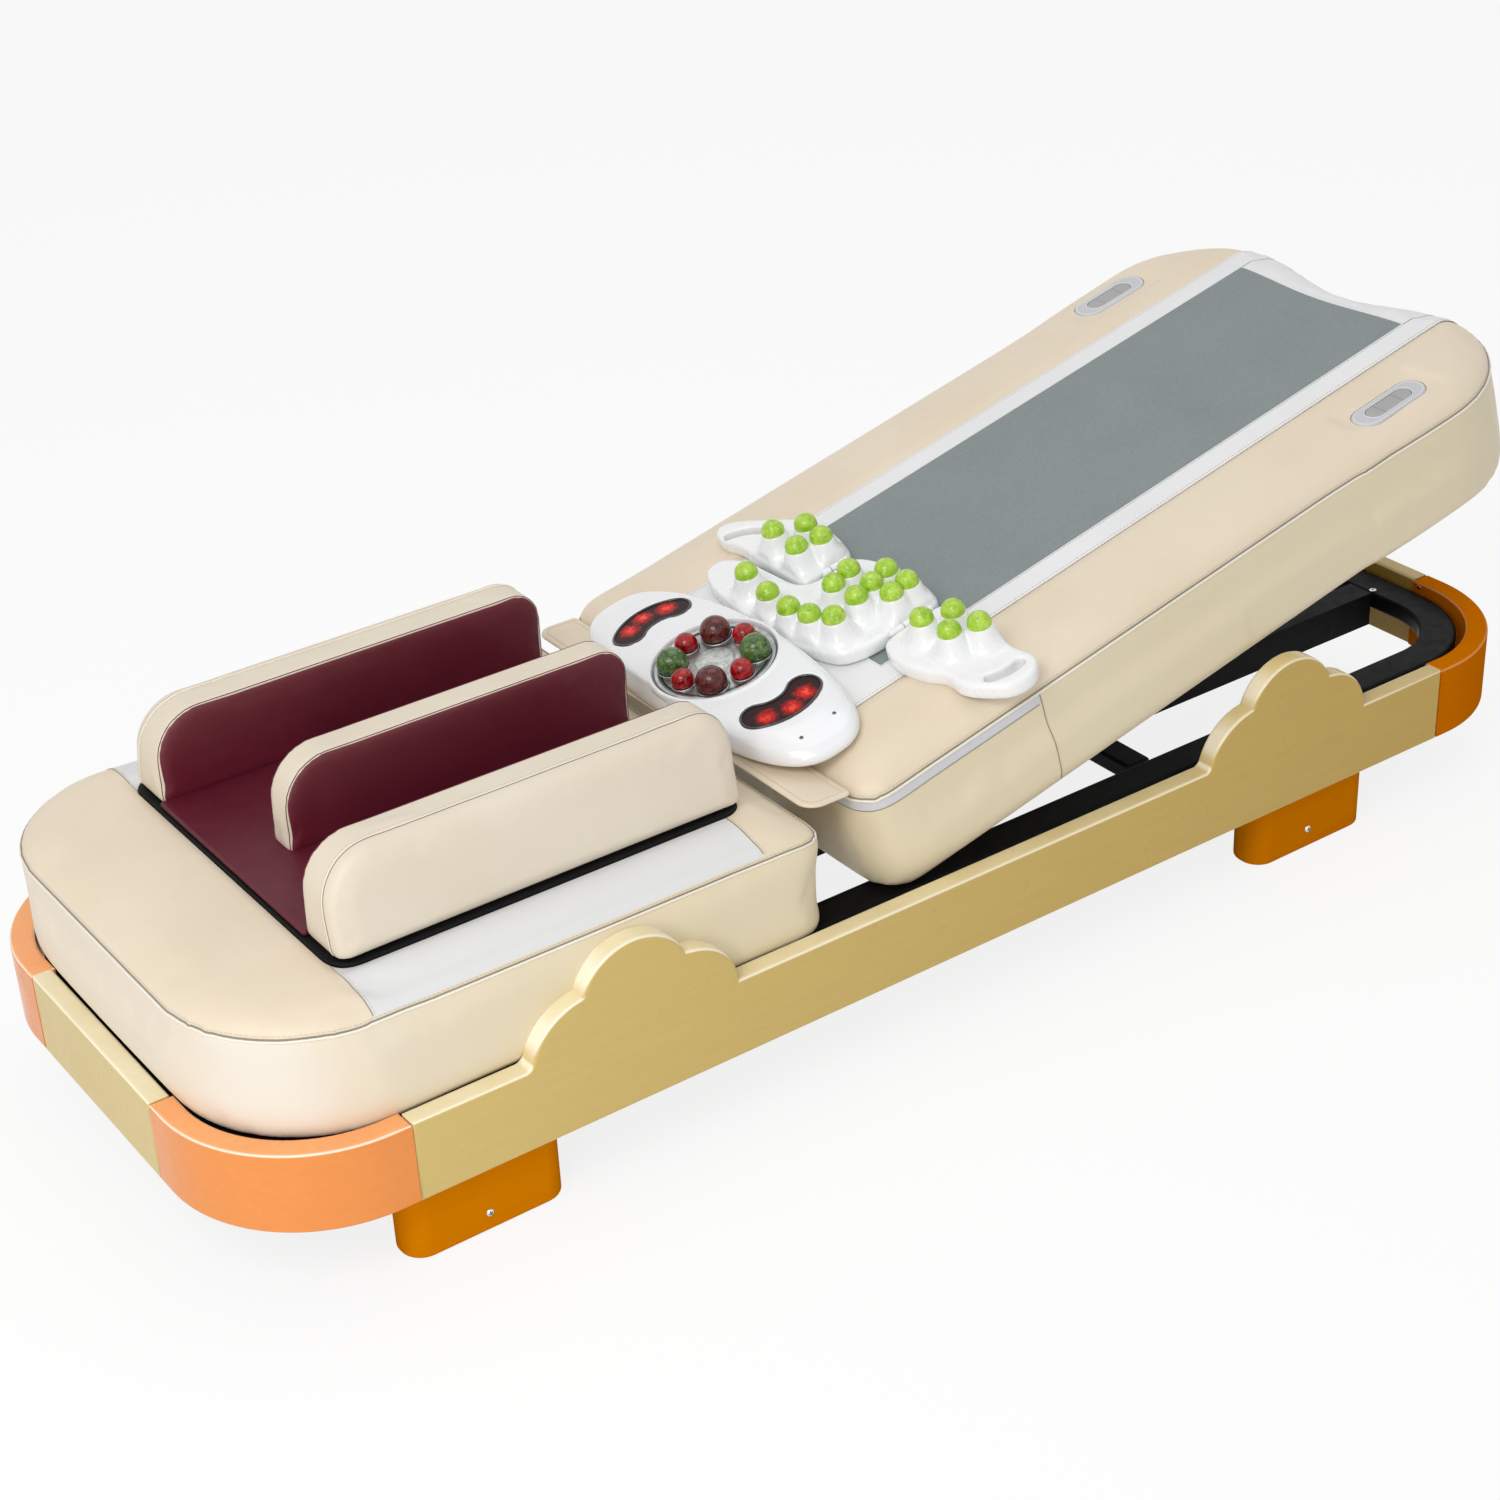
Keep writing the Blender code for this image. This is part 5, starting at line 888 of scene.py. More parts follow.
def evaluated_bm(piece):
    source = piece.evaluated_get(bpy.context.evaluated_depsgraph_get())
    bm = bmesh.new()
    bm.from_mesh(source.to_mesh())
    source.to_mesh_clear()
    return bm


def add_modifier(piece, kind, settings):
    modifier = piece.modifiers.new(kind.lower(), kind)
    for key, value in settings.items():
        setattr(modifier, key, value)
    return modifier


def reshaped(bm, kind, settings):
    """The mesh that one modifier makes of another."""
    holder = linked("working", mesh_of(bm))
    add_modifier(holder, kind, settings)
    out = evaluated_bm(holder)
    removed(holder)
    return out


def cut(bm, cutter):
    """One closed shape with another taken out of it."""
    tool = linked("cutter", mesh_of(cutter))
    settings = {"object": tool, "operation": "DIFFERENCE", "solver": "EXACT"}
    out = reshaped(bm, "BOOLEAN", settings)
    removed(tool)
    return out


def new_points(bm, points):
    return [bm.verts.new(p) for p in points]


def closed_loop(bm, points):
    corners = new_points(bm, points)
    return [bm.edges.new((a, b)) for a, b in zip(corners, corners[1:] + corners[:1])]


def plate(outline, low, high, rim=0.0, steps=4, turn=None, hole=None):
    """A flat outline raised from low to high, with its rims rounded."""
    bm = bmesh.new()
    edges = closed_loop(bm, [(u, v, low) for u, v in outline])
    if hole:
        edges += closed_loop(bm, [(u, v, low) for u, v in hole])
        bmesh.ops.triangle_fill(bm, edges=edges, use_beauty=True)
        bmesh.ops.dissolve_limit(bm, angle_limit=radians(1), verts=bm.verts[:], edges=bm.edges[:])
    else:
        bmesh.ops.contextual_create(bm, geom=bm.verts[:] + edges)
    raised = bmesh.ops.extrude_face_region(bm, geom=bm.faces[:])["geom"]
    top = [item for item in raised if isinstance(item, bmesh.types.BMVert)]
    bmesh.ops.translate(bm, vec=(0, 0, high - low), verts=top)
    bmesh.ops.recalc_face_normals(bm, faces=bm.faces)
    if rim:
        round_rims(bm, rim, steps, low, high)
    if turn is not None:
        bmesh.ops.transform(bm, matrix=turn, verts=bm.verts)
        bmesh.ops.recalc_face_normals(bm, faces=bm.faces)
    return bm


def round_rims(bm, rim, steps, low, high):
    """Round the sharp edges that lie in the two flat faces of a plate."""
    def in_face(edge):
        a, b = (vert.co.z for vert in edge.verts)
        return abs(a - b) < 1e-6 and min(abs(a - low), abs(a - high)) < 1e-6

    rims = [e for e in bm.edges if in_face(e) and e.calc_face_angle(0.0) > radians(50)]
    bmesh.ops.bevel(
        bm, geom=rims, offset=rim, offset_type="OFFSET", segments=steps, profile=0.5,
        affect="EDGES", material=-1, clamp_overlap=False,
    )


def stack(rings):
    """Skin drawn over closed rings of equal counts, one after another, and closed at both ends."""
    bm = bmesh.new()
    loops = [closed_loop(bm, ring) for ring in rings]
    for low, high in zip(loops, loops[1:]):
        bmesh.ops.bridge_loops(bm, edges=low + high)
    for loop in (loops[0], loops[-1]):
        bmesh.ops.contextual_create(bm, geom=loop)
    bmesh.ops.recalc_face_normals(bm, faces=bm.faces)
    return bm


def turned(profile, steps=48, place=None):
    """A profile of (radius, height) spun round the upright axis."""
    bm = bmesh.new()
    points = new_points(bm, [(r, 0.0, h) for r, h in profile])
    edges = [bm.edges.new(pair) for pair in zip(points, points[1:])]
    bmesh.ops.spin(
        bm, geom=points + edges, cent=(0, 0, 0), axis=(0, 0, 1), angle=2 * pi, steps=steps,
        use_merge=True,
    )
    bmesh.ops.remove_doubles(bm, verts=bm.verts, dist=1e-6)
    bmesh.ops.recalc_face_normals(bm, faces=bm.faces)
    if place is not None:
        bmesh.ops.transform(bm, matrix=place, verts=bm.verts)
    return bm


def joined(*parts):
    """Several loose shapes kept in one mesh."""
    whole = bmesh.new()
    for part in parts:
        mesh = mesh_of(part)
        whole.from_mesh(mesh)
        bpy.data.meshes.remove(mesh)
    return whole


def balls(places, radius, rows):
    bm = bmesh.new()
    for place in places:
        bmesh.ops.create_uvsphere(
            bm, u_segments=rows + 8, v_segments=rows, radius=radius,
            matrix=Matrix.Translation(place),
        )
    return bm


def tubes(paths, radius, closed, sides):
    """Round cords along some paths, made by a curve and kept as one mesh."""
    curve = bpy.data.curves.new("cord", "CURVE")
    curve.dimensions = "3D"
    curve.bevel_depth = radius
    curve.bevel_resolution = sides
    curve.use_fill_caps = True
    for path in paths:
        spline = curve.splines.new("POLY")
        spline.points.add(len(path) - 1)
        spline.use_cyclic_u = closed
        for point, co in zip(spline.points, path):
            point.co = (*co, 1.0)
    source = linked("cord", curve)
    bm = evaluated_bm(source)
    bmesh.ops.remove_doubles(bm, verts=bm.verts, dist=1e-7)
    bpy.data.objects.remove(source, do_unlink=True)
    return bm


def stitch_paths(path, closed=True):
    """Short dashes along a path, as a lockstitch shows them."""
    points = spaced(path, (STITCH_LENGTH + STITCH_GAP) / 3, closed)
    return [points[k:k + 3] for k in range(0, len(points) - 2, 3)]


# Where the pieces of each body are drawn; the others' are drawn in the bed's own axes
PLACES = {
    "back": BACK, "flap": FLAP, "oval_massager": OVAL, "massage_disc": OVAL,
    "belt_near": BELT, "belt_middle": BELT, "belt_far": BELT,
}


def show(name, bm, finish, body, stands_for=(), place=None, crease=40, live=()):
    """A finished piece: its place in its mesh, its finish on it, riding on its body."""
    place = PLACES.get(body, BED) if place is None else place
    bmesh.ops.transform(bm, matrix=place, verts=bm.verts)
    mesh = mesh_of(bm, name)
    mesh.materials.append(finish.material)
    mesh.shade_smooth()
    mesh.set_sharp_from_angle(angle=radians(crease))
    piece = linked(name, mesh)
    for kind, settings in live:
        add_modifier(piece, kind, settings)
    if crease < 180:
        add_modifier(piece, "WEIGHTED_NORMAL", {"keep_sharp": True})
    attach(piece, body)
    if stands_for:
        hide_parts(*stands_for)
    return piece


def cord(name, paths, radius, finish, body, closed=False, sides=2, place=None):
    show(name, tubes(paths, radius, closed, sides), finish, body, place=place, crease=60)


def smoothed(bm, rounds):
    for _ in range(rounds):
        bmesh.ops.smooth_vert(
            bm, verts=bm.verts, factor=0.5, use_axis_x=True, use_axis_y=True, use_axis_z=True
        )
    return bm


def melted(bm, voxel, rounds):
    """Overlapping closed shapes run together as in one mould, their creases softened."""
    settings = {"mode": "VOXEL", "voxel_size": voxel, "adaptivity": 0.0}
    return smoothed(reshaped(bm, "REMESH", settings), rounds)


def inflated(bm, cap, held):
    """The pad blown up as cloth, no point of it moved further than the cap."""
    start = [v.co.copy() for v in bm.verts]
    mesh = bpy.data.meshes.new("pad")
    bm.to_mesh(mesh)
    pad = linked("pad", mesh)
    pinned = pad.vertex_groups.new(name="held")
    for index, co in enumerate(start):
        pinned.add([index], held(co), "REPLACE")
    cloth = pad.modifiers.new("fill", "CLOTH")
    cloth.settings.quality = 5
    cloth.settings.mass = 0.3
    cloth.settings.use_pressure = True
    cloth.settings.uniform_pressure_force = PAD_PRESSURE
    cloth.settings.vertex_group_mass = "held"
    cloth.settings.effector_weights.gravity = 0.0
    cloth.collision_settings.use_collision = False
    scene = bpy.context.scene
    for step in range(1, PAD_STEPS + 1):
        scene.frame_set(step)
    full = evaluated_bm(pad)
    full.verts.ensure_lookup_table()
    bm.verts.ensure_lookup_table()
    for index, co in enumerate(start):
        move = full.verts[index].co - co
        if move.length > cap:
            move *= cap / move.length
        bm.verts[index].co = co + move
    full.free()
    scene.frame_set(1)
    removed(pad)
    return smoothed(bm, 2)


def plumped(bm, voxel, cap, limit, held, rounds):
    """A pad filled until its cover is taut: remeshed, blown up, and kept off its neighbours."""
    bm = melted(bm, voxel, rounds)
    start = [v.co.copy() for v in bm.verts]
    bm = inflated(bm, cap, held)
    bm.verts.ensure_lookup_table()
    for index, co in enumerate(start):
        bm.verts[index].co = limit(bm.verts[index].co.copy(), co)
    return bm


def surface_of(bm):
    return BVHTree.FromBMesh(bm)


def lie_on(path, surface, lift):
    """The path laid on the nearest part of a surface, and raised off it."""
    out = []
    for point in path:
        place, normal, _, _ = surface.find_nearest(Vector(point))
        out.append(place + normal * lift)
    return out


def fitted(surface, u, v):
    """Height of the surface straight under a point, in the surface's own frame."""
    place, _, _, _ = surface.ray_cast(Vector((u, v, ABOVE_ALL)), Vector((0, 0, -1)))
    return place.z if place else None


# Skirt, feet and steel ring

def lacquered(node, bm, finish):
    show(node + "_lacquered", bm, finish, "base", [node])


def rail_outline():
    reach = JOINT_X - JOINT_GAP
    top = [(-reach, SKIRT_HEIGHT)]
    for start in CLOUD_STARTS:
        for shares, steps in zip(CLOUD_ARCS, CLOUD_STEPS):
            corners = [
                (start + u * CLOUD_WIDTH, SKIRT_HEIGHT + v * CLOUD_HEIGHT) for u, v in shares
            ]
            top += arc_through(*corners, steps)
        top.append((start + CLOUD_WIDTH, SKIRT_HEIGHT))
    top.append((reach, SKIRT_HEIGHT))
    return [(reach, 0.0), (-reach, 0.0)] + top


def corner_outline(end, side):
    x, y = HALF_LENGTH - CORNER_RADIUS, HALF_WIDTH - CORNER_RADIUS
    outer = arc((x, y), CORNER_RADIUS, 0.0, pi / 2, 28)
    inner = arc((x, y), CORNER_RADIUS - CORNER_THICK, pi / 2, 0.0, 28)
    outline = [(HALF_LENGTH, JOINT_Y)] + outer + [(JOINT_X, HALF_WIDTH)]
    outline += [(JOINT_X, HALF_WIDTH - CORNER_THICK)] + inner
    outline += [(HALF_LENGTH - CORNER_THICK, JOINT_Y)]
    return [(end * u, side * v) for u, v in outline]


def make_skirt():
    for name, side in SIDES:
        faces = sorted((side * HALF_WIDTH, side * (HALF_WIDTH - RAIL_THICK)))
        rail = plate(rail_outline(), *faces, SKIRT_EDGE, 5, UPRIGHT)
        lacquered("side_rail_" + name, rail, lacquer_tan)
    reach = JOINT_Y - JOINT_GAP
    for end_name, end in ENDS:
        faces = sorted((end * HALF_LENGTH, end * (HALF_LENGTH - RAIL_THICK)))
        outline = box_outline(-reach, reach, 0.0, SKIRT_HEIGHT)
        panel = plate(outline, *faces, SKIRT_EDGE, 5, CROSSWISE)
        lacquered("end_panel_" + end_name, panel, lacquer_tan)
        for side_name, side in SIDES:
            corner = plate(corner_outline(end, side), 0.0, SKIRT_HEIGHT, SKIRT_EDGE, 5)
            # The head corners take the shaded copy of the orange lacquer: painted shade
            finish = lacquer_orange_shaded if end_name == "head" else lacquer_orange
            lacquered(f"corner_{end_name}_{side_name}", corner, finish)


def facing(x, y, z, direction):
    """A place at a point whose own z looks along a direction."""
    turn = Vector(direction).to_track_quat("Z", "Y").to_matrix().to_4x4()
    return Matrix.Translation((x, y, z)) @ turn


def screw_set(name, spots, finish, radius, body="base", place=BED):
    """Screw heads and their dark crosses, one mesh for the heads and one for the crosses."""
    profile = [(u * radius, v * radius) for u, v in SCREW_PROFILE]
    length, width = SCREW_CROSS[0] * radius, SCREW_CROSS[1] * radius
    bar = box_outline(-length, length, -width, width)
    heads, crosses = [], []
    for spot in spots:
        heads.append(turned(profile, 24, spot))
        for turn in (SCREW_TURN, SCREW_TURN + pi / 2):
            cross = spot @ Matrix.Rotation(turn, 4, "Z")
            crosses.append(plate(bar, 0.30 * radius, 0.475 * radius, turn=cross))
    show(name, joined(*heads), finish, body, place=place)
    show(name + "_crosses", joined(*crosses), paint_black, body, place=place)


def foot_block(middle, length, outer, depth, side, radius, steps=12):
    across = sorted((side * outer, side * (outer - depth)))
    return rounded_box(middle - length / 2, middle + length / 2, *across, [radius] * 4, steps)


def make_feet():
    spots = []
    for (end_name, _), middle, screw in zip(ENDS, FOOT_PLACES, FOOT_SCREWS):
        for side_name, side in SIDES:
            outline = foot_block(middle, FOOT_LENGTH, FOOT_OUTER, FOOT_DEPTH, side, FOOT_RADIUS)
            block = plate(outline, -FOOT_HEIGHT, -JOINT_GAP, 0.004, 5)
            outline = foot_block(
                middle, TONGUE_LENGTH, FRAME_Y - JOINT_GAP, TONGUE_DEPTH, side, 0.004, 4
            )
            tongue = plate(outline, -TONGUE_LAP, TUBE_BASE - JOINT_GAP, 0.002, 3)
            lacquered(f"foot_{end_name}_{side_name}", joined(block, tongue), lacquer_foot)
            spots.append(facing(screw[0], side * FOOT_OUTER, screw[1], (0, side, 0)))
    screw_set("foot_screws", spots, screw_silver, 0.0052)


def make_ring():
    """The black steel ring inside the skirt, one bent tube welded shut."""
    outer = rounded_box(-FRAME_X, FRAME_X, -FRAME_Y, FRAME_Y, [FRAME_RADIUS] * 4, 20)
    x, y = FRAME_X - TUBE_WIDTH, FRAME_Y - TUBE_WIDTH
    inner = rounded_box(-x, x, -y, y, [FRAME_RADIUS - TUBE_WIDTH] * 4, 20)
    ring = plate(outer, TUBE_BASE, TUBE_TOP, 0.0055, 4, hole=inner)
    names = ["frame_tube_" + n for n in ("near", "far", "foot", "head")]
    names += [f"frame_bend_{e}_{s}" for e in ("foot", "head") for s in ("near", "far")]
    show("steel_ring", ring, paint_black, "base", names)
    # Low heads, because the back comes down close over the ring
    low = Matrix.Diagonal((1.0, 1.0, 0.2, 1.0))
    x, y = RING_SCREW
    spots = [facing(x, side * y, TUBE_TOP - 0.0002, (0, 0, 1)) @ low for _, side in SIDES]
    screw_set("ring_screws", spots, screw_silver, 0.0055)
    spots = []
    for _, side in SIDES:
        x, y, z = END_SCREW
        spots.append(facing(x, side * y, z, (-1, 0, 0)))
        x, y, z = CORNER_SCREW
        spots.append(facing(x, side * y, z, (0, -side, 0)))
    screw_set("corner_screws", spots, screw_copper, 0.0046)


# Foot mattress

def mattress_outline(inset, end_inset=None, steps=16, flare=0.0):
    """The cushion's outline, drawn in by an inset and spread where it leans out over the skirt."""
    foot_r = max(MATTRESS_FOOT_RADIUS - inset, 0.002)
    end_r = max(MATTRESS_END_RADIUS - inset, 0.002)
    end_x = MATTRESS_END_X - (inset if end_inset is None else end_inset)
    foot_x = MATTRESS_FOOT_X + inset - MATTRESS_FLARE[0] * flare
    half = MATTRESS_HALF - inset + MATTRESS_FLARE[1] * flare
    return rounded_box(foot_x, end_x, -half, half, (foot_r, end_r, end_r, foot_r), steps)


def side_levels(base, seam):
    """Insets and heights of a cushion's side, drawn in a little at its middle and foot."""
    return (
        (0.003, base), (0.0005, base + 0.005), (0.0, base + 0.0135), (0.0, base + 0.0165),
        (0.0010, (base + seam) / 2), (0.0, seam - 0.012), (0.0015, seam - 0.0015),
        (0.0, seam + 0.0015),
    )


def mattress_rings():
    rings = []
    for inset, height in side_levels(MATTRESS_BASE, MATTRESS_SEAM):
        rise = smooth_step(height, SKIRT_HEIGHT, MATTRESS_SEAM - 0.004)
        flare = 0.0 if height < SKIRT_HEIGHT else 0.55 + 0.45 * rise
        rings.append([(u, v, height) for u, v in mattress_outline(inset, flare=flare)])
    for (share, rise), ramp in zip(CROWN_LEVELS, END_RAMP):
        height = MATTRESS_SEAM + rise * (MATTRESS_TOP - MATTRESS_SEAM)
        outline = mattress_outline(share * MATTRESS_REACH, ramp, flare=1.0 - share)
        rings.append([(u, v, height) for u, v in outline])
    return rings


def trim_rim(name, body, outline, height, surface, drop, radius):
    """Folded seam round a cushion's rim, with piping under it and stitches over it."""
    seam = spaced([(u, v, height) for u, v in outline], SEAM_STEP)
    seam = lie_on(seam, surface, 0.0002)
    cord(name + "_seam", [seam], 0.0009, seam_shadow, body, closed=True)
    piping = lie_on([p - Vector((0, 0, drop)) for p in seam], surface, 0.0004)
    cord(name + "_piping", [piping], radius, piping_pale, body, closed=True, sides=3)
    line = lie_on([p + Vector((0, 0, STITCH_RISE)) for p in seam], surface, 0.0001)
    cord(name + "_stitches", stitch_paths(line), 0.00032, sewing, body, sides=1)


def stripe_paths(surface, shift):
    """The lines across the mattress at the stripe's two edges, beside the tray."""
    paths = []
    for x, beside_tray in ((STRIPE_FOOT_X, LEG_HALF - 0.017), (STRIPE_HEAD_X, LEG_HALF + 0.0058)):
        for _, side in SIDES:
            path = [(x + shift, side * y) for y in span(beside_tray, MATTRESS_HALF + 0.002, 0.004)]
            path = [Vector((u, v, fitted(surface, u, v) + 0.0001)) for u, v in path]
            paths.append([p for p in path if p.z > MATTRESS_SEAM])
    return paths


def make_foot_mattress():
    def held(co):
        under = LEG_FOOT_X - 0.01 < co.x < LEG_KNEE_X + 0.01 and abs(co.y) < LEG_HALF
        return 1.0 if co.z < MATTRESS_BASE + 0.004 or (under and co.z > MATTRESS_SEAM) else 0.0

    def limit(co, start):
        co.x = min(co.x, MATTRESS_END_X + 0.0004)
        co.z = max(co.z, MATTRESS_BASE)
        inside = abs(co.y) < LEG_HALF + 0.004 and LEG_FOOT_X - 0.004 < co.x < LEG_KNEE_X + 0.004
        if inside and start.z > MATTRESS_SEAM:
            co.z = min(co.z, MATTRESS_TOP + 0.0002)
        if start.z < SKIRT_HEIGHT + 0.01:
            co.y = max(-MATTRESS_HALF - 0.004, min(MATTRESS_HALF + 0.004, co.y))
            co.x = max(co.x, MATTRESS_FOOT_X - 0.004)
        if co.x > MATTRESS_END_X - FLAP_LENGTH:
            co.z = min(co.z, start.z + 0.0012)
        return co

    pad = plumped(stack(mattress_rings()), 0.008, 0.0055, limit, held, 5)
    surface = surface_of(pad)
    pad = reshaped(pad, "SUBSURF", {"levels": 1})
    pad = cut(pad, plate(tray_outline(0.0008), TRAY_BASE - 0.0003, TRAY_BASE + 0.04))
    cushion = show("foot_mattress", pad, leather_foot, "base", ["foot_cushion"], crease=50)
    outline = mattress_outline(0.0, steps=24, flare=1.0)
    trim_rim("foot_mattress", "base", outline, MATTRESS_SEAM + 0.001, surface, 0.0028, 0.0016)
    cord("stripe_seam_folds", stripe_paths(surface, 0.0), 0.0007, seam_shadow, "base", sides=1)
    dashes = [
        dash for path in stripe_paths(surface, STRIPE_STITCHES_IN)
        for dash in stitch_paths(path, closed=False)
    ]
    cord("stripe_stitches", dashes, 0.0004, sewing, "base", sides=1)


# Raised back

def back_half_width(s):
    spread = smooth_step(s, BACK_WAIST_S, BACK_SHOULDER_S)
    return BACK_HALF + (BACK_HEAD_HALF - BACK_HALF) * spread


def dip(y, half):
    """1 at the middle of an edge that dips there, falling to 0 at its ends."""
    return (1 + cos(pi * y / half)) / 2


def head_edge(y, inset=0.0):
    """How far along the slope the head edge lies, at a distance from the middle."""
    head_y = BACK_HEAD_HALF - BACK_HEAD_RADIUS
    return BACK_HEAD_S - inset - BACK_DIP * dip(min(abs(y), head_y), head_y)


def back_outline(inset):
    foot_s, head_s = BACK_FOOT_S + inset, BACK_HEAD_S - inset
    foot_r = max(BACK_FOOT_RADIUS - inset, 0.002)
    head_r = max(BACK_HEAD_RADIUS - inset, 0.002)
    head_y = BACK_HEAD_HALF - inset - head_r
    half = [(head_edge(y, inset), y) for y in (head_y * k / 16 for k in range(17))]
    half += arc((head_s - head_r, head_y), head_r, 0.0, pi / 2, 22)[1:]
    side = [BACK_SHOULDER_S - (BACK_SHOULDER_S - BACK_WAIST_S) * k / 8 for k in range(9)]
    half += [(s, back_half_width(s) - inset) for s in side]
    half += [(BACK_WAIST_S - 0.12 * k, BACK_HALF - inset) for k in range(1, 6)]
    foot_y = BACK_HALF - inset - foot_r
    half += arc((foot_s + foot_r, foot_y), foot_r, pi / 2, pi, 12)
    half.append((foot_s, 0.0))
    return half + [(s, -y) for s, y in half[-2:0:-1]]


def clear_of_frame(s):
    """Lowest the cushion may reach, with the back laid over the steel ring."""
    level = TUBE_TOP + 0.0015 - BACK_SEAM_HEIGHT
    return (level - s * sin(BACK_TILT)) / cos(BACK_TILT)


def well():
    """The trench that the roller carriage runs in."""
    outline = box_outline(WELL_FOOT_S, WELL_HEAD_S, -WELL_HALF, WELL_HALF)
    return plate(outline, BACK_CROWN - WELL_DEPTH, 0.06)


def foot_wedge():
    """What the cushion's lower edge lacks at its foot end, to lie level over the frame."""
    low, foot_s = -BACK_THICK - 0.01, BACK_FOOT_S - 0.01
    high = clear_of_frame(foot_s)
    meeting = foot_s + (high - low) * cos(BACK_TILT) / sin(BACK_TILT)
    return plate([(foot_s, low), (meeting, low), (foot_s, high)], -0.4, 0.4, turn=UPRIGHT)


def make_back_cushion():
    def held(co):
        trench = abs(co.y) < WELL_HALF + 0.016 and 0.01 < co.x < 0.95 and co.z > -0.12
        low = co.z < max(-BACK_THICK, clear_of_frame(co.x)) + 0.006
        return 1.0 if trench or low else 0.0

    def limit(co, start):
        co.x = min(max(co.x, BACK_FOOT_S - 0.0004), BACK_HEAD_S + 0.0015)
        side = back_half_width(start.x) + (0.0028 if start.x > 0.45 else 0.0048)
        co.y = max(-side, min(side, co.y))
        co.z = max(co.z, -BACK_THICK, clear_of_frame(co.x))
        if abs(co.y) < COVER_HALF + 0.01:
            co.z = min(co.z, BACK_CROWN + 0.0002)
        if abs(co.x - PANEL_S) < 0.075 and 0.235 < abs(co.y) < 0.302:
            co.z = min(co.z, BACK_CROWN - 0.0006)
        return co

    levels = [(inset, height) for inset, height in side_levels(-BACK_THICK, 0.0)]
    levels += [(share * BACK_REACH, rise * BACK_CROWN) for share, rise in CROWN_LEVELS]
    body = stack([[(u, v, height) for u, v in back_outline(inset)] for inset, height in levels])
    pad = plumped(cut(cut(body, well()), foot_wedge()), 0.009, 0.0060, limit, held, 5)
    surface = surface_of(pad)
    pad = cut(reshaped(pad, "SUBSURF", {"levels": 1}), well())
    for side in (-1, 1):
        pocket = stadium(PANEL_LENGTH + 0.0008, PANEL_WIDTH + 0.0008, 20)
        pad = cut(pad, plate(moved(pocket, PANEL_S, side * PANEL_Y), 0.0055, 0.05))
    cushion = show("back_upholstery", pad, leather_back, "back", ["back_cushion"], crease=50)
    return surface


def make_back_trim(surface):
    trim_rim("back", "back", back_outline(0.0), 0.0008, surface, 0.0030, 0.0018)
    around = spaced([(u, v, -0.0190) for u, v in back_outline(0.0)], SEAM_STEP)
    fold = from_widest_gap([p for p in around if p.x < SIDE_SEAM_S])
    cord("band_edge_fold", [lie_on(fold, surface, 0.0001)], 0.0006, seam_shadow, "back", sides=1)
    seams = []
    for side in (-1, 1):
        path = [Vector((SIDE_SEAM_S, side * 0.34, t)) for t in span(-0.140, -0.004, 0.005)]
        seams.append(lie_on(path, surface, 0.0002))
    cord("back_side_seams", seams, 0.0007, seam_shadow, "back")


def cover_height(surface, s, y):
    """How high the stretched cover lies: on the cushion, and level across the trench."""
    edge = WELL_HALF + 0.012
    if abs(y) < edge and WELL_FOOT_S - 0.012 < s < WELL_HEAD_S + 0.012:
        low, high = (fitted(surface, s, side * edge) for side in (-1, 1))
        share = (y / edge + 1) / 2
        height = low + (high - low) * share
        ends = (fitted(surface, WELL_FOOT_S - 0.014, y), fitted(surface, WELL_HEAD_S + 0.014, y))
        return max(height, min(ends) if None not in ends else height)
    height = fitted(surface, s, y)
    return 0.0 if height is None else height


def on_cover(surface, places, lift):
    return [Vector((s, y, cover_height(surface, s, y) + lift)) for s, y in places]


def stretched_sheet(surface, foot_s, head_at, half, lift, columns, rows):
    """A thin sheet drawn over the cushion, its head edge following a curve."""
    bm = bmesh.new()
    bmesh.ops.create_grid(bm, x_segments=columns, y_segments=rows, size=0.5)
    for vert in bm.verts:
        y = vert.co.y * 2 * half
        s = foot_s + (head_at(y) - foot_s) * (vert.co.x + 0.5)
        vert.co = Vector((s, y, cover_height(surface, s, y) + lift))
    bmesh.ops.recalc_face_normals(bm, faces=bm.faces)
    if sum(f.normal.z for f in bm.faces) < 0:
        bmesh.ops.reverse_faces(bm, faces=bm.faces)
    return bm


def mesh_head(y):
    return MESH_HEAD_S - MESH_DIP * dip(y, MESH_HALF)


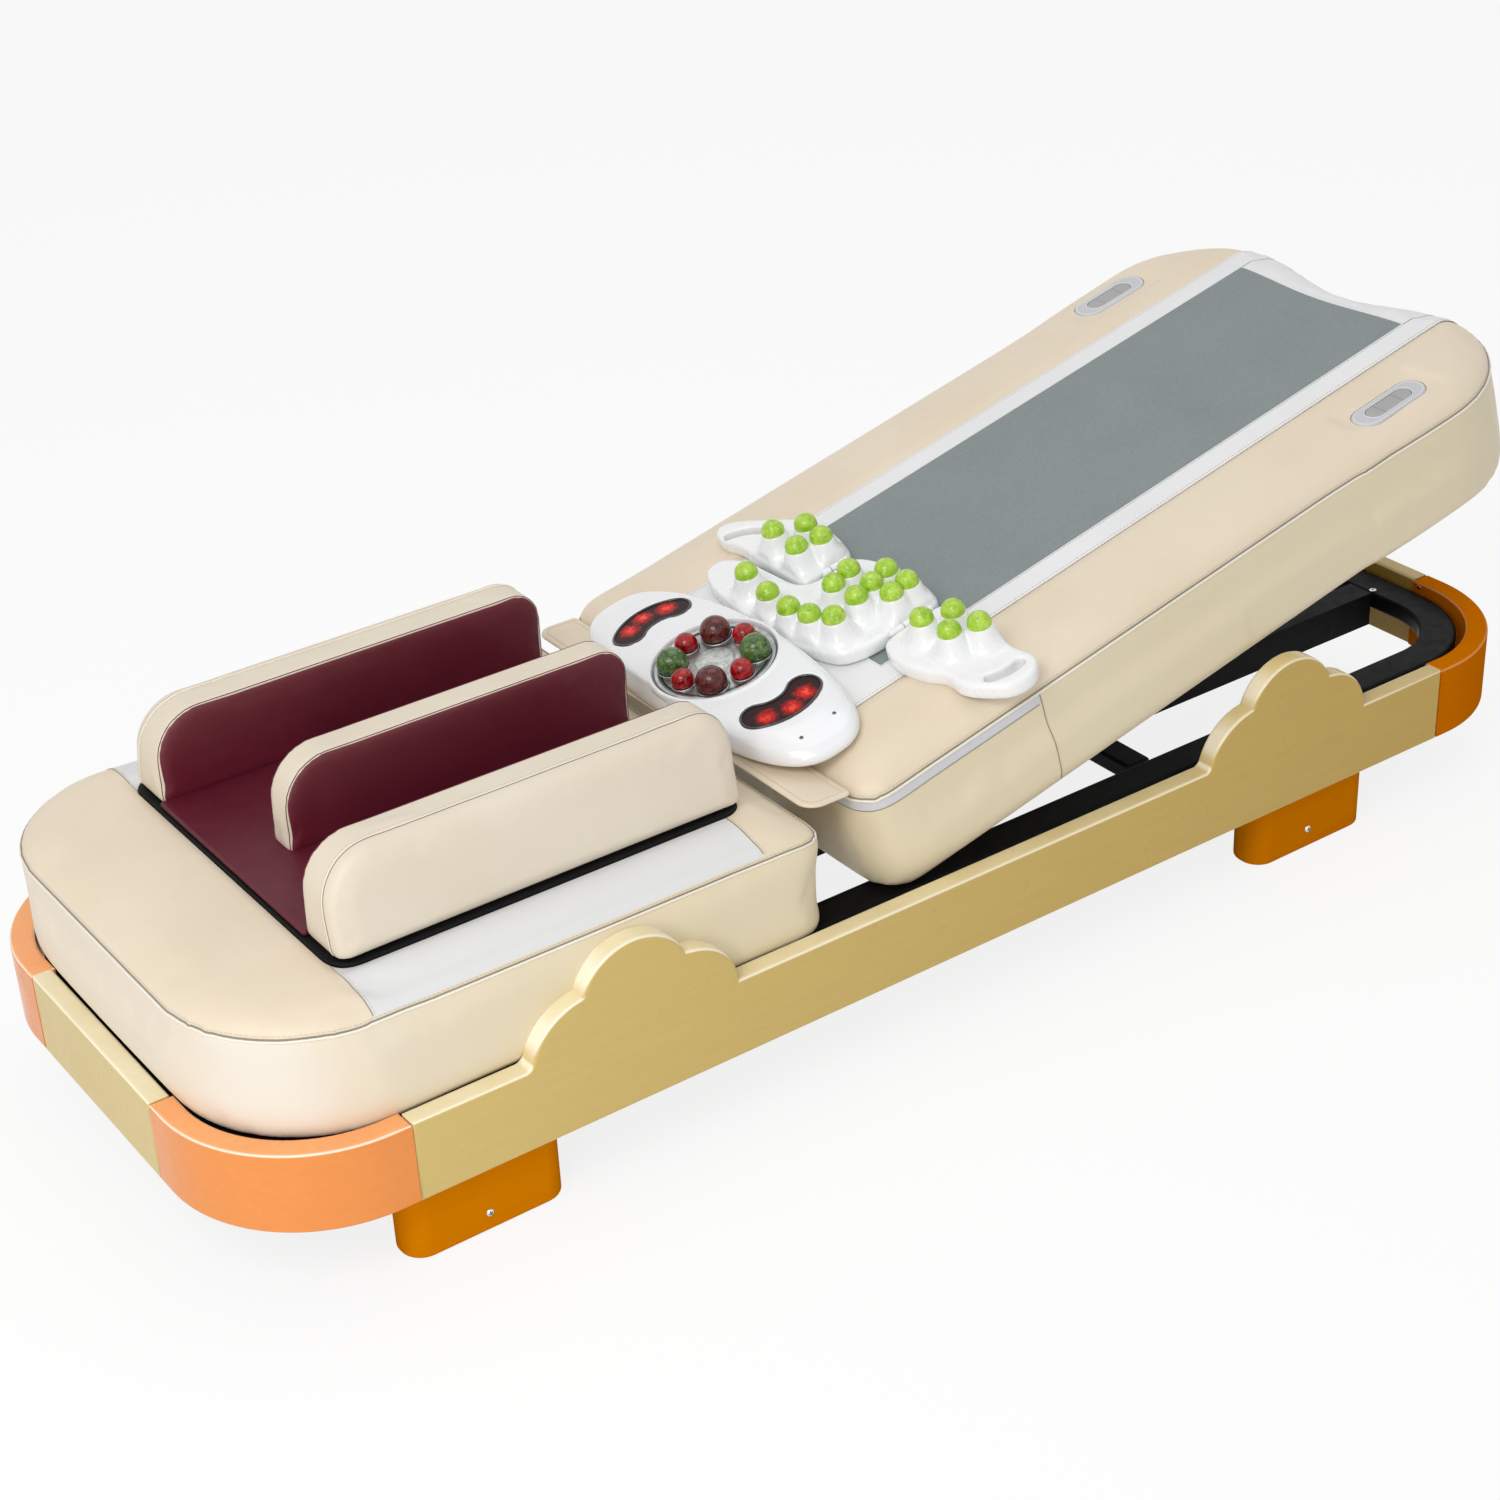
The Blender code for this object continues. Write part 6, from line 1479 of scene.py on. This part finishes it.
def make_cover(surface):
    solid = [("SOLIDIFY", {"thickness": 0.0009, "offset": 1.0})]
    cover = stretched_sheet(
        surface, COVER_FOOT_S, lambda y: head_edge(y, COVER_HEAD_INSET), COVER_HALF, 0.0011,
        150, 56,
    )
    sheet = show(
        "centre_cover_cloth", cover, cloth_pale, "back", ["centre_cover"], live=solid
    )
    window = stretched_sheet(surface, MESH_FOOT_S, mesh_head, MESH_HALF, 0.0022, 140, 44)
    sheet = show("mesh_window", window, mesh_grey, "back", ["mesh_panel"], live=solid)

    across = span(-MESH_HALF, MESH_HALF, 0.008)
    rim = [[(s, y) for s in span(MESH_FOOT_S, MESH_HEAD_S, 0.01)] for y in (-MESH_HALF, MESH_HALF)]
    rim += [[(mesh_head(y), y) for y in across], [(MESH_FOOT_S, y) for y in across]]
    paths = [on_cover(surface, places, 0.0030) for places in rim]
    cord("mesh_window_binding", paths, 0.0008, cloth_pale, "back")
    borders, dashes = [], []
    for side in (-1, 1):
        y = side * MESH_HALF
        places = [(s, y) for s in span(MESH_HEAD_S, head_edge(y, 0.0125), 0.004)]
        borders.append(on_cover(surface, places, 0.0021))
        y = side * (COVER_HALF - 0.004)
        places = [(s, y) for s in span(COVER_FOOT_S, head_edge(y, 0.015), 0.01)]
        dashes += stitch_paths(on_cover(surface, places, 0.0022), closed=False)
    cord("cover_border_seams", borders, 0.0005, seam_shadow, "back", sides=1)
    places = [(head_edge(y, 0.0105), y) for y in span(-COVER_HALF, COVER_HALF, 0.006)]
    head = on_cover(surface, places, 0.0012)
    cord("cover_head_piping", [head], 0.0016, leather_plain, "back", sides=3)
    cord("cover_stitches", dashes, 0.0004, sewing, "back", sides=1)


def flap_outline(inset):
    radii = [max(r - inset, 0.0008) for r in (0.024, 0.006, 0.006, 0.024)]
    half = FLAP_HALF - inset
    return rounded_box(-FLAP_LENGTH + inset, FLAP_LAP - inset, -half, half, radii, 10)


def make_flap():
    """Thin stitched leather pad over the joint between the two mattresses."""
    pad = stack([[(u, v, height) for u, v in flap_outline(inset)] for inset, height in FLAP_LEVELS])
    piece = show("joint_flap_pad", pad, leather_plain, "flap", ["joint_flap"], crease=60)
    outline = rounded_box(-0.0215, -0.0125, -0.032, 0.047, [0.002] * 4, 4)
    show("joint_flap_trim", plate(outline, 0.0027, 0.0052, 0.0008, 3), steel_bright, "flap")
    outline = rounded_box(-0.0195, -0.0145, -0.027, 0.042, [0.001] * 4, 3)
    show("joint_flap_trim_inlay", plate(outline, 0.0050, 0.0056), bezel_black, "flap")
    line = [Vector((u, v, 0.0020)) for u, v in flap_outline(0.0083)]
    cord("joint_flap_stitches", stitch_paths(line), 0.00036, sewing, "flap", sides=1)


# Control panels

def half_round(length, width):
    radius = width / 2
    end = arc((radius - length, 0.0), radius, pi / 2, 1.5 * pi, 14)
    return [(0.0, -radius), (0.0, radius)] + end


def key_cap(outline, low):
    """A key with a shallow dish in its upper face."""
    high = low + KEY_RISE
    cap = plate(outline, low, high, 0.0009, 3)
    top = [f for f in cap.faces if f.normal.z > 0.99 and f.calc_center_median().z > high - 0.0001]
    top = [max(top, key=lambda face: face.calc_area())]
    bmesh.ops.inset_region(cap, faces=top, thickness=0.0020, depth=-0.0004, use_even_offset=True)
    return cap


def make_panels():
    floor_z = PANEL_TOP - KEY_DEPTH
    shell_outline = stadium(PANEL_LENGTH, PANEL_WIDTH, 20)
    rim = stadium(PANEL_LENGTH - 0.0075, PANEL_WIDTH - 0.0075, 20)
    inner = stadium(KEYS_LENGTH + 0.0025, KEYS_WIDTH + 0.0025, 16)
    # Pale rings along the shell's rim and round the keys: painted highlights
    rims = [[Vector((u, v, PANEL_TOP - 0.0004)) for u, v in rim]]
    rims.append([Vector((u, v, PANEL_TOP - 0.0003)) for u, v in inner])
    middle = KEYS_LENGTH * KEYS_MIDDLE_SHARE / 2
    width = KEYS_WIDTH - KEYS_GAP
    end_key = half_round(KEYS_LENGTH / 2 - middle - KEYS_GAP, width)
    end_key = moved(end_key, -middle - KEYS_GAP / 2, 0.0)
    keys = {
        "foot": end_key,
        "middle": box_outline(-middle, middle, -width / 2, width / 2),
        "head": [(-u, v) for u, v in end_key],
    }
    for name, side in SIDES:
        place = BACK @ Matrix.Translation((PANEL_S, side * PANEL_Y, 0.0))
        hole = stadium(KEYS_LENGTH, KEYS_WIDTH, 16)
        body = plate(shell_outline, 0.0063, PANEL_TOP, 0.003, 4, hole=hole)
        floor = plate(stadium(KEYS_LENGTH + 0.004, KEYS_WIDTH + 0.004, 16), 0.0068, floor_z)
        node = "control_panel_" + name
        show(node + "_shell", joined(body, floor), panel_grey, "back", [node], place)
        cord(node + "_rims", rims, 0.0009, panel_rim_highlight, "back", closed=True, place=place)
        for key, outline in keys.items():
            node = f"key_{name}_{key}"
            show(node + "_cap", key_cap(outline, floor_z + 0.0018), key_grey, node, [node], place)


# Leg cradle

def wall_section(foot_x, inset, steps=12):
    """A wall's outline seen from the side, drawn in by an inset at its top and ends."""
    low, high = WALL_BASE + min(inset, 0.004), WALL_TOP - inset
    radii = (0.006, 0.006, WALL_KNEE_RADIUS - inset, WALL_FOOT_RADIUS - inset)
    return rounded_box(foot_x + inset, WALL_KNEE_X - inset, low, high, radii, steps)


def tray_outline(grow=0.0):
    x0, x1, half = LEG_FOOT_X - 0.006 - grow, LEG_KNEE_X + grow, LEG_HALF + 0.004 + grow
    return rounded_box(x0, x1, -half, half, [0.035 + grow] * 4)


def leant(y, z):
    """The outer faces lean in towards their tops."""
    if abs(y) < WALL_INNER_Y + 0.012:
        return y
    share = min(max((z - WALL_BASE) / (WALL_TOP - WALL_BASE), 0.0), 1.0)
    return y - (WALL_LEAN * share if y > 0 else -WALL_LEAN * share)


def wall_edge_path(foot_x, y):
    """The line round a wall's top and ends at one depth, from foot base to knee base."""
    section = wall_section(foot_x, 0.0, 14)
    path = [Vector((x, leant(y, z), z)) for x, z in section if z > WALL_BASE + 0.0045]
    return spaced(from_widest_gap(path), 0.004, closed=False)


def wall_rings(foot_x, low_y, high_y, low_lined, high_lined):
    levels = LINED_EDGE if low_lined else OUTER_EDGE
    faces = [(low_y + depth, inset) for depth, inset in levels]
    levels = LINED_EDGE if high_lined else OUTER_EDGE
    faces += [(high_y - depth, inset) for depth, inset in levels[::-1]]
    return [
        [(x, leant(y, z), z) for x, z in wall_section(foot_x, inset)] for y, inset in faces
    ]


def trim_wall(name, foot_x, faces, surface):
    """Wine piping along each lined edge; pale piping, a fold and stitches along an outer one."""
    edges, seams, folds, dashes = [], [], [], []
    for y, lined, toward in faces:
        def along(depth, lift):
            return lie_on(wall_edge_path(foot_x, y + toward * depth), surface, lift)

        if lined:
            edges.append(along(LINED_SEAM, 0.0))
        else:
            seams.append(along(OUTER_SEAM, 0.0001))
            folds.append(along(OUTER_SEAM - 0.0014, 0.0002))
            dashes += stitch_paths(along(OUTER_SEAM + 0.0044, 0.0001), closed=False)
    node = f"leg_wall_{name}_"
    cord(node + "lining_edges", edges, 0.0006, wine_piping, "leg_massager")
    if seams:
        cord(node + "seam", seams, 0.0010, piping_pale, "leg_massager", sides=3)
        cord(node + "fold", folds, 0.0006, seam_shadow, "leg_massager", sides=1)
        cord(node + "stitches", dashes, 0.0003, sewing, "leg_massager", sides=1)


def make_wall(name, foot_x, low_y, high_y, low_lined, high_lined):
    def held(co):
        return 1.0 if co.z < WALL_BASE + 0.004 else 0.0

    def limit(co, start):
        co.z = max(WALL_BASE - 0.0001, min(WALL_TOP + 0.0012, co.z))
        co.y = max(low_y - 0.0018, min(high_y + 0.0018, co.y))
        co.x = max(foot_x - 0.0015, min(WALL_KNEE_X + 0.0012, co.x))
        return co

    rings = wall_rings(foot_x, low_y, high_y, low_lined, high_lined)
    pad = plumped(stack(rings), 0.0040, 0.0020, limit, held, 2)
    surface = surface_of(pad)
    wall = show(
        f"leg_wall_{name}_pad", pad, leather_cradle, "leg_massager", ["leg_wall_" + name],
        crease=180, live=[("SUBSURF", {"levels": 1, "render_levels": 1})],
    )
    trim_wall(name, foot_x, ((low_y, low_lined, 1), (high_y, high_lined, -1)), surface)


def make_cradle():
    tray = plate(tray_outline(), TRAY_BASE, TRAY_TOP, 0.0030, 4)
    show("cradle_tray", tray, tray_black, "leg_massager", ["leg_tray"])
    make_wall("near", WALL_FOOT_X, -WALL_OUTER_Y, -WALL_INNER_Y, False, True)
    make_wall("middle", MIDDLE_FOOT_X, -MIDDLE_HALF, MIDDLE_HALF, True, True)
    make_wall("far", WALL_FOOT_X, WALL_INNER_Y, WALL_OUTER_Y, True, False)
    half = WALL_INNER_Y + 0.004
    outline = rounded_box(
        WALL_FOOT_X - 0.004, WALL_KNEE_X - 0.003, -half, half, [0.004] * 4, 4
    )
    floor = plate(outline, TRAY_TOP + 0.0002, TRAY_TOP + 0.0075, 0.0032, 4)
    pad = show("cradle_floor_pad", floor, leather_wine, "leg_massager", crease=50)


# Oval hand massager

def bent_capsule(circle, width, middle, sweep):
    """An arc given a width and round ends, its own circle's middle at the origin."""
    start, end = middle - sweep / 2, middle + sweep / 2
    cap = width / 2
    outline = arc((0, 0), circle + cap, start, end, 26)
    tip = (circle * cos(end), circle * sin(end))
    outline += arc(tip, cap, end, end + pi, 12)[1:-1]
    outline += arc((0, 0), circle - cap, end, start, 18)
    tip = (circle * cos(start), circle * sin(start))
    return outline + arc(tip, cap, start + pi, start + 2 * pi, 12)[1:-1]


def window_outline(side, grow):
    """Kidney shape that bends round towards the disc."""
    outline = bent_capsule(WINDOW_CIRCLE, WINDOW_WIDTH + 2 * grow, side * pi / 2, WINDOW_SWEEP)
    return moved(outline, 0.0, side * WINDOW_Y)


def oval_ring(inset_s, inset_y, height, count=120):
    reach = OVAL_HALF_WIDTH - inset_s, OVAL_HALF_LENGTH - inset_y
    ring = []
    for k in range(count):
        turn = 2 * pi * (k + 0.5) / count
        u, v = (
            half * copysign(abs(part) ** (2 / OVAL_SQUARENESS), part)
            for half, part in zip(reach, (cos(turn), sin(turn)))
        )
        ring.append((u, v, height))
    return ring


def flat_based(bm):
    for vert in bm.verts:
        vert.co.z = max(vert.co.z, 0.0)
    return bm


def make_oval():
    shell = stack([oval_ring(a, b, share * OVAL_HEIGHT) for a, b, share in OVAL_LEVELS])
    crown = surface_of(shell)
    floor, bore = OVAL_HEIGHT - DISC_RECESS, DISC_RADIUS + 0.0006
    shell = cut(shell, turned([(0.0, floor), (bore, floor), (bore, 0.06), (0.0, 0.06)], 72))
    for side in (-1, 1):
        shell = cut(shell, plate(window_outline(side, 0.001), OVAL_HEIGHT * 0.80, 0.06))
    collar = turned(COLLAR_PROFILE, 96, Matrix.Translation((0, 0, OVAL_HEIGHT)))
    shell = flat_based(melted(joined(shell, collar), 0.0018, 4))
    show("oval_shell", shell, shell_white, "oval_massager", ["oval_massager"], crease=180)
    lamps, glass, bezels = [], [], []
    for side in (-1, 1):
        pane = plate(window_outline(side, -0.0012), 0.0, 0.004, 0.0015, 3)
        for vert in pane.verts:
            vert.co.z += fitted(crown, vert.co.x, vert.co.y) - 0.0056
        glass.append(pane)
        rim = window_outline(side, -0.0002)
        bezels.append([Vector((u, v, fitted(crown, u, v) - 0.0014)) for u, v in rim])
        for share in LAMP_SHARES:
            turn = side * pi / 2 + share * WINDOW_SWEEP / 2
            u = WINDOW_CIRCLE * cos(turn)
            v = side * WINDOW_Y + (WINDOW_CIRCLE + 0.006) * sin(turn)
            lamps.append(OVAL @ Vector((u, v, fitted(crown, u, v) - 0.0016)))
    show("lamp_windows", joined(*glass), lamp_glass(lamps), "oval_massager")
    cord("lamp_window_bezels", bezels, 0.0017, bezel_black, "oval_massager", closed=True, sides=3)
    spots = []
    for u, v in OVAL_SCREWS:
        place, normal, _, _ = crown.ray_cast(Vector((u, v, ABOVE_ALL)), Vector((0, 0, -1)))
        spots.append(OVAL @ facing(*(place + normal * 0.0001), normal))
    screw_set("oval_screws", spots, screw_dark, 0.0026, "oval_massager", Matrix())


def make_disc():
    rise = OVAL_HEIGHT - DISC_RECESS + DISC_THICK
    lifted = Matrix.Translation((0, 0, rise))
    dish = turned(DISH_PROFILE, 96, lifted)
    show("disc_dish", dish, steel_dish, "massage_disc", ["massage_disc"])
    show("disc_dark_ring", turned(GROOVE_PROFILE, 96, lifted), bezel_black, "massage_disc")
    show("disc_hub", turned(HUB_PROFILE, 64, lifted), hub_stone, "massage_disc")
    sets = {"brown": [], "green": [], "red": []}
    for k in range(8):
        turn = BALL_START + k * pi / 4
        colour = "red" if k % 2 else ("brown" if k % 4 == 0 else "green")
        height = rise + (SMALL_BALL if k % 2 else BIG_BALL) * 0.35
        sets[colour].append(Vector((BALL_CIRCLE * cos(turn), BALL_CIRCLE * sin(turn), height)))
    stones = (("brown_stones", "brown", brown_stone), ("green_stones", "green", green_stone))
    for name, colour, finish in stones:
        show("disc_" + name, balls(sets[colour], BIG_BALL, 28), finish, "massage_disc")
    show("disc_red_beads", balls(sets["red"], SMALL_BALL, 24), bead_red, "massage_disc")
    seats = []
    for spots, radius in ((sets["brown"] + sets["green"], BIG_BALL), (sets["red"], SMALL_BALL)):
        ring = arc((0, 0), radius + 0.0004, 0.0, 2 * pi, 36)[:-1]
        seats += [[Vector((p.x + u, p.y + v, rise - 0.0008)) for u, v in ring] for p in spots]
    cord("disc_ball_seats", seats, 0.0012, steel_dish, "massage_disc", closed=True)


# Jade belt

def on_belt(u, v):
    """A place given as shares of the belt's width and length."""
    return u * BELT_WIDTH, v * BELT_LENGTH


def smooth_loop(shares):
    """Closed curve through points given as shares of the belt's width and length."""
    points = [Vector(on_belt(u, v)) for u, v in shares]
    count = len(points)
    loop = []
    for k in range(count):
        before, a, b, after = (points[(k + j) % count] for j in (-1, 0, 1, 2))
        for share in (0.0, 0.25, 0.5, 0.75):
            point = (
                a * 2 + (b - before) * share
                + (before * 2 - a * 5 + b * 4 - after) * share ** 2
                + (a * 3 - before - b * 3 + after) * share ** 3
            ) / 2
            loop.append((point.x, point.y))
    return loop


def kept_inside(outline, u, v, middle, margin):
    """The point, drawn towards a middle until it lies inside the outline by a margin."""
    start, goal = Vector(middle), Vector((u, v))
    length = (goal - start).length
    if length < 1e-6:
        return u, v
    reach = length
    for a, b in zip(outline, outline[1:] + outline[:1]):
        far = start + (goal - start) * 3
        met = intersect_line_line_2d(start, far, Vector(a), Vector(b))
        if met is not None:
            reach = min(reach, max(BEAD_RADIUS, (met - start).length - margin))
    goal = start + (goal - start) * (reach / length)
    return goal.x, goal.y


def slot_cutter(u, v, way):
    """The bent finger slot near the end of a lobe."""
    slot = bent_capsule(SLOT_CIRCLE, SLOT_WIDTH, way, SLOT_SWEEP)
    slot = moved(slot, -SLOT_CIRCLE * cos(way), -SLOT_CIRCLE * sin(way))
    return plate(moved(slot, *on_belt(u, v)), -0.01, 0.05)


def stud_hill(outline, u, v, top):
    """The spreading foot of one stud, kept inside its lobe."""
    profile = [(0.0, top - 0.0008)]
    profile += [(radius, top - drop) for radius, drop in HILL_NECK]
    profile += [(radius, BELT_PLATE + rise) for radius, rise in HILL_FOOT]
    hill = turned(profile, 48, Matrix.Translation((u, v, 0.0)))
    for vert in hill.verts:
        vert.co.x, vert.co.y = kept_inside(outline, vert.co.x, vert.co.y, (u, v), 0.0035)
    return hill


def make_lobe(name, shares):
    top = BELT_PLATE + STUD_RISE
    outline = smooth_loop(shares)
    lobe = plate(outline, 0.0, BELT_PLATE, 0.006, 3)
    if name in BELT_SLOTS:
        lobe = cut(lobe, slot_cutter(*BELT_SLOTS[name]))
    studs = [on_belt(u, v) for u, v in BELT_STUDS[name]]
    hills = [stud_hill(outline, u, v, top) for u, v in studs]
    lobe = flat_based(melted(joined(lobe, *hills), 0.0015, 12))
    show(name + "_shell", lobe, belt_white, name, [name], crease=180)
    beads = balls([(u, v, top) for u, v in studs], BEAD_RADIUS, 20)
    show(name + "_jade_beads", beads, jade_green, name)


def make_knuckles(name, share, low, high):
    """Three short barrels in a row, where the lobes fold."""
    parts = []
    for k in range(3):
        start = low + (high - low) * k / 3 + 0.0008
        length = (high - low) / 3 - 0.0016
        profile = [
            (0.0, 0.0), (0.0036, 0.0), (0.0042, 0.0006), (0.0042, length - 0.0006),
            (0.0036, length), (0.0, length),
        ]
        spot = Matrix.Translation((start, share * BELT_LENGTH, BELT_PLATE - 0.0012))
        parts.append(turned(profile, 24, spot @ Matrix.Rotation(pi / 2, 4, "Y")))
    show(f"belt_{name}_hinge_knuckles", joined(*parts), belt_white, "belt_middle")


def make_belt():
    for name, shares in BELT_LOBES.items():
        make_lobe(name, shares)
    make_knuckles("far", FAR_HINGE, 0.02, 0.062)
    make_knuckles("near", NEAR_HINGE, -0.012, 0.058)


# CAD pieces that stay, in their own finishes

def dress_frame():
    finishes = {
        "channel_": paint_black, "outrigger_": paint_black, "trolley": paint_black,
        "back_spine": paint_black, "lift_anchor": paint_black, "carriage_track": paint_black,
        "hinge_pin": steel_bright, "shift_rod": steel_bright, "lift_rod": steel_bright,
        "shift_actuator": housing, "lift_actuator": housing, "roller_carriage": housing,
        "foot_base_board": birch, "back_base_board": birch, "jade_roller_": jade_green,
    }
    for node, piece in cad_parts.items():
        for start, finish in finishes.items():
            if node.startswith(start):
                piece = bpy.data.objects.get(node, piece)
                if not piece.material_slots:
                    piece.data.materials.append(finish.material)
                for slot in piece.material_slots:
                    slot.material = finish.material


# Floor, light and camera

def make_floor():
    """A pale floor, which the camera and mirrors see nearly white and evenly lit."""
    bm = bmesh.new()
    bmesh.ops.create_grid(bm, x_segments=1, y_segments=1, size=14.0)
    floor = linked("floor", mesh_of(bm, "floor"))
    finish = Finish("pale_floor", None, 0.9)
    finish.colour((0.94, 0.94, 0.94))
    seen = finish.node("LightPath").outputs
    share = finish.math("MAXIMUM", seen["Is Camera Ray"], seen["Is Glossy Ray"])
    glow = finish.node("Emission", Strength=1.0).outputs[0]
    blend = finish.node("MixShader")
    finish.join(finish.times(share, FLOOR_GLOW), blend.inputs[0])
    finish.join(finish.shader.outputs[0], blend.inputs[1])
    finish.join(glow, blend.inputs[2])
    finish.join(blend.outputs[0], finish.tree.nodes["Material Output"].inputs["Surface"])
    floor.data.materials.append(finish.material)


def make_surroundings():
    """White behind the bed, and softer than white where it only lights it."""
    world = bpy.data.worlds.new("studio")
    bpy.context.scene.world = world
    world.use_nodes = True
    sky = Nodes(world.node_tree)
    seen = sky.node("LightPath").outputs
    white = sky.math("MAXIMUM", seen["Is Camera Ray"], seen["Is Transmission Ray"])
    white = sky.math("MAXIMUM", white, seen["Is Glossy Ray"])
    background = sky.tree.nodes["Background"]
    background.inputs["Color"].default_value = (1.0, 1.0, 1.0, 1.0)
    sky.join(sky.span(white, 0.0, 1.0, AMBIENT, 1.0), background.inputs["Strength"])


def add_light(name, place, target, size, power):
    lamp = bpy.data.lights.new(name, "AREA")
    lamp.shape = "RECTANGLE"
    lamp.size, lamp.size_y = size
    lamp.energy = power
    light = linked(name, lamp)
    light.location = place
    light.rotation_euler = (Vector(target) - Vector(place)).to_track_quat("-Z", "Y").to_euler()


def make_lights():
    add_light("key_window", (-2.6, -1.6, 3.2), (-0.2, 0.0, 0.3), (2.2, 1.6), 60.0)
    add_light("ceiling_panel", (0.6, 0.6, 3.4), (0.3, 0.0, 0.3), (2.6, 1.8), 14.0)
    add_light("corner_strip", (-2.3, -1.9, 0.9), (-0.9, -0.2, 0.2), (0.35, 1.2), 10.0)


def make_camera():
    azimuth, elevation, roll = CAMERA_TURNS
    away = Vector((sin(azimuth) * cos(elevation), -cos(azimuth) * cos(elevation), sin(elevation)))
    right = (-away).cross(Vector((0, 0, 1))).normalized()
    up = right.cross(-away)
    across = right * cos(roll) + up * sin(roll)
    upward = up * cos(roll) - right * sin(roll)
    data = bpy.data.cameras.new("photo_camera")
    data.sensor_width = SENSOR_WIDTH
    data.lens = SENSOR_WIDTH * FOCAL_PIXELS / PHOTO_PIXELS
    camera = linked("photo_camera", data)
    axes = Matrix((across, upward, away)).transposed().to_4x4()
    camera.matrix_world = Matrix.Translation(BED @ CAMERA_EYE) @ axes
    bpy.context.scene.camera = camera


make_camera()
make_floor()
make_surroundings()
make_lights()
make_skirt()
make_feet()
make_ring()
make_foot_mattress()
back_surface = make_back_cushion()
make_back_trim(back_surface)
make_cover(back_surface)
make_flap()
make_panels()
make_cradle()
make_oval()
make_disc()
make_belt()
dress_frame()

bpy.context.scene.view_settings.view_transform = "Standard"
